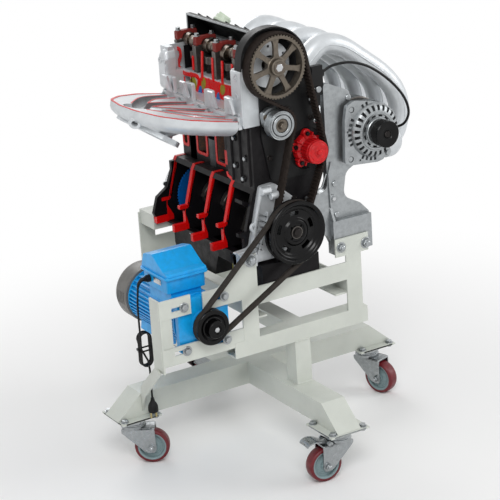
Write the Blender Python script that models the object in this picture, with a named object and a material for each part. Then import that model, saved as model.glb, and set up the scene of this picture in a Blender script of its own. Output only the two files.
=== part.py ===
"""Sectioned four-cylinder engine on a wheeled stand, turned by a small electric motor.

Metres, +Z up. The origin is on the floor, under the middle of the stand. The engine's own frame has its
zero on the crankshaft's axis: X to the intake side, Y back along the crankshaft, Z up from the floor.
"""

import math

import bmesh
import bpy
import numpy as np
from mathutils import Matrix, Vector

# Clearances
GAP = 0.0003
RUN_GAP = 0.0004
SIDE_GAP = 0.0010
OVERRUN = 0.004
WELD = 0.002

# Where the engine's frame stands in the part's frame
ENGINE_X = -0.010
ENGINE_Y = -0.118

# Facets of round pieces
FINE = 20
ROUND = 14
COARSE = 8
TYRE_SIDES = 16

# Base cross
BEAM_WIDTH = 0.060
BEAM_HEIGHT = 0.054
BEAM_BOTTOM = 0.121
LEG_SIDE = 0.375
LEG_FRONT = 0.397
LEG_REAR = 0.318
LEG_SLANT = 0.062
CROSS_X = 0.010
CROSS_Y = 0.157
BEAM_TOP = BEAM_BOTTOM + BEAM_HEIGHT
CASTER_PLATE = 0.100
PLATE_THICKNESS = 0.004

# Casters
SWIVEL_INSET_SIDE = 0.052
SWIVEL_INSET_FRONT = 0.046
SWIVEL_INSET_REAR = 0.045
TRAIL = 0.040
TYRE_RADIUS = 0.040
TYRE_WIDTH = 0.026
TYRE_DEPTH = 0.0075
HUB_WIDTH = 0.022
HUB_BOSS_RADIUS = 0.012
HUB_BOSS_WIDTH = 0.031
HUB_WEB = 0.008
HUB_BORE = 0.0050
AXLE_RADIUS = 0.0044
NUT_RADIUS = 0.0085
NUT_HEIGHT = 0.006
FORK_GAP = 0.0340
FORK_THICKNESS = 0.003
FORK_CROWN_BOTTOM = 0.0850
FORK_CROWN = 0.004
FORK_TIP_RADIUS = 0.011
RACE_RADIUS = 0.026
TRAIL_ANGLES = {"left": -34.0, "front": 176.0, "right": -72.0, "rear": 20.0}

# Brake pedal on the front caster
PEDAL_WIDTH = 0.040
PEDAL_LENGTH = 0.052
PEDAL_THICKNESS = 0.004
PEDAL_PIN_RADIUS = 0.004
PEDAL_PIN_REACH = 0.034
PEDAL_PIN_RISE = 0.0125
PEDAL_LIP = 0.012

# Front and rear frames
FRAME_FRONT = -0.058
FRAME_REAR = 0.400
BAR = 0.004
BAR_WIDTH = 0.040
POST_HEIGHT = 0.103
RAIL_HEIGHT = 0.037
RAIL_REACH_LEFT = 0.024
RAIL_REACH_RIGHT = 0.012
RAIL_DEPTH = 0.040
RAIL_WALL = 0.003
UPRIGHT_LEFT = -0.132
UPRIGHT_RIGHT = 0.183
CROSSBAR_RISE = 0.075
CROSSBAR_HEIGHT = 0.041
PANEL_RISE = 0.077
PANEL_ARM_REACH = 0.096
PANEL_ARM_RISE = 0.020
PANEL_ARM_HEIGHT = 0.042
PANEL_SLOPE_REACH = 0.055
PANEL_PEAK_INSET = 0.012
PANEL_PEAK_WIDTH = 0.030
HEAD_PLATE_INNER = 0.067
HEAD_PLATE_OUTER = 0.021
HEAD_PLATE_RISE = 0.042
UPRIGHT_RISE = 0.016
POST_LEFT = -0.003
POST_RIGHT = 0.037
SIDE_RAIL_LAP_LEFT = 0.012
SIDE_RAIL_LAP_RIGHT = 0.006
SIDE_RAIL_RISE = 0.041
REAR_RISE = 0.066
LUG_INNER_LEFT = -0.080
LUG_INNER_RIGHT = 0.080
LUG_DROP = 0.018
LUG_HEIGHT = 0.035

# Electric motor
MOTOR_SPACE = 0.031
MOTOR_RISE = 0.065
MOTOR_RADIUS = 0.062
MOTOR_FLANGE_HALF = 0.062
MOTOR_FLANGE_CORNER = 0.016
MOTOR_FLANGE_FRONT = -0.0495
MOTOR_FLANGE_BACK = -0.036
MOTOR_BODY_BACK = 0.180
MOTOR_BOLT_SPREAD = 0.050
MOTOR_BOLT_RADIUS = 0.0038
MOTOR_BOLT_HEAD_RADIUS = 0.0075
MOTOR_BOLT_HEAD = 0.005
MOTOR_SPIGOT_RADIUS = 0.030
SLOT_HALF = 0.0046
SLOT_RUN = 0.026
FIN_COUNT = 9
FIN_DEPTH = 0.0035
FIN_WIDTH = 0.0045
FAN_COVER_RADIUS = 0.067
FAN_COVER_LENGTH = 0.058
FAN_COVER_WALL = 0.0025
FAN_COVER_HOLE = 0.005
FAN_COVER_HOLE_RING = 0.034
FAN_COVER_HOLES = 6
BOX_REACH_LEFT = 0.060
BOX_REACH_RIGHT = 0.035
BOX_FRONT = -0.010
BOX_BACK = 0.098
BOX_RISE = 0.004
BOX_HEIGHT = 0.032
LID_LIP = 0.006
LID_LIP_HEIGHT = 0.006
LID_BACK_HIGH = 0.040
LID_FRONT_HIGH = 0.010
LID_CREST_SHARE = 0.45
LID_CORNER_SHARE = 0.80
GLAND_Y = 0.070
GLAND_RISE = 0.017
GLAND_RADIUS = 0.0085
GLAND_LENGTH = 0.012

# Motor bracket
ARM_REACH = 0.110
ARM_UPPER_WIDTH = 0.077
ARM_UPPER_RISE = 0.032
ARM_UPPER_HEIGHT = 0.043
ARM_LOWER_DROP = 0.075
BRACKET_BACK = -0.015
BRACKET_TAIL = 0.015
BRACE_LOW_SHARE = 0.20
BRACE_SHEAR = 0.232
BACK_BAR_INSET = 0.005
BACK_BAR_WIDTH = 0.024

# Cylinder block
ENGINE_FRONT = -0.0205
PITCH = 0.085
CYLINDERS = 4
BULKHEAD = 0.010
BORE = 0.0380
STROKE = 0.072
ROD_LENGTH = 0.150
CROWN_HEIGHT = 0.043
CRANK_RISE = 0.111
DECK_CLEARANCE = 0.004
UPPER_HALF = 0.060
CRANKCASE_HALF = 0.095
SHOULDER_HEIGHT = 0.033
SHOULDER_LOW_RISE = 0.080
PAN_RAIL_DROP = 0.054
BORE_BOTTOM_RISE = 0.086
BAY_WALL = 0.014
BLOCK_CUT_X = -0.035
BLOCK_CUT_Y = 0.088
BLOCK_CUT_RISE = 0.008
BLOCK_CUT_DROP = 0.012
JACKET_RISE = 0.021
JACKET_DROP = 0.025
JACKET_REACH = 0.014
CYLINDER_WALL = 0.0055
SKIRT_TOP_X = -0.066
SKIRT_DROP = 0.010
SKIRT_SPLIT_X = -0.088
SPLIT_RIB = 0.020
SPLIT_RIB_HIGH = 0.004
LADDER_X = -0.095
FOOT_X = -0.126
FOOT_HIGH = 0.016
BELL_HALF = 0.131
BELL_RISE = 0.086
BELL_THICKNESS = 0.010
BELL_SHARES = [(0.58, 1.0), (0.58, 0.85), (0.69, 0.58), (0.91, 0.44), (1.0, 0.17), (0.91, 0.0)]
PUMP_BOSS_RIGHT = 0.112
PUMP_BOSS_BELOW = 0.048
PUMP_BOSS_ABOVE = 0.047
PUMP_BOSS_DEPTH = 0.045
PIN_RADIUS = 0.021
JOURNAL_RADIUS = 0.025

# Crankshaft and flywheel
WEB = 0.016
WEB_RADIUS = 0.056
WEB_PIN_RADIUS = 0.030
WEB_SPREAD = 70.0
NOSE_RADIUS = 0.014
NOSE_FRONT = -0.088
CRANK_SPROCKET_RADIUS = 0.0345
CRANK_FLANGE_RADIUS = 0.034
CRANK_FLANGE = 0.008
FLYWHEEL_RADIUS = 0.086
FLYWHEEL = 0.020
FLYWHEEL_HUB = 0.050
FLYWHEEL_RECESS = 0.007

# Rods and pistons
BIG_END_RADIUS = 0.0290
BIG_END_WIDTH = 0.0255
SHANK_WIDTH = 0.017
SHANK_HALF_DEPTH = 0.0075
LOWER_SHANK_REACH = 0.062
UPPER_SHANK_REACH = 0.049
SMALL_END_RADIUS = 0.0145
SMALL_END_WIDTH = 0.024
PISTON_PIN_RADIUS = 0.009
PISTON_CLEARANCE = 0.0004
PISTON_WALL = 0.0055
PISTON_CROWN = 0.008
SKIRT = 0.024
PISTON_STATE = (1, 0, 0, 1)

# Cylinder head
CAM_X = -0.010
HEAD_LEFT = -0.075
HEAD_RIGHT = 0.070
HEAD_HEIGHT = 0.125
GALLERY_DEPTH = 0.055
GALLERY_WALL = 0.014
SECTION_X = -0.038
SECTION_DEPTH = 0.098
SECTION_FRONT = 0.020
SECTION_REAR = 0.296
PORT_RADIUS = 0.014
PORT_DEPTH = 0.030
SADDLE = 0.014
CAP_WIDTH = 0.052
CAP_HEIGHT = 0.020
CAM_JOURNAL = 0.0130
CAM_BASE = 0.0160
CAM_LIFT = 0.0070
LOBE_WIDTH = 0.015
LOBE_SPREAD = 0.019
TAPPET_RADIUS = 0.0145
SPRING_RADIUS = 0.0105
TAPPET_SKIRT = 0.016
CAP_BOLT_RADIUS = 0.0055
CAP_BOLT_HEIGHT = 0.007
CAP_BOLT_SPREAD = 0.0195
CAM_RISE = 0.006
LOBE_ANGLES = (0.0, 110.0, 90.0, 200.0, -90.0, 20.0, 180.0, 290.0)

# Cam cover, the half that the section leaves
COVER_LEFT = -0.002
COVER_HEIGHT = 0.062
COVER_WALL = 0.005
COVER_FRONT = -0.014
COVER_CHAMFER = 0.020

# Timing drive
BELT_FRONT = -0.063
BELT_WIDTH = 0.022
BELT_THICKNESS = 0.0050
SPROCKET_RADIUS = 0.0690
SPROCKET_RIM = 0.0075
SPROCKET_SPOKES = 7
SPOKE_HALF = 0.0055
SPROCKET_HUB = 0.018
SPROCKET_WEB = 0.007
TENSIONER_X = -0.008
TENSIONER_SPACE = 0.0275
TENSIONER_RADIUS = 0.0315
TENSIONER_BORE = 0.0085
STUD_RADIUS = 0.0081
PUMP_X = 0.076
PUMP_RISE = 0.161
PUMP_WHEEL_RADIUS = 0.0265
PUMP_SHAFT_RADIUS = 0.007
PUMP_HOUSING_RADIUS = 0.031
PUMP_HOUSING_DEPTH = 0.016
PUMP_EAR_RADIUS = 0.0100
PUMP_EAR_RING = 0.0345
PUMP_EARS = 5
PUMP_DISC = 0.011
BACKPLATE = 0.0035
BACKPLATE_RIM = 0.026
BACKPLATE_RIM_WALL = 0.003
BACKPLATE_PUMP_HOLE = 0.0465
CAM_SEAL_HOLE = 0.0150
BACKPLATE_LEFT = -0.092
BACKPLATE_RIGHT = 0.112
BACKPLATE_RISE = 0.103
BACKPLATE_CREST = 0.015
BACKPLATE_SHARES = [
    (0.0, 0.760), (0.045, 0.900), (0.21, 0.985), (0.45, 1.0), (0.66, 0.945), (0.80, 0.820),
    (0.87, 0.610), (1.0, 0.370), (1.0, 0.130), (0.80, 0.0), (0.36, 0.0), (0.27, 0.300),
    (0.27, 0.640), (0.16, 0.760),
]
RIM_POINTS = 6

# V-belt drive
VBELT_Y = -0.079
VBELT_TOP_HALF = 0.0065
VBELT_ROOT_HALF = 0.0042
VBELT_HEIGHT = 0.0085
CRANK_PULLEY_RADIUS = 0.0705
CRANK_PULLEY_FRONT = -0.092
CRANK_PULLEY_BACK = -0.066
MOTOR_PULLEY_RADIUS = 0.0395
MOTOR_PULLEY_FRONT = -0.108
MOTOR_PULLEY_BACK = -0.064
GROOVE_FLOOR = 0.0105
PULLEY_DISH = 0.012
PULLEY_RIM = 0.0120
PULLEY_HUB = 0.024
PULLEY_SLOTS = 5
PULLEY_SLOT_RING = 0.042
PULLEY_SLOT = 0.0075
MOTOR_SHAFT_RADIUS = 0.0095

# Front cover and engine mount
COVER_PLATE = 0.015
FRONT_COVER_LEFT = -0.125
FRONT_COVER_RIGHT = 0.048
FRONT_COVER_DROP = 0.012
FRONT_COVER_RISE = 0.103
FRONT_COVER_SHARES = [
    (0.0, 0.0), (0.55, 0.0), (0.86, 0.10), (1.0, 0.42), (0.90, 0.75), (0.62, 1.0), (0.42, 0.99),
    (0.34, 0.68), (0.22, 0.21), (0.0, 0.19),
]
FOOT_RIGHT = -0.084
BRACKET_FRONT_DEPTH = 0.015
SIDE_BRACKET_LEFT = 0.064
SIDE_BRACKET_RIGHT = 0.222
SIDE_BRACKET_DROP = 0.090
SIDE_BRACKET_RISE = 0.304
SIDE_BRACKET_SHARES = [
    (0.33, 1.0), (0.76, 0.92), (0.84, 0.50), (0.64, 0.46), (0.58, 0.32), (0.86, 0.26), (1.0, 0.20),
    (1.0, 0.0), (0.42, 0.0), (0.28, 0.12), (0.0, 0.12), (0.0, 0.36), (0.32, 0.38), (0.33, 0.70),
]
SIDE_FOOT_HEIGHT = 0.078

# Alternator
ALTERNATOR_X = 0.232
ALTERNATOR_RISE = 0.178
ALTERNATOR_RADIUS = 0.062
ALTERNATOR_FRONT = -0.078
ALTERNATOR_BACK = 0.045
ALTERNATOR_NOSE = 0.030
ALTERNATOR_NOSE_STEP = 0.008
ALTERNATOR_BORE = 0.0088
ALTERNATOR_PULLEY_RADIUS = 0.0300
ALTERNATOR_PULLEY_FRONT = -0.112
ALTERNATOR_PULLEY_BACK = -0.088
ALTERNATOR_SHAFT = 0.0083
ALTERNATOR_SLOTS = 7
ALTERNATOR_RIB = 0.0075
ALTERNATOR_SLOT_RING = 0.044
ALTERNATOR_SLOT = 0.0055
ALTERNATOR_SLOT_DEPTH = 0.010
LUG_RADIUS = 0.013
LUG_OFFSET = 0.068
LUG_ANGLES = (135.0, 214.0, 300.0)

# Front support block
SUPPORT_LEFT = -0.073
SUPPORT_RIGHT = 0.074
SUPPORT_DROP = 0.0168
SUPPORT_FRONT = -0.0535

# Oil pan and filter
PAN_HALF = 0.078
PAN_RAIL_HALF = 0.094
PAN_FLANGE = 0.005
PAN_WALL = 0.003
PAN_FRONT_DEPTH = 0.040
PAN_REAR_DEPTH = 0.088
PAN_SETBACK = 0.004
PAN_LIP = 0.003
PAN_SLOPE = 0.016
PAN_STEP_SHARE = 0.42
FILTER_X = -0.046
FILTER_Y = 0.075
FILTER_RADIUS = 0.024
FILTER_HEIGHT = 0.040

# Exhaust manifold
MANIFOLD_TILT = 12.0
MANIFOLD_EDGE_DROP = 0.010
MANIFOLD_DEPTH = 0.038
MANIFOLD_RADIUS = 0.0145
MANIFOLD_REACH = 0.200
MANIFOLD_FRONT = -0.012
MANIFOLD_REAR = 0.318
MANIFOLD_SHARES = [
    (0.0, 0.0), (0.32, 0.0), (0.62, 0.03), (0.84, 0.13), (0.97, 0.32), (1.0, 0.52), (0.94, 0.72),
    (0.72, 0.86), (0.38, 0.97), (0.0, 1.0),
]
COLLECTOR_SHARE = 0.80
OUTLET_RADIUS = 0.050
OUTLET_FLANGE = 0.010
OUTLET_PIPE_RADIUS = 0.034
OUTLET_TILT = 35.0
OUTLET_DROP = 0.062
OUTLET_X = -0.205
OUTLET_Y = 0.135
FLANGE_BAR = 0.009
FLANGE_BAR_DROP = 0.003
FLANGE_BAR_STEP = 0.002
TAB_WIDTH = 0.034
TAB_RISE = 0.038

# Intake manifold
RUNNER_RADIUS = 0.0240
RUNNER_POINTS = 11
RUNNER_SIDES = 10
INTAKE_FLANGE = 0.009
INTAKE_FLANGE_HEIGHT = 0.060
INTAKE_FLANGE_DROP = 0.012
INTAKE_REACH = 0.290
INTAKE_RISE = 0.050
INTAKE_START_DROP = 0.040
INTAKE_SHARES = [
    (0.0, 0.0), (0.05, 0.0), (0.13, 0.40), (0.28, 1.0), (0.46, 0.80), (0.66, 0.0), (0.84, -0.85),
    (0.96, -1.75),
    (1.0, -2.7), (0.965, -3.55), (0.90, -4.0),
]
PLENUM_RADIUS = 0.034
PLENUM_REACH = 0.248
PLENUM_DROP = 0.240
PLENUM_FRONT = 0.000
PLENUM_REAR = 0.320

# Mains lead, by the motor
CORD_RADIUS = 0.00225
CORD_SPACE = 0.017
CORD_STEP = 0.016
LEAD_SIDES = 2
HANK_TURNS = 3
HANK_FOLD = 0.0138
HANK_RUN = 0.050
HANK_STEP = 0.0054
HANK_DROP = 0.045
HANK_POINTS = 24
TAIL_LENGTH = 0.159
PLUG_RADIUS = 0.0115
PLUG_NECK = 0.0050
PLUG_LENGTH = 0.034
PLUG_PIN_RADIUS = 0.0024
PLUG_PIN_LENGTH = 0.015
PLUG_PIN_SPREAD = 0.0065

# Places that follow from the sizes above
SWIVEL_SIDE = LEG_SIDE - SWIVEL_INSET_SIDE
SWIVEL_FRONT = LEG_FRONT - SWIVEL_INSET_FRONT
SWIVEL_REAR = LEG_REAR - SWIVEL_INSET_REAR
RAIL_LOW = BEAM_TOP + POST_HEIGHT
RAIL_HIGH = RAIL_LOW + RAIL_HEIGHT
CROSSBAR_LOW = RAIL_HIGH + CROSSBAR_RISE
CROSSBAR_HIGH = CROSSBAR_LOW + CROSSBAR_HEIGHT
UPRIGHT_HIGH = CROSSBAR_HIGH + UPRIGHT_RISE
HEAD_PLATE_HIGH = UPRIGHT_HIGH + HEAD_PLATE_RISE
PANEL_TOP = CROSSBAR_HIGH + PANEL_RISE
PANEL_ARM_LOW = CROSSBAR_LOW + PANEL_ARM_RISE
PANEL_ARM_HIGH = PANEL_ARM_LOW + PANEL_ARM_HEIGHT
SIDE_RAIL_LOW = RAIL_HIGH + SIDE_RAIL_RISE
SIDE_RAIL_HIGH = SIDE_RAIL_LOW + BAR_WIDTH
REAR_TOP = CROSSBAR_HIGH + REAR_RISE
RAIL_LEFT = UPRIGHT_LEFT - RAIL_REACH_LEFT
RAIL_RIGHT = UPRIGHT_RIGHT + RAIL_REACH_RIGHT
PANEL_ARM_LEFT = UPRIGHT_LEFT - PANEL_ARM_REACH
PANEL_SLOPE_X = UPRIGHT_LEFT - PANEL_SLOPE_REACH
PANEL_PEAK_LEFT = UPRIGHT_LEFT + PANEL_PEAK_INSET
PANEL_PEAK_RIGHT = PANEL_PEAK_LEFT + PANEL_PEAK_WIDTH
HEAD_PLATE_LEFT = UPRIGHT_RIGHT - HEAD_PLATE_INNER
HEAD_PLATE_RIGHT = UPRIGHT_RIGHT + HEAD_PLATE_OUTER
SIDE_RAIL_LEFT = UPRIGHT_LEFT + BAR_WIDTH - SIDE_RAIL_LAP_LEFT
SIDE_RAIL_RIGHT = UPRIGHT_RIGHT - BAR_WIDTH + SIDE_RAIL_LAP_RIGHT
MOTOR_X = UPRIGHT_LEFT - MOTOR_SPACE - MOTOR_FLANGE_HALF
MOTOR_Z = RAIL_HIGH + MOTOR_RISE
BOX_LEFT = MOTOR_X - BOX_REACH_LEFT
BOX_RIGHT = MOTOR_X + BOX_REACH_RIGHT
BOX_BOTTOM = MOTOR_Z + MOTOR_RADIUS + BOX_RISE
BOX_TOP = BOX_BOTTOM + BOX_HEIGHT
GLAND_Z = BOX_BOTTOM + GLAND_RISE
ARM_LEFT = MOTOR_X - ARM_REACH
ARM_UPPER_RIGHT = ARM_LEFT + ARM_UPPER_WIDTH
ARM_UPPER_LOW = MOTOR_Z + ARM_UPPER_RISE
ARM_UPPER_HIGH = ARM_UPPER_LOW + ARM_UPPER_HEIGHT
ARM_LOWER_LOW = MOTOR_Z - ARM_LOWER_DROP
ARM_LOWER_HIGH = ARM_LOWER_LOW + BAR_WIDTH
BRACKET_LOW = ARM_LOWER_LOW - BRACKET_TAIL
BACK_BAR_LEFT = ARM_LEFT + BACK_BAR_INSET
BACK_BAR_RIGHT = BACK_BAR_LEFT + BACK_BAR_WIDTH
CRANK_Z = CROSSBAR_HIGH + CRANK_RISE
PAN_RAIL = CRANK_Z - PAN_RAIL_DROP
LUG_LOW = PAN_RAIL - LUG_DROP
LUG_HIGH = LUG_LOW + LUG_HEIGHT
SHOULDER_LOW = CRANK_Z + SHOULDER_LOW_RISE
SHOULDER_TOP = SHOULDER_LOW + SHOULDER_HEIGHT
BORE_BOTTOM = CRANK_Z + BORE_BOTTOM_RISE
BLOCK_CUT_LOW = BORE_BOTTOM + BLOCK_CUT_RISE
DECK = CRANK_Z + STROKE / 2 + ROD_LENGTH + CROWN_HEIGHT + DECK_CLEARANCE
BLOCK_CUT_HIGH = DECK - BLOCK_CUT_DROP
JACKET_LOW = BLOCK_CUT_LOW + JACKET_RISE
JACKET_HIGH = DECK - JACKET_DROP
SKIRT_TOP = BLOCK_CUT_LOW - SKIRT_DROP
BELL_HIGH = CRANK_Z + BELL_RISE
PUMP_Z = CRANK_Z + PUMP_RISE
PUMP_BOSS_LOW = PUMP_Z - PUMP_BOSS_BELOW
PUMP_BOSS_HIGH = PUMP_Z + PUMP_BOSS_ABOVE
HEAD_TOP = DECK + HEAD_HEIGHT
GALLERY_FLOOR = HEAD_TOP - GALLERY_DEPTH
SECTION_LOW = HEAD_TOP - SECTION_DEPTH
CAM_Z = HEAD_TOP + CAM_RISE
COVER_TOP = HEAD_TOP + COVER_HEIGHT
TENSIONER_Z = CAM_Z - SPROCKET_RADIUS - TENSIONER_RADIUS - TENSIONER_SPACE
BACKPLATE_LOW = CRANK_Z + BACKPLATE_RISE
BACKPLATE_HIGH = CAM_Z + SPROCKET_RADIUS + BACKPLATE_CREST
FRONT_COVER_LOW = PAN_RAIL - FRONT_COVER_DROP
FRONT_COVER_HIGH = CRANK_Z + FRONT_COVER_RISE
SIDE_BRACKET_LOW = CRANK_Z - SIDE_BRACKET_DROP
SIDE_BRACKET_HIGH = CRANK_Z + SIDE_BRACKET_RISE
SIDE_FOOT_LOW = SIDE_BRACKET_LOW
SIDE_FOOT_HIGH = SIDE_FOOT_LOW + SIDE_FOOT_HEIGHT
ALTERNATOR_Z = CRANK_Z + ALTERNATOR_RISE
SUPPORT_HIGH = PAN_RAIL - SUPPORT_DROP
PAN_SHALLOW = PAN_RAIL - PAN_FRONT_DEPTH
PAN_DEEP = PAN_RAIL - PAN_REAR_DEPTH
FLANGE_BAR_LOW = DECK - FLANGE_BAR_DROP
FLANGE_BAR_HIGH = SECTION_LOW - FLANGE_BAR_STEP
MANIFOLD_EDGE_Z = FLANGE_BAR_HIGH - MANIFOLD_EDGE_DROP
MANIFOLD_EDGE_X = HEAD_LEFT - GAP - FLANGE_BAR + WELD
TAB_HIGH = FLANGE_BAR_HIGH + TAB_RISE
INTAKE_FLANGE_HIGH = HEAD_TOP - INTAKE_FLANGE_DROP
INTAKE_FLANGE_LOW = INTAKE_FLANGE_HIGH - INTAKE_FLANGE_HEIGHT
INTAKE_START_Z = HEAD_TOP - INTAKE_START_DROP
PLENUM_Z = HEAD_TOP - PLENUM_DROP
PLENUM_X = HEAD_RIGHT + PLENUM_REACH
CORD_X = BOX_LEFT - CORD_SPACE
CORD_Y = GLAND_Y + CORD_STEP
HANK_HIGH = MOTOR_Z - HANK_DROP
TAIL_LOW = HANK_HIGH - TAIL_LENGTH
ENGINE_REAR = ENGINE_FRONT + CYLINDERS * PITCH + BULKHEAD
THROW = STROKE / 2

# Colours, roughness and metal of each finish
FINISHES = {
    "stand": ((0.60, 0.65, 0.58), 0.45, 0.0),
    "zinc": ((0.62, 0.64, 0.66), 0.30, 1.0),
    "hub": ((0.35, 0.42, 0.46), 0.45, 0.0),
    "tyre": ((0.16, 0.01, 0.02), 0.45, 0.0),
    "black": ((0.010, 0.010, 0.011), 0.40, 0.0),
    "rubber": ((0.030, 0.028, 0.026), 0.70, 0.0),
    "aluminium": ((0.60, 0.62, 0.64), 0.38, 1.0),
    "steel": ((0.30, 0.29, 0.28), 0.35, 1.0),
    "brick": ((0.22, 0.05, 0.035), 0.55, 0.0),
    "bronze": ((0.16, 0.13, 0.10), 0.45, 0.6),
    "red": ((0.52, 0.01, 0.01), 0.40, 0.0),
    "blue": ((0.02, 0.31, 0.78), 0.40, 0.0),
    "grey": ((0.20, 0.20, 0.20), 0.50, 0.0),
    "olive": ((0.30, 0.27, 0.01), 0.50, 0.0),
}


def clear_scene():
    for obj in list(bpy.data.objects):
        bpy.data.objects.remove(obj)


def material_of(finish):
    """The Principled material of one finish, made at its first use."""
    made = bpy.data.materials.get(finish)
    if made:
        return made
    colour, roughness, metallic = FINISHES[finish]
    made = bpy.data.materials.new(finish)
    made.use_nodes = True
    shader = made.node_tree.nodes["Principled BSDF"]
    shader.inputs["Base Color"].default_value = (*colour, 1.0)
    shader.inputs["Roughness"].default_value = roughness
    shader.inputs["Metallic"].default_value = metallic
    return made


def solid(bm):
    """A loose object that holds this shape, for booleans."""
    bmesh.ops.recalc_face_normals(bm, faces=bm.faces[:])
    mesh = bpy.data.meshes.new("shape")
    bm.to_mesh(mesh)
    bm.free()
    obj = bpy.data.objects.new("shape", mesh)
    bpy.context.scene.collection.objects.link(obj)
    return obj


def place(axis, a, b, c):
    """The point whose outline coordinates are a, b and whose place along the axis is c."""
    if axis == "X":
        return (c, a, b)
    if axis == "Y":
        return (a, c, b)
    return (a, b, c)


def prism(axis, outline, low, high):
    """An outline drawn across an axis and drawn out along it from low to high."""
    bm = bmesh.new()
    ends = []
    for level in (low, high):
        ends.append([bm.verts.new(place(axis, a, b, level)) for a, b in outline])
    bm.faces.new(ends[0])
    bm.faces.new(ends[1])
    count = len(outline)
    for i in range(count):
        j = (i + 1) % count
        bm.faces.new((ends[0][i], ends[0][j], ends[1][j], ends[1][i]))
    return solid(bm)


def box(x0, x1, y0, y1, z0, z1):
    return prism("Z", [(x0, y0), (x1, y0), (x1, y1), (x0, y1)], z0, z1)


def circle(x, y, radius, sides):
    """Corners of a regular outline with a side square to each axis where the count allows."""
    turns = [(i + 0.5) * 2 * math.pi / sides for i in range(sides)]
    return [(x + radius * math.cos(turn), y + radius * math.sin(turn)) for turn in turns]


def rod(axis, a, b, radius, low, high, sides=ROUND):
    """A round bar along an axis."""
    return prism(axis, circle(a, b, radius, sides), low, high)


def turned(axis, a, b, profile, sides=ROUND):
    """A closed profile of (radius, place along the axis), turned about the axis through a, b."""
    bm = bmesh.new()
    rings = []
    for radius, along in profile:
        if radius == 0:
            rings.append([bm.verts.new(place(axis, a, b, along))])
        else:
            rings.append([bm.verts.new(place(axis, x, y, along)) for x, y in circle(a, b, radius, sides)])
    for here, there in zip(rings, rings[1:] + rings[:1]):
        if len(here) == 1 and len(there) == 1:
            continue
        for i in range(sides):
            j = (i + 1) % sides
            corners = [here[i % len(here)], here[j % len(here)], there[j % len(there)], there[i % len(there)]]
            bm.faces.new(list(dict.fromkeys(corners)))
    return solid(bm)


def tube(points, radius, sides=COARSE):
    """A round tube with flat ends through the points."""
    path = [Vector(p) for p in points]
    bm = bmesh.new()
    rings = []
    side = None
    for i, point in enumerate(path):
        ahead = path[min(i + 1, len(path) - 1)]
        behind = path[max(i - 1, 0)]
        along = (ahead - behind).normalized()
        if side is None:
            side = along.orthogonal().normalized()
        side = (side - along * side.dot(along)).normalized()
        other = along.cross(side)
        ring = []
        for a, b in circle(0, 0, radius, sides):
            ring.append(bm.verts.new(point + side * a + other * b))
        rings.append(ring)
    bm.faces.new(rings[0])
    bm.faces.new(rings[-1])
    for here, there in zip(rings, rings[1:]):
        for i in range(sides):
            j = (i + 1) % sides
            bm.faces.new((here[i], here[j], there[j], there[i]))
    return solid(bm)


def smooth_path(points, count):
    """Evenly shared points on a smooth curve through the given ones."""
    knots = [Vector(points[0])] + [Vector(p) for p in points] + [Vector(points[-1])]
    dense = []
    steps = 16
    for i in range(1, len(knots) - 2):
        p0, p1, p2, p3 = knots[i - 1: i + 3]
        for s in range(steps):
            t = s / steps
            dense.append(
                (p1 * 2 + (p2 - p0) * t + (p0 * 2 - p1 * 5 + p2 * 4 - p3) * t * t
                 + (p1 * 3 - p0 - p2 * 3 + p3) * t ** 3) / 2
            )
    dense.append(knots[-2])
    lengths = [0.0]
    for here, there in zip(dense, dense[1:]):
        lengths.append(lengths[-1] + (there - here).length)
    wanted = np.linspace(0, lengths[-1], count)
    columns = [np.interp(wanted, lengths, [p[k] for p in dense]) for k in range(3)]
    return [Vector(row) for row in zip(*columns)]


def apply_boolean(target, tools, operation):
    for tool in tools:
        modifier = target.modifiers.new("shape", "BOOLEAN")
        modifier.operation = operation
        modifier.solver = "EXACT"
        modifier.object = tool
    graph = bpy.context.evaluated_depsgraph_get()
    mesh = bpy.data.meshes.new_from_object(target.evaluated_get(graph))
    target.modifiers.clear()
    target.data = mesh
    for tool in tools:
        bpy.data.objects.remove(tool)
    return target


def join(target, *tools):
    return apply_boolean(target, tools, "UNION")


def cut(target, *tools):
    return apply_boolean(target, tools, "DIFFERENCE")


def piece(name, obj, finish, origin=(0, 0, 0), smooth_angle=30.0):
    """Names a finished shape, puts its origin on the given point and moves it into the part's frame."""
    point = Vector(origin)
    obj.data.transform(Matrix.Translation(-point))
    obj.location = point + Vector((ENGINE_X, ENGINE_Y, 0))
    obj.name = name
    obj.data.name = name
    obj.data.materials.clear()
    obj.data.materials.append(material_of(finish))
    obj.data.shade_smooth()
    obj.data.set_sharp_from_angle(angle=math.radians(smooth_angle))
    return obj


def scaled(shares, left, right, low, high):
    """An outline given as shares of the box from left to right and low to high."""
    return [(left + (right - left) * a, low + (high - low) * b) for a, b in shares]


def spread(centre, count, pitch):
    return [centre + (i - (count - 1) / 2) * pitch for i in range(count)]


ENGINE_MIDDLE = (ENGINE_FRONT + ENGINE_REAR) / 2
CYLINDER_YS = spread(ENGINE_MIDDLE, CYLINDERS, PITCH)
PAN_START = ENGINE_FRONT + PAN_SETBACK + PAN_LIP
BULKHEAD_YS = spread(ENGINE_MIDDLE, CYLINDERS + 1, PITCH)
CAP_YS = BULKHEAD_YS[1:]


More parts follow.
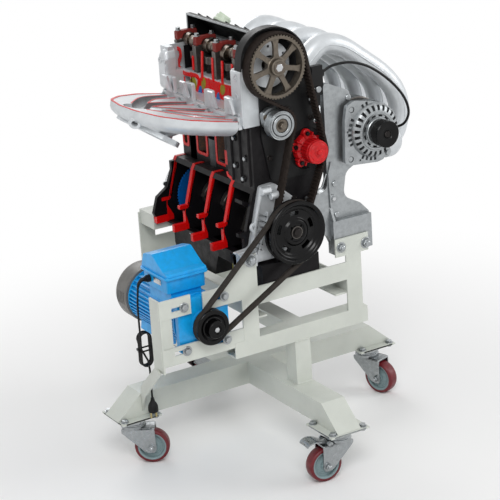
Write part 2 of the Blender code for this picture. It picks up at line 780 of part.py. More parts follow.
def base_cross():
    side = [
        (CROSS_X - LEG_SIDE, BEAM_BOTTOM), (CROSS_X + LEG_SIDE, BEAM_BOTTOM),
        (CROSS_X + LEG_SIDE - LEG_SLANT, BEAM_TOP), (CROSS_X - LEG_SIDE + LEG_SLANT, BEAM_TOP),
    ]
    long = [
        (CROSS_Y - LEG_FRONT, BEAM_BOTTOM), (CROSS_Y + LEG_REAR, BEAM_BOTTOM),
        (CROSS_Y + LEG_REAR - LEG_SLANT, BEAM_TOP), (CROSS_Y - LEG_FRONT + LEG_SLANT, BEAM_TOP),
    ]
    half = BEAM_WIDTH / 2
    body = prism("Y", side, CROSS_Y - half, CROSS_Y + half)
    tools = [prism("X", long, CROSS_X - half, CROSS_X + half)]
    for x, y in swivels().values():
        reach = CASTER_PLATE / 2
        low = BEAM_BOTTOM - PLATE_THICKNESS
        tools.append(box(x - reach, x + reach, y - reach, y + reach, low, BEAM_BOTTOM + GAP))
    piece("base_cross", join(body, *tools), "stand")


def swivels():
    """The swivel axis of each caster, X and Y in the engine's frame."""
    return {
        "left": (CROSS_X - SWIVEL_SIDE, CROSS_Y),
        "front": (CROSS_X, CROSS_Y - SWIVEL_FRONT),
        "right": (CROSS_X + SWIVEL_SIDE, CROSS_Y),
        "rear": (CROSS_X, CROSS_Y + SWIVEL_REAR),
    }


def turn_about(obj, x, y, degrees):
    """Turns a shape about the vertical line through x, y."""
    shift = Matrix.Translation((x, y, 0))
    obj.data.transform(shift @ Matrix.Rotation(math.radians(degrees), 4, "Z") @ shift.inverted())
    return obj


def caster(where, x, y):
    """One caster, drawn with its wheel trailing along +X, then turned about its swivel."""
    degrees = TRAIL_ANGLES[where]
    axle = x + TRAIL
    height = TYRE_RADIUS
    inner = FORK_GAP / 2
    outer = inner + FORK_THICKNESS
    crown_top = FORK_CROWN_BOTTOM + FORK_CROWN
    race_top = BEAM_BOTTOM - PLATE_THICKNESS - GAP
    tip = FORK_TIP_RADIUS
    leg = [
        (x - RACE_RADIUS, crown_top), (x + RACE_RADIUS, crown_top), (axle + tip, height + tip),
        (axle + tip, height - tip / 2), (axle + tip / 2, height - tip), (axle - tip, height - tip),
    ]
    left, right = x - RACE_RADIUS, x + RACE_RADIUS
    fork = box(left, right, y - outer, y + outer, FORK_CROWN_BOTTOM, crown_top)
    race = turned(
        "Z", x, y,
        [(0, crown_top - GAP), (RACE_RADIUS, crown_top - GAP), (RACE_RADIUS, crown_top + FORK_CROWN),
         (RACE_RADIUS * 0.8, race_top), (0, race_top)],
    )
    legs = [prism("Y", leg, y + inner, y + outer), prism("Y", leg, y - outer, y - inner)]
    reach = outer + NUT_HEIGHT / 2
    axle_bar = rod("Y", axle, height, AXLE_RADIUS, y - reach, y + reach, COARSE)
    nuts = [
        rod("Y", axle, height, NUT_RADIUS, y + outer - GAP, y + outer + NUT_HEIGHT, 6),
        rod("Y", axle, height, NUT_RADIUS, y - outer - NUT_HEIGHT, y - outer + GAP, 6),
    ]
    join(fork, race, *legs, axle_bar, *nuts)
    if where == "front":
        pin_x, pin_z = pedal_pin(x)
        ears = prism(
            "Y",
            [(x + RACE_RADIUS - WELD, FORK_CROWN_BOTTOM), (pin_x, pin_z - PEDAL_PIN_RADIUS),
             (pin_x + PEDAL_PIN_RADIUS, pin_z), (pin_x, crown_top), (x + RACE_RADIUS - WELD, crown_top)],
            y - outer, y + outer,
        )
        ears = cut(ears, box(x, axle + TRAIL, y - inner, y + inner, height, crown_top + height))
        join(fork, ears)
    turn_about(fork, x, y, degrees)
    piece("caster_fork_" + where, fork, "zinc", (x, y, height))

    rim = TYRE_RADIUS - TYRE_DEPTH
    half = HUB_WIDTH / 2
    web = HUB_WEB / 2
    boss = HUB_BOSS_WIDTH / 2
    hub = turned(
        "Y", axle, height,
        [(HUB_BORE, y - boss), (HUB_BOSS_RADIUS, y - boss), (HUB_BOSS_RADIUS, y - web), (rim, y - half),
         (rim, y + half), (HUB_BOSS_RADIUS, y + web), (HUB_BOSS_RADIUS, y + boss), (HUB_BORE, y + boss)],
    )
    wide = TYRE_WIDTH / 2
    flat = 1 / math.cos(math.pi / TYRE_SIDES)
    shoulder = (TYRE_RADIUS - TYRE_DEPTH / 2) * flat
    tread = TYRE_RADIUS * flat
    inside = (rim + GAP) * flat
    tyre = turned(
        "Y", axle, height,
        [(inside, y - wide), (shoulder, y - wide), (tread, y - wide / 2), (tread, y + wide / 2),
         (shoulder, y + wide), (inside, y + wide)],
        TYRE_SIDES,
    )
    turn = Matrix.Rotation(math.radians(degrees), 3, "Z")
    centre = Vector((x, y, height)) + turn @ Vector((TRAIL, 0, 0))
    piece("caster_hub_" + where, turn_about(hub, x, y, degrees), "hub", centre)
    piece("caster_tyre_" + where, turn_about(tyre, x, y, degrees), "tyre", centre)


def pedal_pin(x):
    return x + PEDAL_PIN_REACH, FORK_CROWN_BOTTOM + PEDAL_PIN_RISE / 2


def brake_pedal():
    """The foot pedal, hinged between the fork's ears over the tyre."""
    x, y = swivels()["front"]
    pin_x, pin_z = pedal_pin(x)
    reach = FORK_GAP / 2 - SIDE_GAP
    pin = PEDAL_PIN_RADIUS
    tread_low = pin_z + PEDAL_LIP - PEDAL_THICKNESS
    arm = [
        (pin_x - pin, pin_z - pin), (pin_x + PEDAL_LENGTH, tread_low),
        (pin_x + PEDAL_LENGTH, pin_z + PEDAL_LIP), (pin_x + pin, pin_z + pin), (pin_x - pin, pin_z + pin),
    ]
    pedal = prism("Y", arm, y - reach, y + reach)
    tread = box(
        pin_x + PEDAL_LENGTH / 2, pin_x + PEDAL_LENGTH, y - PEDAL_WIDTH / 2, y + PEDAL_WIDTH / 2,
        tread_low, tread_low + PEDAL_THICKNESS + GAP,
    )
    join(pedal, tread)
    turn_about(pedal, x, y, TRAIL_ANGLES["front"])
    turn = Matrix.Rotation(math.radians(TRAIL_ANGLES["front"]), 3, "Z")
    hinge = Vector((x, y, pin_z)) + turn @ Vector((PEDAL_PIN_REACH, 0, 0))
    piece("brake_pedal", pedal, "zinc", hinge)


def slot(x, z, toward):
    """A cutter for a slot that runs from a bolt's place towards one side."""
    low, high = FRAME_FRONT - OVERRUN, FRAME_FRONT + BAR + OVERRUN
    far = x + toward * SLOT_RUN
    return prism(
        "Y",
        [(min(x, far) - SLOT_HALF, z - SLOT_HALF), (max(x, far) + SLOT_HALF, z - SLOT_HALF),
         (max(x, far) + SLOT_HALF, z + SLOT_HALF), (min(x, far) - SLOT_HALF, z + SLOT_HALF)],
        low, high,
    )


def hollow_rail(x0, x1, y0, y1, z0, z1, along):
    """A square tube, open at both ends along X or Y."""
    body = box(x0, x1, y0, y1, z0, z1)
    wall = RAIL_WALL
    if along == "X":
        inner = box(x0 - OVERRUN, x1 + OVERRUN, y0 + wall, y1 - wall, z0 + wall, z1 - wall)
    else:
        inner = box(x0 + wall, x1 - wall, y0 - OVERRUN, y1 + OVERRUN, z0 + wall, z1 - wall)
    return cut(body, inner)


def front_frame():
    front, back = FRAME_FRONT, FRAME_FRONT + BAR
    deep = FRAME_FRONT + RAIL_DEPTH
    inner_left = UPRIGHT_LEFT + BAR_WIDTH
    inner_right = UPRIGHT_RIGHT - BAR_WIDTH
    panel = [
        (PANEL_ARM_LEFT, PANEL_ARM_LOW), (PANEL_ARM_LEFT, PANEL_ARM_HIGH), (PANEL_SLOPE_X, PANEL_ARM_HIGH),
        (PANEL_PEAK_LEFT, PANEL_TOP), (PANEL_PEAK_RIGHT, PANEL_TOP), (PANEL_PEAK_RIGHT, CROSSBAR_HIGH),
        (inner_right, CROSSBAR_HIGH), (inner_right, UPRIGHT_HIGH), (HEAD_PLATE_LEFT, UPRIGHT_HIGH),
        (HEAD_PLATE_LEFT, HEAD_PLATE_HIGH), (HEAD_PLATE_RIGHT, HEAD_PLATE_HIGH),
        (HEAD_PLATE_RIGHT, UPRIGHT_HIGH), (UPRIGHT_RIGHT, UPRIGHT_HIGH),
        (UPRIGHT_RIGHT, RAIL_HIGH - WELD), (inner_right, RAIL_HIGH - WELD),
        (inner_right, CROSSBAR_LOW), (inner_left, CROSSBAR_LOW), (inner_left, RAIL_HIGH - WELD),
        (UPRIGHT_LEFT, RAIL_HIGH - WELD), (UPRIGHT_LEFT, PANEL_ARM_LOW),
    ]
    body = prism("Y", panel, front, back)
    rail = hollow_rail(RAIL_LEFT, RAIL_RIGHT, front, deep, RAIL_LOW, RAIL_HIGH, "X")
    flange = box(UPRIGHT_RIGHT - BAR, UPRIGHT_RIGHT, front, deep, RAIL_HIGH - WELD, UPRIGHT_HIGH)
    post = box(POST_LEFT, POST_RIGHT, front, deep, BEAM_TOP + GAP, RAIL_LOW + WELD)
    join(body, rail, flange, post)
    right = MOTOR_X + MOTOR_BOLT_SPREAD
    cut(body, slot(right, MOTOR_Z + MOTOR_BOLT_SPREAD, -1))
    piece("front_frame", body, "stand")


def rear_frame():
    front, back = FRAME_REAR - BAR, FRAME_REAR
    deep = FRAME_REAR - RAIL_DEPTH
    inner_left = UPRIGHT_LEFT + BAR_WIDTH
    inner_right = UPRIGHT_RIGHT - BAR_WIDTH
    panel = [
        (UPRIGHT_LEFT, RAIL_HIGH - WELD), (UPRIGHT_LEFT, REAR_TOP), (inner_left, REAR_TOP),
        (inner_left, CROSSBAR_HIGH), (inner_right, CROSSBAR_HIGH), (inner_right, REAR_TOP),
        (UPRIGHT_RIGHT, REAR_TOP), (UPRIGHT_RIGHT, RAIL_HIGH - WELD), (inner_right, RAIL_HIGH - WELD),
        (inner_right, CROSSBAR_LOW), (inner_left, CROSSBAR_LOW), (inner_left, RAIL_HIGH - WELD),
    ]
    body = prism("Y", panel, front, back)
    rail = hollow_rail(RAIL_LEFT, RAIL_RIGHT, deep, back, RAIL_LOW, RAIL_HIGH, "X")
    post = box(POST_LEFT, POST_RIGHT, deep, back, BEAM_TOP + GAP, RAIL_LOW + WELD)
    middle = box(POST_LEFT, POST_RIGHT, FRAME_FRONT + RAIL_DEPTH + GAP, deep + WELD, RAIL_LOW, RAIL_HIGH)
    tools = [rail, post, middle]
    start = FRAME_FRONT + BAR + GAP
    for x, inward in ((SIDE_RAIL_LEFT, 1), (SIDE_RAIL_RIGHT, -1)):
        edge = sorted((x, x + inward * BAR))
        ledge = sorted((x, x + inward * (BAR_WIDTH - BAR)))
        tools.append(box(edge[0], edge[1], start, front + WELD, SIDE_RAIL_LOW, SIDE_RAIL_HIGH))
        tools.append(box(ledge[0], ledge[1], start, front + WELD, SIDE_RAIL_LOW, SIDE_RAIL_LOW + BAR))
    rear = ENGINE_REAR + GAP
    tools.append(box(UPRIGHT_LEFT + BAR, LUG_INNER_LEFT, rear, front + WELD, LUG_LOW, LUG_HIGH))
    tools.append(box(LUG_INNER_RIGHT, UPRIGHT_RIGHT - BAR, rear, front + WELD, LUG_LOW, LUG_HIGH))
    join(body, *tools)
    piece("rear_frame", body, "stand")


def motor_bracket():
    front, back = FRAME_FRONT, FRAME_FRONT + BAR
    end = UPRIGHT_LEFT - GAP
    lower = [
        (ARM_LEFT, ARM_LOWER_LOW), (ARM_LEFT, ARM_LOWER_HIGH), (end, ARM_LOWER_HIGH),
        (end, RAIL_HIGH + GAP), (RAIL_LEFT - GAP, RAIL_HIGH + GAP), (RAIL_LEFT - GAP, ARM_LOWER_LOW),
    ]
    body = prism("Y", lower, front, back)
    upper = box(ARM_LEFT, ARM_UPPER_RIGHT, front, back, ARM_UPPER_LOW, ARM_UPPER_HIGH)
    upright = box(ARM_LEFT, ARM_LEFT + BAR, front, BRACKET_BACK, BRACKET_LOW, ARM_UPPER_HIGH)
    back_bar = box(
        BACK_BAR_LEFT, BACK_BAR_RIGHT, back - WELD, back + BAR - WELD,
        ARM_LOWER_HIGH - BAR, ARM_UPPER_LOW + BAR,
    )
    beam_front = CROSS_Y - BEAM_WIDTH / 2 - GAP
    fall = BRACKET_LOW - BEAM_BOTTOM
    weld_low = BEAM_BOTTOM + BEAM_HEIGHT * BRACE_LOW_SHARE
    knee_y = BRACKET_BACK + (beam_front - BRACKET_BACK) * LID_CORNER_SHARE
    strip = [
        (front, BRACKET_LOW + BAR), (BRACKET_BACK, BRACKET_LOW + BAR),
        (beam_front, BEAM_BOTTOM + BEAM_HEIGHT + fall / 10), (beam_front, weld_low),
        (knee_y, BEAM_TOP),
    ]
    brace = prism("X", strip, ARM_LEFT, ARM_LEFT + BAR)
    shear = Matrix.Identity(4)
    shear[0][1] = BRACE_SHEAR
    anchor = Matrix.Translation((0, BRACKET_BACK, 0))
    brace.data.transform(anchor @ shear @ anchor.inverted())
    join(body, upper, upright, back_bar, brace)
    left = MOTOR_X - MOTOR_BOLT_SPREAD
    right = MOTOR_X + MOTOR_BOLT_SPREAD
    high = MOTOR_Z + MOTOR_BOLT_SPREAD
    low = MOTOR_Z - MOTOR_BOLT_SPREAD
    cut(body, slot(left, high, -1), slot(left, low, -1), slot(right, low, -1))
    piece("motor_bracket", body, "stand")


def motor():
    """Flange motor: body with fins and bolts, fan cover, terminal box with gland."""
    x, z = MOTOR_X, MOTOR_Z
    h, c = MOTOR_FLANGE_HALF, MOTOR_FLANGE_CORNER
    square = [
        (x - h, z - h + c), (x - h + c, z - h), (x + h - c, z - h), (x + h, z - h + c),
        (x + h, z + h - c), (x + h - c, z + h), (x - h + c, z + h), (x - h, z + h - c),
    ]
    body = rod("Y", x, z, MOTOR_RADIUS, MOTOR_FLANGE_BACK - WELD, MOTOR_BODY_BACK, FINE)
    tools = [prism("Y", square, MOTOR_FLANGE_FRONT, MOTOR_FLANGE_BACK)]
    tools.append(rod("Y", x, z, MOTOR_SPIGOT_RADIUS, MOTOR_FLANGE_FRONT - BAR, MOTOR_FLANGE_FRONT + WELD))
    head_back = FRAME_FRONT - GAP
    for i in (-1, 1):
        for k in (-1, 1):
            a, b = x + i * MOTOR_BOLT_SPREAD, z + k * MOTOR_BOLT_SPREAD
            shank_end = MOTOR_FLANGE_FRONT + WELD
            tools.append(rod("Y", a, b, MOTOR_BOLT_RADIUS, head_back - WELD, shank_end, COARSE))
            tools.append(rod("Y", a, b, MOTOR_BOLT_HEAD_RADIUS, head_back - MOTOR_BOLT_HEAD, head_back, 6))
    join(body, *tools)
    fins = []
    fin_start = MOTOR_FLANGE_BACK + FIN_DEPTH * 4
    for i in range(-FIN_COUNT // 2, FIN_COUNT // 2 + 1):
        for side in (0, math.pi):
            angle = side + i * math.pi / (2 * FIN_COUNT) * 1.7
            a, b = x + MOTOR_RADIUS * math.cos(angle), z + MOTOR_RADIUS * math.sin(angle)
            fins.append(rod("Y", a, b, FIN_WIDTH, fin_start, MOTOR_BODY_BACK + OVERRUN, 4))
    cut(body, *fins)
    foot = BOX_BOTTOM + GAP
    lip = LID_LIP
    pad = box(BOX_LEFT + lip, BOX_RIGHT - lip, BOX_FRONT + lip, BOX_BACK - lip, z, foot - GAP)
    join(body, pad)
    piece("motor_body", body, "blue", (x, MOTOR_FLANGE_FRONT, z))

    start = MOTOR_BODY_BACK + GAP
    end = start + FAN_COVER_LENGTH
    wall = FAN_COVER_WALL
    cover = turned(
        "Y", x, z,
        [(FAN_COVER_RADIUS - wall * 3, start), (FAN_COVER_RADIUS, start), (FAN_COVER_RADIUS, end - wall * 3),
         (FAN_COVER_RADIUS - wall * 3, end), (0, end), (0, end - wall),
         (FAN_COVER_RADIUS - wall * 4, end - wall),
         (FAN_COVER_RADIUS - wall, end - wall * 4), (FAN_COVER_RADIUS - wall, start + wall),
         (FAN_COVER_RADIUS - wall * 3, start + wall)],
        FINE,
    )
    holes = []
    for a, b in circle(x, z, FAN_COVER_HOLE_RING, FAN_COVER_HOLES):
        holes.append(rod("Y", a, b, FAN_COVER_HOLE, end - wall * 2, end + OVERRUN, 6))
    cut(cover, *holes)
    piece("motor_fan_cover", cover, "grey", (x, start, z))

    shell = box(BOX_LEFT, BOX_RIGHT, BOX_FRONT, BOX_BACK, foot, BOX_TOP)
    crest = BOX_BACK - (BOX_BACK - BOX_FRONT) * LID_CREST_SHARE
    knee = BOX_BACK - LID_BACK_HIGH / 4
    top = BOX_TOP + LID_LIP_HEIGHT
    lid = [
        (BOX_FRONT - LID_LIP, BOX_TOP - GAP), (BOX_BACK + LID_LIP, BOX_TOP - GAP),
        (BOX_BACK + LID_LIP, top), (knee, top), (knee, top + LID_BACK_HIGH * LID_CORNER_SHARE),
        (crest, top + LID_BACK_HIGH), (BOX_FRONT + LID_LIP, top + LID_FRONT_HIGH), (BOX_FRONT - LID_LIP, top),
    ]
    lid_body = prism("X", lid, BOX_LEFT - LID_LIP, BOX_RIGHT + LID_LIP)
    join(shell, lid_body)
    piece("terminal_box", shell, "blue", (x, BOX_FRONT, foot))

    wall_x = BOX_LEFT - GAP
    gland = turned(
        "X", GLAND_Y, GLAND_Z,
        [(0, wall_x), (GLAND_RADIUS, wall_x), (GLAND_RADIUS, wall_x - GLAND_LENGTH / 2),
         (CORD_RADIUS * 2, wall_x - GLAND_LENGTH), (CORD_RADIUS * 1.3, gland_tip()), (0, gland_tip())],
        COARSE,
    )
    piece("cord_gland", gland, "black", (wall_x, GLAND_Y, GLAND_Z))


def gland_tip():
    return BOX_LEFT - GAP - GLAND_LENGTH


def rod_swing():
    """How far above the crank's axis a crankpin is when its rod comes under the wall of the bore."""
    reach = BORE - SHANK_WIDTH / 2
    return math.sqrt(max(0, THROW ** 2 - reach ** 2))


def block():
    """Cylinder block, cut open along its left side: bores and water jackets above, thin bulkheads below."""
    front, rear = ENGINE_FRONT, ENGINE_REAR
    outline = [
        (FOOT_X, PAN_RAIL), (CRANKCASE_HALF, PAN_RAIL), (CRANKCASE_HALF, SHOULDER_LOW),
        (UPPER_HALF, SHOULDER_TOP), (UPPER_HALF, DECK), (-UPPER_HALF, DECK), (-UPPER_HALF, BLOCK_CUT_LOW),
        (SKIRT_TOP_X, SKIRT_TOP), (SKIRT_SPLIT_X, CRANK_Z + SPLIT_RIB_HIGH),
        (SKIRT_SPLIT_X - SPLIT_RIB, CRANK_Z + SPLIT_RIB_HIGH),
        (SKIRT_SPLIT_X - SPLIT_RIB, CRANK_Z - SPLIT_RIB_HIGH), (LADDER_X, CRANK_Z - SPLIT_RIB / 2),
        (LADDER_X, PAN_RAIL + FOOT_HIGH), (FOOT_X, PAN_RAIL + FOOT_HIGH),
    ]
    body = prism("Y", outline, front, rear)
    boss_back = front + PUMP_BOSS_DEPTH
    boss = box(UPPER_HALF - WELD, PUMP_BOSS_RIGHT, front, boss_back, PUMP_BOSS_LOW, PUMP_BOSS_HIGH)
    bell = scaled(BELL_SHARES, 0, BELL_HALF, PAN_RAIL, BELL_HIGH)
    bell += [(-x, z) for x, z in reversed(bell)]
    join(body, boss, prism("Y", bell, rear - BELL_THICKNESS, rear))
    half_bay = (PITCH - BULKHEAD) / 2
    bay_right = CRANKCASE_HALF - BAY_WALL
    bay_top = CRANK_Z + rod_swing() + LOWER_SHANK_REACH + SIDE_GAP
    outside = FOOT_X - OVERRUN
    tools = [box(outside, BLOCK_CUT_X, BLOCK_CUT_Y, rear + OVERRUN, BLOCK_CUT_LOW, BLOCK_CUT_HIGH)]
    for y in CYLINDER_YS:
        tools.append(rod("Z", 0, y, BORE, bay_top - OVERRUN, DECK + OVERRUN, FINE))
        tools.append(box(outside, bay_right, y - half_bay, y + half_bay, PAN_RAIL - OVERRUN, bay_top))
    for y in BULKHEAD_YS[2:]:
        low, high = y - PITCH / 2, min(y + PITCH / 2, rear - CYLINDER_WALL)
        jacket = box(BLOCK_CUT_X - OVERRUN, BLOCK_CUT_X + JACKET_REACH, low, high, JACKET_LOW, JACKET_HIGH)
        sleeves = []
        for side in (-1, 1):
            middle = y + side * PITCH / 2
            sleeves.append(rod("Z", 0, middle, BORE + CYLINDER_WALL, bay_top, DECK, FINE))
        tools.append(cut(jacket, *sleeves))
    tools.append(rod("Y", 0, CRANK_Z, JOURNAL_RADIUS + RUN_GAP, front - OVERRUN, rear + OVERRUN, FINE))
    cut(body, *tools)
    piece("cylinder_block", body, "black")


def web_outline(angle):
    """A crank web with its pin at the given angle and its counterweight opposite."""
    points = []
    steps = 6
    for i in range(steps + 1):
        turn = math.radians(180 - WEB_SPREAD + 2 * WEB_SPREAD * i / steps)
        points.append((WEB_RADIUS * math.cos(turn), WEB_RADIUS * math.sin(turn)))
    for i in range(steps + 1):
        turn = math.radians(-90 + 180 * i / steps)
        points.append((THROW + WEB_PIN_RADIUS * math.cos(turn), WEB_PIN_RADIUS * math.sin(turn)))
    turn = math.radians(angle)
    c, s = math.cos(turn), math.sin(turn)
    return [(a * c - b * s, CRANK_Z + a * s + b * c) for a, b in points]


def crankshaft():
    front, rear = ENGINE_FRONT, ENGINE_REAR
    belt_back = BELT_FRONT + BELT_WIDTH
    body = rod("Y", 0, CRANK_Z, NOSE_RADIUS, NOSE_FRONT, front, ROUND)
    tools = [rod("Y", 0, CRANK_Z, CRANK_SPROCKET_RADIUS, BELT_FRONT - SIDE_GAP, belt_back + SIDE_GAP, FINE)]
    half_pin = PITCH / 2 - BULKHEAD / 2 - SIDE_GAP - WEB
    for i, y in enumerate(CYLINDER_YS):
        up = PISTON_STATE[i]
        angle = 90 if up else -90
        pin_z = CRANK_Z + (THROW if up else -THROW)
        tools.append(rod("Y", 0, pin_z, PIN_RADIUS, y - half_pin - WELD, y + half_pin + WELD))
        for side in (-1, 1):
            a, b = sorted((y + side * half_pin, y + side * (half_pin + WEB)))
            tools.append(prism("Y", web_outline(angle), a, b))
    for y in BULKHEAD_YS:
        reach = BULKHEAD / 2 + SIDE_GAP + WELD
        tools.append(rod("Y", 0, CRANK_Z, JOURNAL_RADIUS, max(y - reach, front), y + reach))
    tools.append(rod("Y", 0, CRANK_Z, CRANK_FLANGE_RADIUS, rear + SIDE_GAP, rear + SIDE_GAP + CRANK_FLANGE))
    join(body, *tools)
    piece("crankshaft", body, "steel", (0, 0, CRANK_Z))

    start = rear + SIDE_GAP + CRANK_FLANGE + GAP
    end = start + FLYWHEEL
    wheel = turned(
        "Y", 0, CRANK_Z,
        [(NOSE_RADIUS, start), (FLYWHEEL_RADIUS, start), (FLYWHEEL_RADIUS, end),
         (FLYWHEEL_RADIUS - FLYWHEEL, end), (FLYWHEEL_RADIUS - FLYWHEEL, end - FLYWHEEL_RECESS),
         (FLYWHEEL_HUB, end - FLYWHEEL_RECESS), (FLYWHEEL_HUB, end), (NOSE_RADIUS, end)],
        FINE,
    )
    piece("flywheel", wheel, "steel", (0, start, CRANK_Z))


def rods_and_pistons():
    for i, y in enumerate(CYLINDER_YS):
        up = PISTON_STATE[i]
        pin_z = CRANK_Z + (THROW if up else -THROW)
        small_z = pin_z + ROD_LENGTH
        wide = BIG_END_WIDTH / 2
        bore = (PIN_RADIUS + RUN_GAP) / math.cos(math.pi / ROUND)
        ring = turned(
            "Y", 0, pin_z,
            [(bore, y - wide), (BIG_END_RADIUS, y - wide), (BIG_END_RADIUS, y + wide), (bore, y + wide)],
        )
        half = SHANK_WIDTH / 2
        shank = box(
            -half, half, y - SHANK_HALF_DEPTH, y - GAP,
            pin_z + PIN_RADIUS + BIG_END_RADIUS / 8, pin_z + LOWER_SHANK_REACH,
        )
        join(ring, shank)
        piece("connecting_rod_%d" % (i + 1), ring, "steel", (0, y, pin_z))

        outer = BORE - PISTON_CLEARANCE
        inner = outer - PISTON_WALL
        crown = small_z + CROWN_HEIGHT
        skirt = small_z - SKIRT
        profile = [(inner, skirt), (outer, skirt), (outer, crown), (0, crown)]
        profile += [(0, crown - PISTON_CROWN), (inner, crown - PISTON_CROWN)]
        piston = turned("Z", 0, y, profile, FINE)
        reach = inner + PISTON_WALL / 2
        pin = rod("Y", 0, small_z, PISTON_PIN_RADIUS, y - reach, y + reach, COARSE)
        eye = rod("Y", 0, small_z, SMALL_END_RADIUS, y - SMALL_END_WIDTH / 2, y + SMALL_END_WIDTH / 2)
        upper = box(-half, half, y + GAP, y + SHANK_HALF_DEPTH, small_z - UPPER_SHANK_REACH, small_z)
        join(piston, pin, eye, upper)
        piece("piston_%d" % (i + 1), piston, "aluminium", (0, y, small_z))


def head():
    """Cylinder head with its gallery open and its exhaust side cut away."""
    front, rear = ENGINE_FRONT, ENGINE_REAR
    body = box(HEAD_LEFT, HEAD_RIGHT, front, rear, DECK + GAP, HEAD_TOP)
    wall = GALLERY_WALL
    gallery = box(
        HEAD_LEFT + wall, HEAD_RIGHT - wall, front + wall, rear - wall, GALLERY_FLOOR, HEAD_TOP + OVERRUN,
    )
    section = box(
        HEAD_LEFT - OVERRUN, SECTION_X, SECTION_FRONT, SECTION_REAR, SECTION_LOW, HEAD_TOP + OVERRUN,
    )
    cut(body, gallery, section)
    ports = []
    port_z = (SECTION_LOW + GALLERY_FLOOR) / 2 - WELD
    for y in CYLINDER_YS:
        ports.append(rod("X", y, port_z, PORT_RADIUS, HEAD_LEFT - OVERRUN, SECTION_X + PORT_DEPTH, COARSE))
    cut(body, *ports)
    tools = []
    half_cap = CAP_WIDTH / 2
    for y in CAP_YS:
        back = min(y + SADDLE / 2, rear)
        saddle_left, saddle_right = CAM_X - half_cap, CAM_X + half_cap
        low = GALLERY_FLOOR - WELD
        tools.append(box(saddle_left, saddle_right, y - SADDLE / 2, back, low, CAM_Z - GAP))
    tools.append(
        box(CAM_X - half_cap, CAM_X + half_cap, front, front + GALLERY_WALL, GALLERY_FLOOR - WELD,
            CAM_Z + CAP_HEIGHT)
    )
    nose = CAM_BASE + CAM_LIFT
    top = CAM_Z - nose - SIDE_GAP
    for y in CYLINDER_YS:
        for side in (-1, 1):
            yy = y + side * LOBE_SPREAD
            tools.append(rod("Z", CAM_X, yy, TAPPET_RADIUS, top - TAPPET_SKIRT, top, COARSE))
            tools.append(rod("Z", CAM_X, yy, SPRING_RADIUS, GALLERY_FLOOR - WELD, top - WELD, COARSE))
    join(body, *tools)
    cut(body, rod("Y", CAM_X, CAM_Z, CAM_JOURNAL + RUN_GAP, front - OVERRUN, rear + OVERRUN))
    piece("cylinder_head", body, "aluminium")


def cam_caps():
    half = CAP_WIDTH / 2
    for i, y in enumerate(CAP_YS):
        thick = SADDLE / 2
        cap = prism(
            "Y",
            [(CAM_X - half, CAM_Z + GAP), (CAM_X + half, CAM_Z + GAP), (CAM_X + half, CAM_Z + CAP_HEIGHT / 2),
             (CAM_X + half / 2, CAM_Z + CAP_HEIGHT), (CAM_X - half / 2, CAM_Z + CAP_HEIGHT),
             (CAM_X - half, CAM_Z + CAP_HEIGHT / 2)],
            y - thick, y + thick,
        )
        bolts = []
        for side in (-1, 1):
            x = CAM_X + side * CAP_BOLT_SPREAD
            top = CAM_Z + CAP_HEIGHT + CAP_BOLT_HEIGHT
            bolts.append(rod("Z", x, y, CAP_BOLT_RADIUS, CAM_Z + CAP_HEIGHT / 3, top, 6))
        join(cap, *bolts)
        cut(cap, rod("Y", CAM_X, CAM_Z, CAM_JOURNAL + RUN_GAP, y - PITCH / 4, y + PITCH / 4))
        piece("cam_cap_%d" % (i + 1), cap, "brick", (CAM_X, y, CAM_Z))


def lobe_outline(angle):
    points = []
    steps = 14
    for i in range(steps):
        turn = 2 * math.pi * i / steps
        lift = CAM_LIFT * max(0.0, math.cos(turn)) ** 3
        radius = CAM_BASE + lift
        points.append((radius * math.cos(turn), radius * math.sin(turn)))
    turn = math.radians(angle)
    c, s = math.cos(turn), math.sin(turn)
    return [(CAM_X + a * c - b * s, CAM_Z + a * s + b * c) for a, b in points]


def camshaft():
    front = BELT_FRONT - SIDE_GAP
    body = rod("Y", CAM_X, CAM_Z, CAM_JOURNAL, front - SPROCKET_WEB, ENGINE_REAR - OVERRUN, ROUND)
    tools = []
    for i, y in enumerate(CYLINDER_YS):
        for k, side in enumerate((-1, 1)):
            middle = y + side * LOBE_SPREAD
            outline = lobe_outline(LOBE_ANGLES[2 * i + k])
            tools.append(prism("Y", outline, middle - LOBE_WIDTH / 2, middle + LOBE_WIDTH / 2))
    join(body, *tools)
    piece("camshaft", body, "steel", (CAM_X, 0, CAM_Z))


def cam_sprocket():
    front = BELT_FRONT - SIDE_GAP
    back = BELT_FRONT + BELT_WIDTH + SIDE_GAP
    rim = SPROCKET_RADIUS - SPROCKET_RIM
    bore = CAM_JOURNAL + GAP
    web = SPROCKET_WEB / 2
    middle = front + SPROCKET_WEB
    wheel = turned(
        "Y", CAM_X, CAM_Z,
        [(bore, front - WELD), (SPROCKET_HUB, front - WELD), (SPROCKET_HUB, middle - web),
         (rim, middle - web), (rim, front), (SPROCKET_RADIUS, front), (SPROCKET_RADIUS, back), (rim, back),
         (rim, middle + web),
         (SPROCKET_HUB, middle + web), (SPROCKET_HUB, back), (bore, back)],
        FINE,
    )
    tools = []
    step = 2 * math.pi / SPROCKET_SPOKES
    inner, outer = SPROCKET_HUB + SPOKE_HALF / 2, rim - SPOKE_HALF / 2
    for i in range(SPROCKET_SPOKES):
        start = i * step + math.pi / 2
        window = []
        for radius, flip in ((inner, 1), (outer, -1)):
            edge = SPOKE_HALF / radius
            span = [start + edge, start + step / 2, start + step - edge]
            for turn in span[::flip]:
                window.append((CAM_X + radius * math.cos(turn), CAM_Z + radius * math.sin(turn)))
        tools.append(prism("Y", window, front - OVERRUN, back + OVERRUN))
    cut(wheel, *tools)
    piece("cam_sprocket", wheel, "bronze", (CAM_X, BELT_FRONT, CAM_Z))


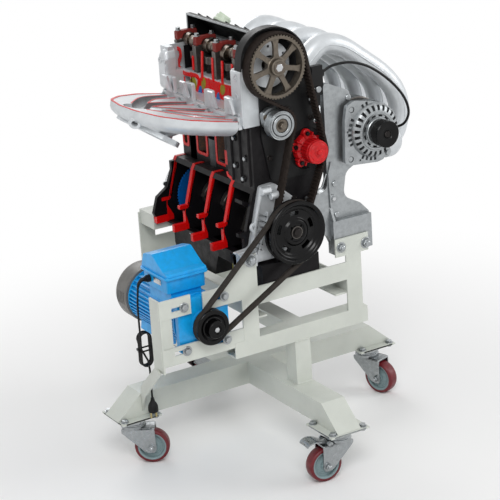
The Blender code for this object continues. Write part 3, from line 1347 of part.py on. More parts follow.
def cam_cover():
    right = HEAD_RIGHT + WELD
    wall, slope = COVER_WALL, COVER_CHAMFER
    low, top = HEAD_TOP + GAP, COVER_TOP
    outline = [
        (COVER_LEFT, top), (right - slope, top), (right, top - slope), (right, low), (right - wall, low),
        (right - wall, top - slope - wall / 3), (right - slope - wall / 3, top - wall),
        (COVER_LEFT, top - wall),
    ]
    body = prism("Y", outline, COVER_FRONT, ENGINE_REAR)
    solid_end = outline[:4] + [(COVER_LEFT, low)]
    cam_gap = CAP_WIDTH / 2 + CAM_X + SIDE_GAP
    end = prism("Y", solid_end, ENGINE_REAR - wall, ENGINE_REAR)
    end = cut(end, box(COVER_LEFT - wall, cam_gap, ENGINE_REAR - 2 * wall, ENGINE_REAR + wall, low - wall,
                       CAM_Z + CAP_HEIGHT + CAP_BOLT_HEIGHT + SIDE_GAP))
    join(body, end)
    piece("cam_cover", body, "black")


def belt_path(circles):
    """Points of a belt's middle line round circles of (x, z, radius, turn), in the order that it meets them.

    turn is 1 where the belt runs anticlockwise round a circle inside it, and -1 round one outside it.
    """
    count = len(circles)
    arrivals = [None] * count
    leaves = [None] * count
    for i, (x0, z0, r0, t0) in enumerate(circles):
        k = (i + 1) % count
        x1, z1, r1, t1 = circles[k]
        gap = Vector((x1 - x0, z1 - z0))
        distance = gap.length
        base = math.atan2(gap.y, gap.x)
        offset = (t0 * r0 - t1 * r1) / distance
        normal = base - math.acos(max(-1.0, min(1.0, offset)))
        leaves[i] = normal if t0 > 0 else normal + math.pi
        arrivals[k] = normal if t1 > 0 else normal + math.pi
    points = []
    step = math.radians(12)
    for (x, z, radius, turn), start, end in zip(circles, arrivals, leaves):
        sweep = (end - start) * turn % (2 * math.pi) * turn
        pieces = max(2, int(abs(sweep) / step) + 1)
        for i in range(pieces + 1):
            angle = start + sweep * i / pieces
            points.append((x + radius * math.cos(angle), z + radius * math.sin(angle)))
    return points


def belt(points, section):
    """A belt: a section of (outward, along Y) carried round a closed path."""
    bm = bmesh.new()
    count = len(points)
    rings = []
    for i in range(count):
        ahead = Vector(points[(i + 1) % count])
        behind = Vector(points[i - 1])
        along = (ahead - behind).normalized()
        out = Vector((along.y, -along.x))
        ring = []
        for outward, y in section:
            x, z = Vector(points[i]) + out * outward
            ring.append(bm.verts.new((x, y, z)))
        rings.append(ring)
    sides = len(section)
    for here, there in zip(rings, rings[1:] + rings[:1]):
        for i in range(sides):
            j = (i + 1) % sides
            bm.faces.new((here[i], here[j], there[j], there[i]))
    return solid(bm)


def timing_belt():
    half = BELT_THICKNESS / 2
    inside = half + RUN_GAP * 2
    path = belt_path([
        (0, CRANK_Z, CRANK_SPROCKET_RADIUS + inside, 1),
        (PUMP_X, PUMP_Z, PUMP_WHEEL_RADIUS + inside, 1),
        (CAM_X, CAM_Z, SPROCKET_RADIUS + inside, 1),
        (TENSIONER_X, TENSIONER_Z, TENSIONER_RADIUS + inside, -1),
    ])
    back = BELT_FRONT + BELT_WIDTH
    loop = belt(path, [(-half, BELT_FRONT), (half, BELT_FRONT), (half, back), (-half, back)])
    piece("timing_belt", loop, "rubber")


def v_belt():
    path = belt_path([
        (0, CRANK_Z, CRANK_PULLEY_RADIUS, 1),
        (MOTOR_X, MOTOR_Z, MOTOR_PULLEY_RADIUS, 1),
    ])
    loop = belt(path, [
        (-VBELT_HEIGHT, VBELT_Y - VBELT_ROOT_HALF), (0, VBELT_Y - VBELT_TOP_HALF),
        (0, VBELT_Y + VBELT_TOP_HALF), (-VBELT_HEIGHT, VBELT_Y + VBELT_ROOT_HALF),
    ])
    piece("v_belt", loop, "rubber")


def groove(radius):
    """The V groove of a pulley, as the profile points between its two rims."""
    top = VBELT_TOP_HALF + SIDE_GAP / 2
    root = VBELT_ROOT_HALF + SIDE_GAP / 2
    floor = radius - GROOVE_FLOOR
    front, back = VBELT_Y - top, VBELT_Y + top
    return [(radius, front), (floor, VBELT_Y - root), (floor, VBELT_Y + root), (radius, back)]


def crank_pulley():
    front, back = CRANK_PULLEY_FRONT, CRANK_PULLEY_BACK
    radius = CRANK_PULLEY_RADIUS
    rim = radius - PULLEY_RIM - WELD
    bore = NOSE_RADIUS + GAP
    dish = front + PULLEY_DISH
    web = PULLEY_SLOT
    wheel = turned(
        "Y", 0, CRANK_Z,
        [(bore, front + WELD), (PULLEY_HUB, front + WELD), (PULLEY_HUB, dish), (rim, dish), (rim, front),
         (radius, front), *groove(radius), (radius, back), (rim, back), (rim, dish + web),
         (PULLEY_HUB, dish + web), (PULLEY_HUB, back), (bore, back)],
        FINE,
    )
    slots = []
    for i in range(PULLEY_SLOTS):
        start = 2 * math.pi * i / PULLEY_SLOTS
        inner, outer = PULLEY_SLOT_RING - PULLEY_SLOT / 2, PULLEY_SLOT_RING + PULLEY_SLOT / 2
        span = (start - PULLEY_SLOT / PULLEY_SLOT_RING, start + PULLEY_SLOT / PULLEY_SLOT_RING)
        corners = [(inner, span[0]), (outer, span[0]), (outer, span[1]), (inner, span[1])]
        window = [(r * math.cos(t), CRANK_Z + r * math.sin(t)) for r, t in corners]
        slots.append(prism("Y", window, dish - OVERRUN, dish + web + OVERRUN))
    cut(wheel, *slots)
    piece("crank_pulley", wheel, "black", (0, front, CRANK_Z))


def motor_pulley():
    """The motor's shaft end with its pulley keyed on."""
    front, back = MOTOR_PULLEY_FRONT, MOTOR_PULLEY_BACK
    radius = MOTOR_PULLEY_RADIUS
    spigot = MOTOR_FLANGE_FRONT - BAR - GAP
    wheel = turned(
        "Y", MOTOR_X, MOTOR_Z,
        [(0, front + WELD), (PULLEY_HUB / 2, front + WELD), (PULLEY_HUB / 2, front),
         (radius, front), *groove(radius), (radius, back),
         (MOTOR_SHAFT_RADIUS, back), (MOTOR_SHAFT_RADIUS, spigot), (0, spigot)],
        FINE,
    )
    piece("motor_pulley", wheel, "black", (MOTOR_X, front, MOTOR_Z))


def backplate():
    """Plate behind the timing belt, with a rim round its top and the tensioner's stud."""
    back = ENGINE_FRONT - GAP
    front = back - BACKPLATE
    outline = scaled(BACKPLATE_SHARES, BACKPLATE_LEFT, BACKPLATE_RIGHT, BACKPLATE_LOW, BACKPLATE_HIGH)
    body = prism("Y", outline, front, back)
    outer = outline[:RIM_POINTS]
    inner = []
    for x, z in outer:
        away = Vector((x - CAM_X, z - CAM_Z))
        away -= away.normalized() * BACKPLATE_RIM_WALL
        inner.append((CAM_X + away.x, CAM_Z + away.y))
    rim = prism("Y", outer + inner[::-1], back - BACKPLATE_RIM, back - BACKPLATE / 2)
    stud_front = BELT_FRONT - SIDE_GAP - WELD
    stud = rod("Y", TENSIONER_X, TENSIONER_Z, STUD_RADIUS, stud_front, back - BACKPLATE / 2, COARSE)
    join(body, rim, stud)
    hole = rod("Y", CAM_X, CAM_Z, CAM_SEAL_HOLE, front - OVERRUN, back + OVERRUN)
    pump = rod("Y", PUMP_X, PUMP_Z, BACKPLATE_PUMP_HOLE, front - OVERRUN, back + OVERRUN)
    cut(body, hole, pump)
    piece("timing_backplate", body, "black")


def tensioner():
    front = BELT_FRONT - SIDE_GAP
    back = BELT_FRONT + BELT_WIDTH + SIDE_GAP
    r, bore = TENSIONER_RADIUS, TENSIONER_BORE
    step = BACKPLATE_RIM_WALL
    wheel = turned(
        "Y", TENSIONER_X, TENSIONER_Z,
        [(bore, front - WELD), (r / 2, front - WELD), (r / 2, front + step), (r - step, front + step),
         (r - step, front), (r, front), (r, back), (bore, back)],
        FINE,
    )
    piece("tensioner_pulley", wheel, "aluminium", (TENSIONER_X, front, TENSIONER_Z))


def water_pump():
    back = ENGINE_FRONT - GAP
    front = back - PUMP_HOUSING_DEPTH
    shaft_bore = PUMP_SHAFT_RADIUS + RUN_GAP
    housing = turned(
        "Y", PUMP_X, PUMP_Z,
        [(shaft_bore, front), (PUMP_HOUSING_RADIUS / 2, front), (PUMP_HOUSING_RADIUS, front + WELD * 2),
         (PUMP_HOUSING_RADIUS, back), (shaft_bore, back)],
    )
    ears = []
    for a, b in circle(PUMP_X, PUMP_Z, PUMP_EAR_RING, PUMP_EARS):
        ears.append(rod("Y", a, b, PUMP_EAR_RADIUS, front + WELD * 3, back, COARSE))
    join(housing, *ears)
    piece("water_pump_housing", housing, "red")

    wheel_back = BELT_FRONT + BELT_WIDTH + SIDE_GAP
    wheel_front = BELT_FRONT - SIDE_GAP
    disc = wheel_front - PUMP_DISC
    r = PUMP_WHEEL_RADIUS
    wheel = turned(
        "Y", PUMP_X, PUMP_Z,
        [(0, disc + WELD), (r / 2, disc + WELD), (r * 0.8, disc), (r * 0.95, disc + WELD),
         (r * 0.95, wheel_front), (r, wheel_front), (r, wheel_back), (PUMP_SHAFT_RADIUS, wheel_back),
         (PUMP_SHAFT_RADIUS, back - WELD),
         (0, back - WELD)],
        FINE,
    )
    piece("water_pump_wheel", wheel, "red", (PUMP_X, disc, PUMP_Z))


def front_cover():
    """Oil pump housing on the block's front, with the foot that the front frame carries."""
    back = ENGINE_FRONT - GAP
    front = back - COVER_PLATE
    limits = (FRONT_COVER_LEFT, FRONT_COVER_RIGHT, FRONT_COVER_LOW, FRONT_COVER_HIGH)
    outline = scaled(FRONT_COVER_SHARES, *limits)
    body = prism("Y", outline, front, back)
    foot_front = FRAME_FRONT + BAR + GAP
    foot_top = FRONT_COVER_LOW + (FRONT_COVER_HIGH - FRONT_COVER_LOW) * FRONT_COVER_SHARES[-1][1]
    foot = box(FRONT_COVER_LEFT, FOOT_RIGHT, foot_front, front + WELD, FRONT_COVER_LOW, foot_top)
    join(body, foot)
    cut(body, rod("Y", 0, CRANK_Z, NOSE_RADIUS + RUN_GAP * 2, front - OVERRUN, back + OVERRUN))
    piece("front_cover", body, "aluminium")


def side_bracket():
    """Alternator bracket and engine mount in one casting, bolted to the frame's head plate."""
    back = ENGINE_FRONT - BACKPLATE - 2 * GAP
    front = back - BRACKET_FRONT_DEPTH
    limits = (SIDE_BRACKET_LEFT, SIDE_BRACKET_RIGHT, SIDE_BRACKET_LOW, SIDE_BRACKET_HIGH)
    outline = scaled(SIDE_BRACKET_SHARES, *limits)
    body = prism("Y", outline, front, back)
    foot_front = FRAME_FRONT + BAR + GAP
    foot = box(
        HEAD_PLATE_LEFT, SIDE_BRACKET_RIGHT - RAIL_WALL, foot_front, front + WELD,
        SIDE_FOOT_LOW, SIDE_FOOT_HIGH,
    )
    pad = box(
        SIDE_BRACKET_LEFT, CRANKCASE_HALF, back - WELD, ENGINE_FRONT - GAP,
        SIDE_FOOT_LOW + BAR_WIDTH + BAR, SIDE_FOOT_HIGH + BAR_WIDTH,
    )
    join(body, foot, pad)
    clear = ALTERNATOR_RADIUS + SIDE_GAP
    pump_clear = PUMP_EAR_RING + PUMP_EAR_RADIUS + SIDE_GAP
    cut(
        body,
        rod("Y", ALTERNATOR_X, ALTERNATOR_Z, clear, front - OVERRUN, back + OVERRUN, FINE),
        rod("Y", PUMP_X, PUMP_Z, pump_clear, front - OVERRUN, back + WELD, ROUND),
    )
    piece("side_bracket", body, "aluminium")


def support_block():
    low = CROSSBAR_LOW + (CROSSBAR_HIGH - CROSSBAR_LOW) / 2
    block_body = box(SUPPORT_LEFT, SUPPORT_RIGHT, SUPPORT_FRONT, PAN_START - GAP, low, SUPPORT_HIGH)
    piece("front_support_block", block_body, "black")


def alternator():
    x, z = ALTERNATOR_X, ALTERNATOR_Z
    front, back = ALTERNATOR_FRONT, ALTERNATOR_BACK
    r = ALTERNATOR_RADIUS
    nose = ALTERNATOR_NOSE
    step = ALTERNATOR_NOSE_STEP
    body = turned(
        "Y", x, z,
        [(ALTERNATOR_BORE, front), (nose, front), (nose + step, front + step / 2), (r - step, front + step),
         (r, front + 2 * step), (r, back - step), (r - step, back), (0, back), (0, back - step),
         (ALTERNATOR_BORE, back - step)],
        FINE,
    )
    slots = []
    for a, b in circle(x, z, ALTERNATOR_SLOT_RING, ALTERNATOR_SLOTS):
        slot_end = front + ALTERNATOR_SLOT_DEPTH + step
        slots.append(rod("Y", a, b, ALTERNATOR_SLOT, front - OVERRUN, slot_end, 6))
    cut(body, *slots)
    lugs = []
    for degrees in LUG_ANGLES:
        turn = math.radians(degrees)
        a, b = x + LUG_OFFSET * math.cos(turn), z + LUG_OFFSET * math.sin(turn)
        lug_back = ENGINE_FRONT - BACKPLATE - 3 * GAP - BRACKET_FRONT_DEPTH
        lugs.append(rod("Y", a, b, LUG_RADIUS, lug_back - BRACKET_FRONT_DEPTH, lug_back, COARSE))
    join(body, *lugs)
    piece("alternator_body", body, "aluminium", (x, front, z))

    pulley_front, pulley_back = ALTERNATOR_PULLEY_FRONT, ALTERNATOR_PULLEY_BACK
    r = ALTERNATOR_PULLEY_RADIUS
    rib = ALTERNATOR_RIB
    depth = ALTERNATOR_RIB / 2
    profile = [(0, pulley_front + rib), (r / 2, pulley_front + rib), (r / 2, pulley_front), (r, pulley_front)]
    count = int((pulley_back - pulley_front) / rib)
    for i in range(1, count):
        y = pulley_front + i * rib
        profile += [(r, y - depth / 2), (r - depth, y), (r, y + depth / 2)]
    end = back - step * 2
    profile += [(r, pulley_back), (ALTERNATOR_SHAFT, pulley_back), (ALTERNATOR_SHAFT, end), (0, end)]
    rotor = turned("Y", x, z, profile, ROUND)
    piece("alternator_pulley", rotor, "black", (x, pulley_front, z))


def oil_pan():
    front, rear = ENGINE_FRONT + PAN_SETBACK, ENGINE_REAR
    start = PAN_START
    step = front + (rear - front) * PAN_STEP_SHARE
    top = PAN_RAIL - GAP
    flange_low = top - PAN_FLANGE
    half, wall = PAN_HALF, PAN_WALL
    slope = PAN_SLOPE
    outline = [
        (start, top), (rear - wall, top), (rear - wall, PAN_DEEP + 2 * slope),
        (rear - slope, PAN_DEEP), (step + slope, PAN_DEEP), (step, PAN_SHALLOW), (start, PAN_SHALLOW),
    ]
    body = prism("X", outline, -half, half)
    flange = box(-PAN_RAIL_HALF, PAN_RAIL_HALF, front, rear - GAP, flange_low, top)
    join(body, flange)
    inner = [
        (start + wall, top + OVERRUN), (rear - 2 * wall, top + OVERRUN),
        (rear - 2 * wall, PAN_DEEP + 2 * slope + wall), (rear - slope - wall, PAN_DEEP + wall),
        (step + slope + wall, PAN_DEEP + wall), (step + wall, PAN_SHALLOW + wall),
        (start + wall, PAN_SHALLOW + wall),
    ]
    cut(body, prism("X", inner, -half + wall, half - wall))
    piece("oil_pan", body, "black")


def oil_filter():
    top = PAN_SHALLOW - GAP
    r, h = FILTER_RADIUS, FILTER_HEIGHT
    body = turned(
        "Z", FILTER_X, FILTER_Y,
        [(0, top), (r * 0.8, top), (r, top - h / 8), (r * 0.85, top - h * 0.7), (r * 0.6, top - h),
         (0, top - h)],
    )
    piece("oil_filter", body, "olive")


def exhaust_manifold():
    """Log manifold, cut level along its runners, with a flange bar, port tabs and a slanted outlet."""
    outline = []
    for a, b in MANIFOLD_SHARES:
        x = MANIFOLD_EDGE_X - MANIFOLD_REACH * a
        outline.append((x, MANIFOLD_FRONT + (MANIFOLD_REAR - MANIFOLD_FRONT) * b))
    top = MANIFOLD_EDGE_Z
    body = prism("Z", outline, top - MANIFOLD_DEPTH, top)
    middle = (MANIFOLD_FRONT + MANIFOLD_REAR) / 2
    end = (MANIFOLD_EDGE_X - MANIFOLD_REACH * COLLECTOR_SHARE, middle, top)
    channels = []
    for y in CYLINDER_YS:
        start = (MANIFOLD_EDGE_X + WELD, y, top)
        out = (MANIFOLD_EDGE_X - MANIFOLD_REACH * COLLECTOR_SHARE / 2, y + (middle - y) / 4, top)
        path = smooth_path([start, out, end], 7)
        channels.append(tube(path, MANIFOLD_RADIUS))
    low = top - MANIFOLD_DEPTH * 0.6
    channels.append(rod("Z", end[0], end[1], MANIFOLD_RADIUS * 2, low, top + OVERRUN))
    cut(body, *channels)
    tilt = Matrix.Rotation(math.radians(MANIFOLD_TILT), 4, "Y")
    pivot = Matrix.Translation((MANIFOLD_EDGE_X, 0, MANIFOLD_EDGE_Z))
    body.data.transform(pivot @ tilt @ pivot.inverted())
    rise = math.tan(math.radians(MANIFOLD_TILT))
    outlet = turned(
        "Z", 0, 0,
        [(0, 0), (OUTLET_RADIUS, 0), (OUTLET_RADIUS, OUTLET_FLANGE), (OUTLET_PIPE_RADIUS, OUTLET_FLANGE),
         (OUTLET_PIPE_RADIUS, OUTLET_DROP * 0.7), (0, OUTLET_DROP * 0.7)],
    )
    outlet_z = MANIFOLD_EDGE_Z - MANIFOLD_DEPTH + (MANIFOLD_EDGE_X - OUTLET_X) * rise - OUTLET_DROP * 0.35
    turn = Matrix.Rotation(math.radians(OUTLET_TILT), 4, "Y")
    outlet.data.transform(Matrix.Translation((OUTLET_X, OUTLET_Y, outlet_z)) @ turn)
    right = HEAD_LEFT - GAP
    bar = box(right - FLANGE_BAR, right, MANIFOLD_FRONT, MANIFOLD_REAR, FLANGE_BAR_LOW, FLANGE_BAR_HIGH)
    tabs = []
    for y in CYLINDER_YS:
        half = TAB_WIDTH / 2
        tabs.append(box(right - FLANGE_BAR, right, y - half, y + half, FLANGE_BAR_LOW, TAB_HIGH))
    join(body, outlet, bar, *tabs)
    piece("exhaust_manifold", body, "aluminium")


def intake_manifold():
    """Four curved runners from the head's right side over and down to a plenum."""
    left = HEAD_RIGHT + GAP
    start_x = left + INTAKE_FLANGE / 2
    knots = [
        (start_x + INTAKE_REACH * a, INTAKE_START_Z + INTAKE_RISE * b) for a, b in INTAKE_SHARES
    ]
    body = box(left, left + INTAKE_FLANGE, CYLINDER_YS[0] - PITCH / 3, CYLINDER_YS[-1] + PITCH / 3,
               INTAKE_FLANGE_LOW, INTAKE_FLANGE_HIGH)
    tools = [rod("Y", PLENUM_X, PLENUM_Z, PLENUM_RADIUS, PLENUM_FRONT, PLENUM_REAR, FINE)]
    for y in CYLINDER_YS:
        path = smooth_path([(x, y, z) for x, z in knots], RUNNER_POINTS)
        path.insert(1, path[0] + Vector((INTAKE_FLANGE, 0, 0)))
        tools.append(tube(path, RUNNER_RADIUS, RUNNER_SIDES))
    join(body, *tools)
    piece("intake_manifold", body, "aluminium")


def cord_curve(name, points, resolution):
    """A round cord along the points, as a curve with filled ends."""
    curve = bpy.data.curves.new(name, "CURVE")
    curve.dimensions = "3D"
    curve.bevel_depth = CORD_RADIUS
    curve.bevel_resolution = resolution
    curve.use_fill_caps = True
    spline = curve.splines.new("POLY")
    spline.points.add(len(points) - 1)
    for knot, point in zip(spline.points, points):
        knot.co = (*(Vector(point) + Vector((ENGINE_X, ENGINE_Y, 0))), 1.0)
    curve.materials.append(material_of("black"))
    obj = bpy.data.objects.new(name, curve)
    bpy.context.scene.collection.objects.link(obj)
    return obj


def hank_points():
    """Long loops that hang in one plane and step along Y, then the tail that drops to the plug."""
    points = []
    count = HANK_TURNS * HANK_POINTS
    half_run = HANK_RUN / 2
    middle_z = HANK_HIGH - half_run - HANK_FOLD
    start_y = CORD_Y - HANK_STEP * HANK_TURNS / 2
    fold = math.pi * HANK_FOLD
    lap = 2 * HANK_RUN + 2 * fold
    for i in range(count + 1):
        share = i / count * HANK_TURNS
        way = share % 1.0 * lap
        y = start_y + HANK_STEP * share
        if way < HANK_RUN:
            x, z = CORD_X - HANK_FOLD, middle_z + half_run - way
        elif way < HANK_RUN + fold:
            turn = (way - HANK_RUN) / HANK_FOLD
            x, z = CORD_X - HANK_FOLD * math.cos(turn), middle_z - half_run - HANK_FOLD * math.sin(turn)
        elif way < 2 * HANK_RUN + fold:
            x, z = CORD_X + HANK_FOLD, middle_z - half_run + way - HANK_RUN - fold
        else:
            turn = (way - 2 * HANK_RUN - fold) / HANK_FOLD
            x, z = CORD_X + HANK_FOLD * math.cos(turn), middle_z + half_run + HANK_FOLD * math.sin(turn)
        points.append((x, y, z))
    last = points[-1]
    drop = TAIL_LOW - PLUG_NECK - last[2]
    for share in (0.12, 0.25, 0.40, 0.55, 0.70, 0.85, 1.0):
        ease = min(1.0, share * 2) ** 2 * (3 - 2 * min(1.0, share * 2))
        points.append((last[0] + 2 * HANK_FOLD * ease, last[1] + HANK_STEP * ease, last[2] + drop * share))
    return points


def least_gap(points, radius):
    """The least free space between stretches of a tube that are not neighbours."""
    way = [0.0]
    for here, there in zip(points, points[1:]):
        way.append(way[-1] + (Vector(there) - Vector(here)).length)
    dense = []
    for k in range(len(points) - 1):
        here, there = Vector(points[k]), Vector(points[k + 1])
        for share in (0.0, 0.25, 0.5, 0.75):
            dense.append((here.lerp(there, share), way[k] * (1 - share) + way[k + 1] * share))
    best = 1.0
    for i, (here, mark) in enumerate(dense):
        for there, other in dense[i + 1:]:
            if other - mark > 6 * radius:
                best = min(best, (there - here).length - 2 * radius)
    return best


def cord():
    """Lead from the gland down to the hank, the hank with its tail, and the plug."""
    tip = gland_tip() - GAP
    hank = hank_points()
    top = Vector(hank[0])
    lead = [
        (tip, GLAND_Y, GLAND_Z),
        (tip - CORD_RADIUS * 3, GLAND_Y, GLAND_Z),
        (tip - CORD_RADIUS * 7, GLAND_Y, GLAND_Z - CORD_RADIUS * 4),
        (top.x, GLAND_Y + (top.y - GLAND_Y) / 3, GLAND_Z - CORD_RADIUS * 14),
        (top.x, top.y, GLAND_Z - CORD_RADIUS * 30),
        (top.x, top.y, top.z + CORD_RADIUS * 6),
        (top.x, top.y, top.z + GAP),
    ]
    cord_curve("cord_lead", smooth_path(lead, 18), LEAD_SIDES)
    cord_curve("cord_hank", hank, 1)
    print("least gap of the hank to itself: %.2f mm" % (least_gap(hank, CORD_RADIUS) * 1000))

    x, y, z = hank[-1]
    z -= GAP
    low = z - PLUG_LENGTH
    body = turned(
        "Z", x, y,
        [(0, z), (PLUG_NECK, z), (PLUG_NECK, z - PLUG_LENGTH * 0.25), (PLUG_RADIUS, z - PLUG_LENGTH * 0.55),
         (PLUG_RADIUS, low), (0, low)],
        COARSE,
    )
    pins = []
    for side in (-1, 1):
        pin_x = x + side * PLUG_PIN_SPREAD
        pins.append(rod("Z", pin_x, y, PLUG_PIN_RADIUS, low - PLUG_PIN_LENGTH, low + WELD, COARSE))
    join(body, *pins)
    piece("cord_plug", body, "black", (x, y, z))


def main():
    clear_scene()
    base_cross()
    for where, (x, y) in swivels().items():
        caster(where, x, y)
    brake_pedal()
    front_frame()
    rear_frame()
    motor_bracket()
    motor()
    block()
    crankshaft()
    rods_and_pistons()
    head()
    cam_caps()
    camshaft()
    cam_sprocket()
    cam_cover()
    timing_belt()
    v_belt()
    crank_pulley()
    motor_pulley()
    backplate()
    tensioner()
    water_pump()
    front_cover()
    side_bracket()
    support_block()
    alternator()
    oil_pan()
    oil_filter()
    exhaust_manifold()
    intake_manifold()
    cord()


main()
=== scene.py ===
"""Looks of the sectioned engine model on its wheeled stand: finishes, fine shapes, cord, floor and light.

Shapes are written in millimetres in the engine's own frame: X to the intake side, Y back along the
crankshaft from the timing belt, Z up from the floor. piece() then moves each into the part's frame.
"""

from collections import namedtuple
from math import acos, atan2, cos, hypot, pi, radians, sin, sqrt, tan

import bmesh
import bpy
import numpy as np
from mathutils import Matrix, Vector, noise


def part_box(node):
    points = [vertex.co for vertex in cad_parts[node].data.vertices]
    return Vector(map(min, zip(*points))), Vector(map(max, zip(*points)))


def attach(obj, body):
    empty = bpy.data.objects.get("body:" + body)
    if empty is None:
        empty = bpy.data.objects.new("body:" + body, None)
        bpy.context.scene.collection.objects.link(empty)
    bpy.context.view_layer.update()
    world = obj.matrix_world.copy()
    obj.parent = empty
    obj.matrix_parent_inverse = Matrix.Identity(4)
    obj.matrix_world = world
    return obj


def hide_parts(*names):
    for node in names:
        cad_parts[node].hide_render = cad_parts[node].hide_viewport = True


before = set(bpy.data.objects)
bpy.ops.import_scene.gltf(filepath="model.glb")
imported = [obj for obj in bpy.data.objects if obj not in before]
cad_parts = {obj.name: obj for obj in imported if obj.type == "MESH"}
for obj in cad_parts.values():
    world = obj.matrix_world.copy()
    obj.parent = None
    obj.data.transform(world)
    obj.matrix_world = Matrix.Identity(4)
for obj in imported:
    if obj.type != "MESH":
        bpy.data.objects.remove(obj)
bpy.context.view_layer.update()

bl_info = {
    "name": "Sectioned engine model",
    "version": (1, 0, 0),
    "blender": (4, 5, 0),
    "location": "View3D > Sidebar > Engine",
    "description": "Builds the finishes and fine shapes of a sectioned engine on a wheeled stand",
    "category": "Object",
}

TO_PART = Matrix.Scale(0.001, 4) @ Matrix.Translation((-10.0, -118.0, 0.0))
TO_ENGINE = TO_PART.inverted()

# Places in the engine's frame, in millimetres
PITCH = 85.0
CYLINDER_YS = [27.0 + PITCH * i for i in range(4)]
BULKHEAD_YS = [-15.5 + PITCH * i for i in range(5)]
PISTON_UP = (True, False, False, True)
FRAME_FRONT = -58.0
BELT_FRONT, BELT_BACK = -63.0, -41.0
REAR = 329.5
TENSIONER = (-8.0, 778.0)
PUMP = (76.0, 703.0)
MOTOR = (-225.0, 380.0)
ALTERNATOR = (232.0, 720.0)

FORWARD, BACK, LEFT, RIGHT, UP, DOWN = (0, -1, 0), (0, 1, 0), (-1, 0, 0), (1, 0, 0), (0, 0, 1), (0, 0, -1)
CORNERS = ((-1, -1), (-1, 1), (1, -1), (1, 1))


def linear(code):
    """An sRGB hex colour as a linear one."""
    values = [int(code[i:i + 2], 16) / 255 for i in (1, 3, 5)]
    return tuple(v / 12.92 if v <= 0.04045 else ((v + 0.055) / 1.055) ** 2.4 for v in values)


def corners(node):
    """A node's lowest and highest corners at rest, in the engine's frame."""
    low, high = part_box(node)
    return TO_ENGINE @ Vector(low), TO_ENGINE @ Vector(high)


def middle(node):
    low, high = corners(node)
    return (low + high) / 2


def length(name, description, millimetres):
    """A length that a user may change, kept in metres."""
    return bpy.props.FloatProperty(
        name=name, description=description, default=millimetres / 1000, min=0.0, unit="LENGTH", precision=4,
    )


def colour(name, description, code):
    """A colour that a user may change."""
    return bpy.props.FloatVectorProperty(
        name=name, description=description, default=linear(code), subtype="COLOR", size=3, min=0.0, max=1.0,
    )


class EngineSizes(bpy.types.PropertyGroup):
    """Sizes of the round and turning pieces"""
    crank_height: length("Crank height", "Height of the crankshaft's axis over the floor", middle("flywheel").z)
    throw: length("Crank throw", "Distance of a crankpin from the crankshaft's axis", 36.0)
    rod_length: length("Rod length", "Distance between the two eyes of a connecting rod", 150.0)
    bore: length("Bore radius", "Radius of a cylinder's bore", 38.0)
    cam_x: length("Cam offset", "How far the camshaft lies from the crankshaft's middle plane", 10.0)
    cam_height: length("Cam height", "Height of the camshaft's axis over the floor", middle("cam_sprocket").z)
    sprocket: length("Cam sprocket radius", "Radius of the camshaft's sprocket", 69.0)
    crank_sprocket: length("Crank sprocket radius", "Radius of the belt sprocket on the crankshaft", 34.5)
    pump_wheel: length("Pump wheel radius", "Radius of the water pump's wheel", 26.5)
    tensioner: length("Tensioner radius", "Radius of the belt tensioner's roller", 31.5)
    crank_pulley: length("Crank pulley radius", "Radius of the crankshaft's V-belt pulley", 70.5)
    motor_pulley: length("Motor pulley radius", "Radius of the motor's V-belt pulley", 39.5)
    tooth: length("Belt tooth pitch", "Distance from tooth to tooth of the timing belt", 8.0)
    alternator: length("Alternator radius", "Radius of the alternator's housing", 62.0)
    tyre: length("Tyre radius", "Radius of a caster's wheel", 40.0)
    cord: length("Cord diameter", "Diameter of the mains lead", 4.5)


class EngineColours(bpy.types.PropertyGroup):
    """Colours of the painted and moulded surfaces"""
    stand: colour("Stand", "Powder coat of the stand", "#CBCFC7")
    block: colour("Block", "Enamel of the cylinder block", "#141214")
    section: colour("Cut faces", "Enamel of the faces where the engine is cut", "#DC0A0A")
    casting: colour("Castings", "Silver paint of the light castings", "#D2D6D9")
    motor: colour("Motor", "Enamel of the electric motor", "#0CA6EE")
    caps: colour("Bearing caps", "Primer of the camshaft's bearing caps", "#822D28")
    pump: colour("Water pump", "Enamel of the water pump", "#C8141A")
    filter: colour("Filter and ports", "Enamel of the oil filter and the exhaust ports", "#968C00")
    bits: colour("Marked bits", "Enamel of the small marked bits inside", "#0064B4")
    tread: colour("Treads", "Polyurethane of the caster treads", "#6E141E")
    hubs: colour("Hubs", "Polyamide of the caster hubs", "#829699")


def sizes():
    """The user's sizes in millimetres."""
    group = bpy.context.scene.engine_sizes
    return {name: getattr(group, name) * 1000 for name in EngineSizes.__annotations__}


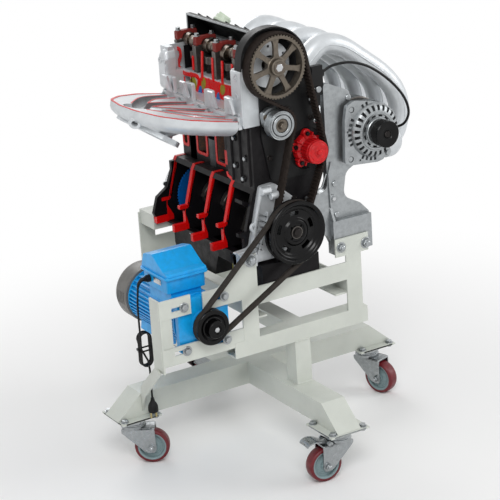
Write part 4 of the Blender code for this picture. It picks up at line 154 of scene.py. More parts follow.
# A finish: its record slot, its colour as a hex value or a name in EngineColours, the shade of its darker patches,
# patch and grain size and bump height in millimetres, and its roughness in smooth and in dull places. Its painted
# shade darkens it, by ambient occlusion, where surfaces meet; a tint takes the place of the patches' shade.
Recipe = namedtuple(
    "Recipe", "slot colour shade patch grain bump rough metallic specular coat grime tint stretch",
    defaults=(0.0, 0.5, 0.0, 0.0, None, (1, 1, 1)),
)
FINISHES = {
    # Powder-coated mild steel: a fine orange peel softens the highlights, and painted shade darkens the corners.
    "powder_coated_steel": Recipe("stand_paint", "stand", 0.93, 70, 1.3, 0.035, (0.38, 0.5), coat=0.08, grime=0.25),
    # Bright zinc-plated pressed steel: cloudy plating and small scratches.
    "zinc_plated_steel": Recipe("zinc", "#A9ADAF", 0.84, 9, 0.5, 0.02, (0.24, 0.42), metallic=1.0, grime=0.4),
    # Cast polyurethane: deep, slightly glossy red brown with scuffed patches.
    "polyurethane_tread": Recipe("tread", "tread", 0.7, 9, 0.8, 0.03, (0.3, 0.5)),
    # Moulded polyamide: even satin with a fine moulding grain.
    "polyamide_hub": Recipe("hub_plastic", "hubs", 0.9, 14, 0.5, 0.02, (0.42, 0.52), grime=0.4),
    # Enamelled cast iron: the sand casting's lumps show through glossy black paint.
    "enamelled_cast_iron": Recipe("black_paint", "block", 0.6, 16, 2.4, 0.2, (0.3, 0.5), specular=0.16),
    # Brush enamel on sawn faces: thick, glossy red with faint brush marks.
    "brush_enamel_red": Recipe("pump_red", "section", 0.86, 8, 0.9, 0.03, (0.26, 0.4), specular=0.25, coat=0.04),
    # Silver paint on cast aluminium: bright, a little metallic, over a sand-cast skin.
    "silver_painted_casting": Recipe("silver_paint", "casting", 0.9, 26, 1.5, 0.07, (0.3, 0.44), metallic=0.42,
        grime=0.5),
    # Die-cast aluminium: smoother and greyer than the painted castings.
    "die_cast_aluminium": Recipe("silver_paint", "#A4A8AA", 0.84, 9, 0.7, 0.03, (0.28, 0.42), metallic=0.85,
        grime=0.5),
    # Machined steel: fine turning marks that draw the highlight out.
    "machined_steel": Recipe("steel", "#C4C6C8", 0.93, 24, 0.5, 0.012, (0.16, 0.3), metallic=1.0, stretch=(1, 6, 1)),
    # Forged steel: grey brown scale with a coarse skin.
    "forged_steel": Recipe("steel", "#6B6763", 0.7, 8, 1.4, 0.08, (0.32, 0.5), metallic=0.9),
    # Ground cam steel: brownish, polished, still oily.
    "ground_cam_steel": Recipe("steel", "#6F665D", 0.75, 6, 0.6, 0.01, (0.26, 0.4), metallic=1.0),
    # Sintered steel: matt grey brown, pores in the surface.
    "sintered_steel": Recipe("sprocket", "#6E665C", 0.8, 7, 0.7, 0.04, (0.34, 0.5), metallic=0.8, grime=0.5),
    # Black oxide steel: dark, with a soft sheen on springs and bolt heads.
    "black_oxide_steel": Recipe("black_steel", "#2A2726", 0.7, 5, 0.6, 0.01, (0.26, 0.4), metallic=0.8),
    # Machined piston alloy with fine turning marks. Its grey is darkened with painted shade, since the pistons lie in
    # shade under the manifold.
    "turned_piston_alloy": Recipe("piston_alloy", "#4A4C4E", 0.75, 12, 0.4, 0.015, (0.38, 0.5), metallic=0.7,
        stretch=(6, 6, 1)),
    # Rusted water jacket: brown scale in an uneven crust.
    "rusted_jacket": Recipe("black_paint", "#33231A", 0.45, 6, 1.2, 0.3, (0.7, 0.9), tint="#5A3A24"),
    # Timing-belt rubber: dull brown black, dusty from the cloth facing.
    "cloth_faced_rubber": Recipe("belt_rubber", "#2C2623", 0.75, 9, 0.6, 0.03, (0.6, 0.75), specular=0.06),
    # V-belt rubber with a cloth wrap: lighter, dusty grey.
    "wrapped_belt_rubber": Recipe("belt_rubber", "#393532", 0.8, 12, 0.9, 0.05, (0.6, 0.78), specular=0.06),
    # Moulded black ABS: satin with a soft highlight.
    "moulded_abs": Recipe("black_paint", "#0F0F10", 0.8, 20, 0.7, 0.03, (0.36, 0.5), specular=0.25),
    # Gloss-painted steel pulley: deep black with sharp reflections.
    "gloss_black_steel": Recipe("black_steel", "#040405", 0.8, 18, 1.2, 0.015, (0.16, 0.28), specular=0.2),
    # Motor enamel on die-cast aluminium: bright blue, a little uneven where it is thick.
    "motor_enamel": Recipe("motor_blue", "motor", 0.86, 14, 1.1, 0.05, (0.28, 0.4), coat=0.15, grime=0.45),
    # Painted sheet steel of the fan cover: mid grey and smooth.
    "painted_sheet_steel": Recipe("fan_grey", "#6F6D6A", 0.85, 25, 0.8, 0.02, (0.36, 0.48), specular=0.3),
    # Red-lead primer on the bearing caps: flat brick red, chalky.
    "brick_primer": Recipe("cap_paint", "caps", 0.75, 6, 1.2, 0.08, (0.45, 0.62), specular=0.3, grime=0.4),
    # Gloss enamel on the pump's castings.
    "pump_enamel": Recipe("pump_red", "pump", 0.7, 9, 1.5, 0.08, (0.26, 0.4), specular=0.3, coat=0.03, grime=0.45),
    # Olive enamel: a mustard green, satin.
    "olive_enamel": Recipe("filter_olive", "filter", 0.8, 8, 1.0, 0.03, (0.32, 0.45)),
    # Blue enamel on small marked bits.
    "marking_enamel": Recipe("motor_blue", "bits", 0.85, 6, 0.9, 0.03, (0.3, 0.42)),
    # Dark green enamel on one coolant port.
    "coolant_enamel": Recipe("filter_olive", "#0F4632", 0.8, 6, 0.9, 0.03, (0.3, 0.42)),
    # Soft PVC: satin black sheath.
    "pvc_sheath": Recipe("cord_black", "#0B0B0C", 0.85, 30, 0.9, 0.01, (0.38, 0.48), specular=0.25),
    # Nickel-plated brass pins.
    "plated_brass": Recipe("zinc", "#C2B280", 0.85, 5, 0.4, 0.005, (0.2, 0.3), metallic=1.0),
    # Moulded pale green cap of the oil filler.
    "pale_cap_plastic": Recipe("stand_paint", "#CFDCC8", 0.92, 12, 0.6, 0.02, (0.36, 0.48)),
}


def add(tree, kind, settings=None, links=None):
    """Adds a shader node with its settings, and with the sockets, or nodes' first sockets, that feed it."""
    node = tree.nodes.new("ShaderNode" + kind)
    for key, value in (settings or {}).items():
        if isinstance(key, str) and hasattr(node, key):
            setattr(node, key, value)
        else:
            node.inputs[key].default_value = value
    for key, source in (links or {}).items():
        tree.links.new(source.outputs[0] if isinstance(source, bpy.types.Node) else source, node.inputs[key])
    return node


def cleared(owner):
    """The emptied node tree of a material or a world."""
    owner.use_nodes = True
    owner.node_tree.nodes.clear()
    return owner.node_tree


def finish(name):
    """The material of one finish, made at its first use."""
    made = bpy.data.materials.get(name)
    if made:
        return made
    recipe = FINISHES[name]
    made = bpy.data.materials.new(name)
    tree = cleared(made)
    code = recipe.colour
    base = linear(code) if code.startswith("#") else tuple(getattr(bpy.context.scene.engine_colours, code))
    dark = linear(recipe.tint) if recipe.tint else tuple(v * recipe.shade for v in base)
    place = add(tree, "TexCoord")
    # Object coordinates are metres, so a scale of 1000 turns them to millimetres.
    in_mm = add(tree, "Mapping", {"Scale": [1000 / s for s in recipe.stretch]}, {"Vector": place.outputs["Object"]})
    patches = add(tree, "TexNoise", {"Scale": 1 / recipe.patch, "Detail": 4.0, "Roughness": 0.6},
                  {"Vector": in_mm})
    grain = add(tree, "TexNoise", {"Scale": 1 / recipe.grain, "Detail": 2.0}, {"Vector": in_mm})
    spread = add(tree, "MapRange", {"From Min": 0.38, "From Max": 0.64}, {"Value": patches})
    mixed = add(tree, "Mix", {"data_type": "RGBA", 6: (*base, 1), 7: (*dark, 1)}, {0: spread})
    shown = mixed.outputs[2]
    # Painted shade: ambient occlusion darkens the colour where surfaces meet
    if recipe.grime:
        shown = paint_shade_in_corners(tree, shown, tuple(v * 0.35 for v in dark), recipe.grime)
    smooth, dull = recipe.rough
    gloss = add(tree, "MapRange", {"From Min": 0.35, "From Max": 0.65, "To Min": smooth, "To Max": dull},
                {"Value": patches})
    bump = add(tree, "Bump", {"Strength": 1.0, "Distance": recipe.bump / 1000}, {"Height": grain})
    shader = add(tree, "BsdfPrincipled",
                 {"Metallic": recipe.metallic, "Coat Weight": recipe.coat, "Coat Roughness": 0.12,
                  "Specular IOR Level": recipe.specular},
                 {"Base Color": shown, "Roughness": gloss, "Normal": bump})
    add(tree, "OutputMaterial", None, {"Surface": shader})
    return made


def paint_shade_in_corners(tree, shown, shade_colour, strength):
    """Paints shade into the colour where surfaces meet within 7 mm, by ambient occlusion."""
    reach = add(tree, "AmbientOcclusion", {"samples": 4, "Distance": 0.007})
    depth = add(tree, "MapRange", {"From Min": 0.25, "From Max": 0.8, "To Min": strength, "To Max": 0.0},
                {"Value": reach.outputs["AO"]})
    return add(tree, "Mix", {"data_type": "RGBA", 7: (*shade_colour, 1)}, {0: depth, 6: shown}).outputs[2]


def linked(name, data):
    """A new object of the scene that holds this mesh, curve, lamp or camera."""
    obj = bpy.data.objects.new(name, data)
    bpy.context.scene.collection.objects.link(obj)
    return obj


def solid(bm):
    """A loose object that holds this shape."""
    bmesh.ops.recalc_face_normals(bm, faces=bm.faces[:])
    mesh = bpy.data.meshes.new("shape")
    bm.to_mesh(mesh)
    bm.free()
    return linked("shape", mesh)


def point(axis, a, b, c):
    """The point whose outline coordinates are a, b and whose place along the axis is c."""
    if axis == "X":
        return (c, a, b)
    if axis == "Y":
        return (a, c, b)
    return (a, b, c)


def skin(rings, closed=False):
    """A solid through rings of points, capped at both ends, or joined end to end where closed."""
    bm = bmesh.new()
    made = [[bm.verts.new(p) for p in ring] for ring in rings]
    pairs = list(zip(made, made[1:] + made[:1])) if closed else list(zip(made, made[1:]))
    for here, there in pairs:
        count = max(len(here), len(there))
        for i in range(count):
            j = (i + 1) % count
            corner = [here[i % len(here)], here[j % len(here)], there[j % len(there)], there[i % len(there)]]
            corner = list(dict.fromkeys(corner))
            if len(corner) > 2:
                bm.faces.new(corner)
    if not closed:
        for end in (made[0], made[-1]):
            if len(end) > 2:
                bm.faces.new(end)
    return solid(bm)


def prism(axis, outline, low, high):
    """An outline drawn across an axis and drawn out along it from low to high."""
    return skin([[point(axis, a, b, level) for a, b in outline] for level in (low, high)])


def pane(a0, a1, b0, b1):
    """The four corners of an upright rectangle."""
    return [(a0, b0), (a1, b0), (a1, b1), (a0, b1)]


def box(x0, x1, y0, y1, z0, z1):
    return prism("Z", pane(x0, x1, y0, y1), z0, z1)


def turns(count, start=0.0):
    """Evenly shared turns of a full circle in radians, from a start in degrees."""
    return [radians(start) + 2 * pi * i / count for i in range(count)]


def around(a, b, radius, turn):
    """The point at this turn on a circle round a, b."""
    return a + radius * cos(turn), b + radius * sin(turn)


def circle(a, b, radius, sides=64, start=0.0):
    return [around(a, b, radius, turn) for turn in turns(sides, start)]


def rod(axis, a, b, radius, low, high, sides=48):
    return prism(axis, circle(a, b, radius, sides), low, high)


def turned(axis, a, b, profile, sides=64):
    """A closed profile of (radius, place along the axis), turned about the axis through a, b."""
    rings = []
    for radius, along in profile:
        ring = [(a, b)] if radius == 0 else circle(a, b, radius, sides)
        rings.append([point(axis, p, q, along) for p, q in ring])
    hollow = profile[0][0] > 0 or profile[-1][0] > 0
    return skin(rings, closed=hollow)


def mirrored(half):
    """The whole profile of a piece that is the same on both sides of zero."""
    return half + [(radius, -along) for radius, along in reversed(half)]


def rounded(outline, radius, steps=5):
    """The outline with each corner rounded, by no more than its shorter side allows."""
    points = []
    count = len(outline)
    for i in range(count):
        here = Vector(outline[i])
        back, ahead = Vector(outline[i - 1]) - here, Vector(outline[(i + 1) % count]) - here
        r = radius[i] if isinstance(radius, (list, tuple)) else radius
        angle = back.angle(ahead, pi)
        if r <= 0 or angle > radians(172):
            points.append(tuple(here))
            continue
        reach = min(r / tan(angle / 2), back.length * 0.48, ahead.length * 0.48)
        start, end = here + back.normalized() * reach, here + ahead.normalized() * reach
        for k in range(steps + 1):
            t = k / steps
            points.append(tuple(start * (1 - t) ** 2 + here * (2 * t * (1 - t)) + end * t ** 2))
    return points


def smooth_path(points, count):
    """Evenly shared points on a smooth curve through the given ones."""
    knots = [Vector(points[0])] + [Vector(p) for p in points] + [Vector(points[-1])]
    dense = []
    steps = 16
    for i in range(1, len(knots) - 2):
        p0, p1, p2, p3 = knots[i - 1: i + 3]
        for s in range(steps):
            t = s / steps
            dense.append(
                (p1 * 2 + (p2 - p0) * t + (p0 * 2 - p1 * 5 + p2 * 4 - p3) * t * t
                 + (p1 * 3 - p0 - p2 * 3 + p3) * t ** 3) / 2
            )
    dense.append(knots[-2])
    way = [0.0]
    for here, there in zip(dense, dense[1:]):
        way.append(way[-1] + (there - here).length)
    wanted = np.linspace(0, way[-1], count)
    columns = [np.interp(wanted, way, [p[k] for p in dense]) for k in range(3)]
    return [Vector(row) for row in zip(*columns)]


def smooth_line(points, count):
    """The same for points on a flat face."""
    return [tuple(p)[:2] for p in smooth_path([(a, b, 0) for a, b in points], count)]


def tube(points, radius, sides=24):
    """A round tube through the points, with one radius or one for each point."""
    path = [Vector(p) for p in points]
    radii = radius if isinstance(radius, list) else [radius] * len(path)
    side = None
    rings = []
    for i, here in enumerate(path):
        along = (path[min(i + 1, len(path) - 1)] - path[max(i - 1, 0)]).normalized()
        side = side or along.orthogonal().normalized()
        side = (side - along * side.dot(along)).normalized()
        other = along.cross(side)
        rings.append([here + (side * cos(turn) + other * sin(turn)) * radii[i] for turn in turns(sides)])
    return skin(rings)


def band(points, width, low, high, axis="Y"):
    """A flat strip of the given width along an open line of (a, b), drawn out along the axis."""
    path = [Vector(p) for p in points]
    steps = [(there - here).normalized() for here, there in zip(path, path[1:])]
    left, right = [], []
    for here, before, after in zip(path, steps[:1] + steps, steps + steps[-1:]):
        along = (before + after).normalized()
        out = Vector((-along.y, along.x)) * width / 2 / max(0.45, along.dot(after))
        left.append(tuple(here + out))
        right.append(tuple(here - out))
    return prism(axis, left + right[::-1], low, high)


def cut(target, *tools):
    """Cuts the tools' shapes out of the target."""
    for tool in tools:
        modifier = target.modifiers.new("cut", "BOOLEAN")
        modifier.operation = "DIFFERENCE"
        modifier.solver = "EXACT"
        modifier.object = tool
    graph = bpy.context.evaluated_depsgraph_get()
    mesh = bpy.data.meshes.new_from_object(target.evaluated_get(graph))
    target.modifiers.clear()
    target.data = mesh
    for tool in tools:
        bpy.data.objects.remove(tool)
    if not mesh.polygons:
        raise RuntimeError("a cut left nothing")
    return target


def merged(target, *others):
    """Puts closed shapes that lie against or into each other in one object, as they are."""
    bm = bmesh.new()
    for obj in (target, *others):
        bm.from_mesh(obj.data)
    bm.to_mesh(target.data)
    bm.free()
    for obj in others:
        bpy.data.objects.remove(obj)
    return target


def moved(obj, matrix):
    obj.data.transform(matrix)
    if matrix.determinant() < 0:
        obj.data.flip_normals()
    return obj


def turned_by(obj, degrees, axis="Z", about=(0, 0, 0)):
    shift = Matrix.Translation(about)
    return moved(obj, shift @ Matrix.Rotation(radians(degrees), 4, axis) @ shift.inverted())


def aimed(obj, place, direction):
    """Moves a shape that was drawn up +Z from zero, so that it starts at the place and points along the direction."""
    turn = Vector((0, 0, 1)).rotation_difference(Vector(direction)).to_matrix().to_4x4()
    return moved(obj, Matrix.Translation(place) @ turn)


def hex_bolt(place, direction, across=13.0, height=6.0, washer=0.0, domed=False):
    """A hexagon head with its washer, standing on the place, with the thread's end on a domed one."""
    radius = across / sqrt(3)
    lift = 1.6 if washer else 0.0
    levels = ((1.0, lift), (1.0, lift + height * 0.82), (0.86, lift + height))
    shapes = [skin([[(a, b, z) for a, b in circle(0, 0, radius * share, 6)] for share, z in levels])]
    if domed:
        shapes.append(turned("Z", 0, 0, [
            (0, lift), (radius * 0.6, lift), (radius * 0.6, lift + height + 2), (radius * 0.4, lift + height + 3.2),
            (0, lift + height + 3.2)], 20))
    if washer:
        shapes.append(turned("Z", 0, 0, [(0, 0), (washer, 0), (washer, 1.2), (washer - 0.5, 1.6), (0, 1.6)], 32))
    return aimed(merged(*shapes), place, direction)


def weld_bead(points, radius=2.2):
    """A rippled bead of weld along a line of points."""
    path = [Vector(p) for p in points]
    fine = []
    for here, there in zip(path, path[1:]):
        steps = max(2, int((there - here).length / 1.5))
        fine += [here.lerp(there, i / steps) for i in range(steps)]
    fine.append(path[-1])
    radii = [radius * (0.86 + 0.14 * sin(2.1 * i) + 0.08 * noise.noise(p * 0.3)) for i, p in enumerate(fine)]
    return tube(fine, radii, 10)


def fine_edges(obj, bevel):
    """Rounds the sharp edges by this many millimetres, so that they catch the light."""
    if bevel:
        edge = obj.modifiers.new("edges", "BEVEL")
        edge.width = bevel / 1000
        edge.segments = 2
        edge.limit_method = "ANGLE"
        edge.angle_limit = radians(40)
        edge.harden_normals = True


def piece(name, shapes, finishes, body="stand", replaces=(), bevel=0.0, sharp=35.0, rule=None):
    """Joins and finishes shapes, moves them into the part's frame and makes them ride on their body.

    finishes is one name, or several with a rule that picks one from a face's centre and normal.
    """
    names = [finishes] if isinstance(finishes, str) else list(finishes)
    obj = merged(*shapes) if isinstance(shapes, list) else shapes
    mesh = obj.data
    obj.name = mesh.name = name
    mesh.materials.clear()
    for each in names:
        mesh.materials.append(finish(each))
    for face in mesh.polygons:
        face.material_index = rule(face.center, face.normal) if rule else 0
    mesh.transform(TO_PART)
    mesh.shade_smooth()
    mesh.set_sharp_from_angle(angle=radians(sharp))
    fine_edges(obj, bevel)
    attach(obj, body)
    if replaces:
        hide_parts(*([replaces] if isinstance(replaces, str) else replaces))
    return obj


def dress(node, finish_name, bevel=0.0):
    """Gives a node of the frame its finish and fine edges."""
    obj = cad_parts[node]
    for slot in obj.material_slots:
        slot.material = finish(finish_name)
    fine_edges(obj, bevel)


# The camera that took the photograph, and the light
VIEW_AZIMUTH, VIEW_ELEVATION, VIEW_ROLL = -30.5, 19.4, -3.74
VIEW_PLACE = (-2.0516, -3.4663, 1.8634)
VIEW_LENS = 135.6
LAMPS = (
    # name, place, width, power in watts
    ("key", (-1.5, -2.6, 2.9), 1.6, 62.0),
    ("fill", (2.8, -1.6, 1.6), 1.8, 26.0),
    ("back", (0.6, 2.9, 2.4), 1.8, 30.0),
)
AMBIENT = 0.52
FLOOR_RADIUS = 6.0


class ENGINE_OT_stage(bpy.types.Operator):
    """Makes the camera, the pale floor, the white background and the lamps"""
    bl_idname = "engine.stage"
    bl_label = "Stage"

    def execute(self, context):
        scene = context.scene
        scene.view_settings.view_transform = "Standard"
        add_camera(scene)
        add_floor()
        add_world(scene)
        for name, place, width, power in LAMPS:
            lamp = bpy.data.lights.new(name, "AREA")
            lamp.shape = "DISK"
            lamp.size = width
            lamp.energy = power
            obj = linked(name, lamp)
            obj.location = place
            aim = Vector((0, 0, 0.5)) - Vector(place)
            obj.rotation_euler = aim.to_track_quat("-Z", "Y").to_euler()
        return {"FINISHED"}


def add_camera(scene):
    a, e, r = (radians(v) for v in (VIEW_AZIMUTH, VIEW_ELEVATION, VIEW_ROLL))
    back = Vector((sin(a) * cos(e), -cos(a) * cos(e), sin(e)))
    right = Vector((cos(a), sin(a), 0))
    up = back.cross(right)
    rows = [right * cos(r) + up * sin(r), up * cos(r) - right * sin(r), back]
    data = bpy.data.cameras.new("camera")
    data.lens = VIEW_LENS
    data.sensor_width = 36.0
    scene.camera = linked("camera", data)
    scene.camera.matrix_world = Matrix.Translation(VIEW_PLACE) @ Matrix(rows).transposed().to_4x4()


def seen_by_eye(tree):
    """1 for rays that show the background itself, in the picture, in a reflection or through glass."""
    rays = add(tree, "LightPath")
    shown = rays.outputs["Is Camera Ray"]
    for other in ("Is Glossy Ray", "Is Transmission Ray"):
        shown = add(tree, "Math", {"operation": "MAXIMUM"}, {0: shown, 1: rays.outputs[other]})
    return shown


def add_floor():
    bm = bmesh.new()
    bm.faces.new([bm.verts.new((a, b, 0)) for a, b in circle(0, 0, FLOOR_RADIUS, 96)])
    obj = solid(bm)
    obj.name = "floor"
    made = bpy.data.materials.new("pale_floor")
    tree = cleared(made)
    place = add(tree, "TexCoord")
    away = add(tree, "VectorMath", {"operation": "LENGTH"}, {0: place.outputs["Object"]})
    far = add(tree, "MapRange", {"interpolation_type": "SMOOTHSTEP", "From Min": 0.5, "From Max": 1.5},
              {"Value": away.outputs["Value"]})
    share = add(tree, "Math", {"operation": "MULTIPLY"}, {0: far, 1: seen_by_eye(tree)})
    near = add(tree, "BsdfDiffuse", {"Color": (0.9, 0.9, 0.9, 1)})
    white = add(tree, "Emission", {"Strength": 1.0})
    both = add(tree, "MixShader", None, {0: share, 1: near, 2: white})
    add(tree, "OutputMaterial", None, {"Surface": both})
    obj.data.materials.append(made)


def add_world(scene):
    scene.world = bpy.data.worlds.new("studio")
    tree = cleared(scene.world)
    level = add(tree, "MapRange", {"To Min": AMBIENT, "To Max": 1.0}, {"Value": seen_by_eye(tree)})
    sky = add(tree, "Background", {"Color": (1, 1, 1, 1)}, {"Strength": level})
    add(tree, "OutputWorld", None, {"Surface": sky})


# Route of the mains lead, in metres in the engine's frame, as the frame's solids have it
GLAND_TIP_X, GLAND_Y, GLAND_Z = -0.2973, 0.070, 0.4633
LEAD_RADIUS = 0.00225
HANK_X, HANK_Y, HANK_HIGH = -0.302, 0.086, 0.335
HANK_TURNS, HANK_POINTS = 3, 48
HANK_FOLD, HANK_RUN, HANK_STEP = 0.0138, 0.050, 0.0054
TAIL_LOW = 0.176
TOUCH = 0.0003
# The plug, in millimetres
PLUG_NECK, PLUG_LENGTH = 5.0, 34.0


class ENGINE_OT_cord(bpy.types.Operator):
    """Makes the mains lead with its gland, strain relief, hank, tie and plug"""
    bl_idname = "engine.cord"
    bl_label = "Mains lead"

    def execute(self, context):
        radius = sizes()["cord"] / 2
        route = lead_route()
        # TO_PART's move, for a route in metres
        shift = Vector((-0.010, -0.118, 0.0))
        curve = bpy.data.curves.new("mains_lead", "CURVE")
        curve.dimensions = "3D"
        curve.bevel_depth = radius / 1000
        curve.bevel_resolution = 6
        curve.use_fill_caps = True
        spline = curve.splines.new("POLY")
        spline.points.add(len(route) - 1)
        for knot, place in zip(spline.points, route):
            knot.co = (*(place + shift), 1.0)
        curve.materials.append(finish("pvc_sheath"))
        cord = linked("mains_lead", curve)
        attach(cord, "stand")
        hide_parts("cord_lead", "cord_hank")
        in_mm = [p * 1000 for p in route]
        relief = make_strain_relief(in_mm, radius)
        tie = make_tie(radius)
        plug = make_plug(in_mm[-1])
        make_gland(radius)
        return {"FINISHED"}


def lead_route():
    """From the gland out, down and into the hank, in metres."""
    tip, r = GLAND_TIP_X - TOUCH, LEAD_RADIUS
    hank = [Vector(p) for p in hank_route()]
    x, y, z = hank[0]
    drop = [(tip, GLAND_Y, GLAND_Z), (tip - r * 3, GLAND_Y, GLAND_Z), (tip - r * 7, GLAND_Y, GLAND_Z - r * 4),
            (x, GLAND_Y + (y - GLAND_Y) / 3, GLAND_Z - r * 14), (x, y, GLAND_Z - r * 30), (x, y, z + r * 6),
            (x, y, z + TOUCH)]
    return smooth_path(drop, 40)[:-1] + hank


def hank_route():
    """Long loops that hang in one plane and step along Y, then the tail that drops to the plug."""
    count = HANK_TURNS * HANK_POINTS
    half_run, fold = HANK_RUN / 2, pi * HANK_FOLD
    middle_z = HANK_HIGH - half_run - HANK_FOLD
    points = []
    for i in range(count + 1):
        share = i / count * HANK_TURNS
        way = share % 1.0 * 2 * (HANK_RUN + fold)
        # Down one side and round the lower fold, then up the other and round the upper one
        side = -1 if way < HANK_RUN + fold else 1
        if side > 0:
            way -= HANK_RUN + fold
        turn = max(0.0, way - HANK_RUN) / HANK_FOLD
        points.append((
            HANK_X + side * HANK_FOLD * cos(turn),
            HANK_Y + HANK_STEP * (share - HANK_TURNS / 2),
            middle_z + side * (min(way, HANK_RUN) - half_run + HANK_FOLD * sin(turn)),
        ))
    x, y, z = points[-1]
    drop = TAIL_LOW - PLUG_NECK / 1000 - z
    for share in (0.12, 0.25, 0.40, 0.55, 0.70, 0.85, 1.0):
        early = min(1.0, share * 2)
        ease = early ** 2 * (3 - 2 * early)
        points.append((x + 2 * HANK_FOLD * ease, y + HANK_STEP * ease, z + drop * share))
    return points


def make_strain_relief(route, radius):
    """A ribbed sleeve that tapers along the lead's first 26 mm."""
    path = [route[0]]
    way = 0.0
    for here, there in zip(route, route[1:]):
        way += (there - here).length
        path.append(there)
        if way > 26:
            break
    shares = [i / 39 for i in range(40)]
    ribs = [0.35 if i % 4 < 2 and share < 0.85 else 0.0 for i, share in enumerate(shares)]
    radii = [radius + 0.35 + 2.0 * (1 - share) + rib for share, rib in zip(shares, ribs)]
    return piece("strain_relief", tube(smooth_path(path, 40), radii, 20), "pvc_sheath")


def make_tie(radius):
    """A cable tie round the hank's waist, with its head."""
    loose = radius + 1.2
    deep, half = HANK_STEP * HANK_TURNS * 500 + loose, HANK_FOLD * 1000 + loose
    x, z = HANK_X * 1000, (HANK_HIGH - HANK_RUN / 2 - HANK_FOLD) * 1000
    y0, y1 = HANK_Y * 1000 - deep, HANK_Y * 1000 + deep
    outer = rounded(pane(x - half, x + half, y0, y1), 3, 6)
    inner = rounded(pane(x - half + 1, x + half - 1, y0 + 1, y1 - 1), 2.4, 6)
    strap = cut(prism("Z", outer, z - 2, z + 2), prism("Z", inner, z - 3, z + 3))
    head = box(x - half - 2.5, x - half + 1, y0 + 4, y0 + 10, z - 3.2, z + 3.2)
    return piece("hank_tie", [strap, head], "pvc_sheath", bevel=0.4)


def make_plug(end):
    """A round two-pin plug that hangs from the lead's end."""
    x, y, z = end
    z -= 0.3
    low = z - PLUG_LENGTH
    shape = turned("Z", x, y, [
        (0, z), (3.4, z), (3.8, z - 1), (3.6, z - 3), (4.4, z - 4), (4.2, z - 6), (5.0, z - 7), (5.4, z - 9),
        (8.6, z - 14), (10.8, z - 19), (11.4, z - 24), (11.4, low + 1.5), (10.6, low), (0, low),
    ], 40)
    cap = piece("mains_plug", shape, "pvc_sheath", replaces="cord_plug")
    pin = [(0, low), (2.3, low), (2.3, low - 13), (1.2, low - 14.8), (0, low - 14.8)]
    piece("mains_plug_pins", [turned("Z", x + side, y, pin, 20) for side in (-6.5, 6.5)], "plated_brass")
    return cap


def make_gland(radius):
    tip, wall = (corner.x for corner in corners("cord_gland"))
    y, z = GLAND_Y * 1000, GLAND_Z * 1000
    base = turned("X", y, z, [(0, wall), (8.4, wall), (8.4, wall - 2), (6.6, wall - 3), (6.6, tip + 1),
                              (radius + 2.2, tip), (0, tip)], 32)
    nut = prism("X", circle(y, z, 8.2, 6), wall - 8, wall - 3.5)
    piece("gland", [base, nut], "pvc_sheath", replaces="cord_gland", bevel=0.4)


# Bolts in the front plane of the stand, (x, z, across flats, washer radius)
STAND_BOLTS = ((131, 469, 15, 12), (197, 465, 17, 13), (-104, 495, 19, 15))
POST_X = (-3, 37)


class ENGINE_OT_stand(bpy.types.Operator):
    """Gives the stand its powder coat, weld beads and bolts"""
    bl_idname = "engine.stand"
    bl_label = "Stand"

    def execute(self, context):
        for node in ("base_cross", "front_frame", "rear_frame", "motor_bracket"):
            dress(node, "powder_coated_steel", 1.0)
        dress("front_support_block", "enamelled_cast_iron", 1.5)
        make_weld_beads()
        make_stand_bolts()
        return {"FINISHED"}


def make_weld_beads():
    """Beads round the posts' feet, along the gussets and where the front frame's bars meet."""
    x0, x1 = POST_X
    lines = []
    for y0, y1 in ((FRAME_FRONT, FRAME_FRONT + 40), (360, 400)):
        for z in (175.6, 277.6):
            loop = [(x0, y0, z), (x1, y0, z), (x1, y1, z), (x0, y1, z), (x0, y0, z)]
            lines += zip(loop, loop[1:])
    lines += [((x, y, 121), (x, y, 174)) for x in (-20, 40) for y in (127, 187)]
    lines += [((x0, y, 315.5), (x1, y, 315.5)) for x0, x1 in ((-132, -92), (143, 183)) for y in (-53.5, 395.5)]
    beads = [weld_bead(line) for line in lines]
    beads += [weld_bead([(-335, -53.5, high), (-335, -53.5, low)], 1.8) for high, low in ((345, 306), (455, 413))]
    piece("weld_beads", beads, "powder_coated_steel", sharp=80)


def make_stand_bolts():
    y = FRAME_FRONT - 0.1
    heads = [hex_bolt((x, y, z), FORWARD, across, across * 0.42, washer, True)
             for x, z, across, washer in STAND_BOLTS]
    heads += [hex_bolt((MOTOR[0] + i * 50, y, MOTOR[1] + k * 50), FORWARD, 13, 5.5, 11) for i, k in CORNERS]
    heads += [hex_bolt((x, 400.1, 487), BACK, 15, 6, 12) for x in (-104, 104)]
    piece("stand_bolts", heads, "zinc_plated_steel")


# Swivel axes (X, Y) and the way each wheel trails, in degrees from +X
CASTERS = {"left": (-313, 157, -34), "front": (10, -194, 176), "right": (333, 157, -72), "rear": (10, 430, 20)}
TRAIL, AXLE_HEIGHT = 40.0, 40.0
EAR = (34, 91.2)
PLATE_LOW, PLATE_HIGH = 116.8, 121.2
LEG = ((-26, 89), (-26, 80), (24, 32), (32, 28), (46, 28), (51, 36), (50, 60), (49, 89))
# Cross sections of the pedal: (x, middle height, half width)
PEDAL = ((30, 91.5, 14), (44, 95.5, 14), (56, 100.5, 19), (70, 103, 20), (82, 100.5, 20), (87, 95, 19))


class ENGINE_OT_casters(bpy.types.Operator):
    """Makes the four casters: plates, forks, axles, hubs, treads and the brake pedal"""
    bl_idname = "engine.casters"
    bl_label = "Casters"

    def execute(self, context):
        for where, (x, y, degrees) in CASTERS.items():
            turn = Matrix.Translation((x, y, 0)) @ Matrix.Rotation(radians(degrees), 4, "Z")
            make_caster_plate(where, x, y)
            make_caster_fork(where, turn)
            make_caster_wheel(where, turn)
        x, y, degrees = CASTERS["front"]
        make_pedal(Matrix.Translation((x, y, 0)) @ Matrix.Rotation(radians(degrees), 4, "Z"))
        return {"FINISHED"}


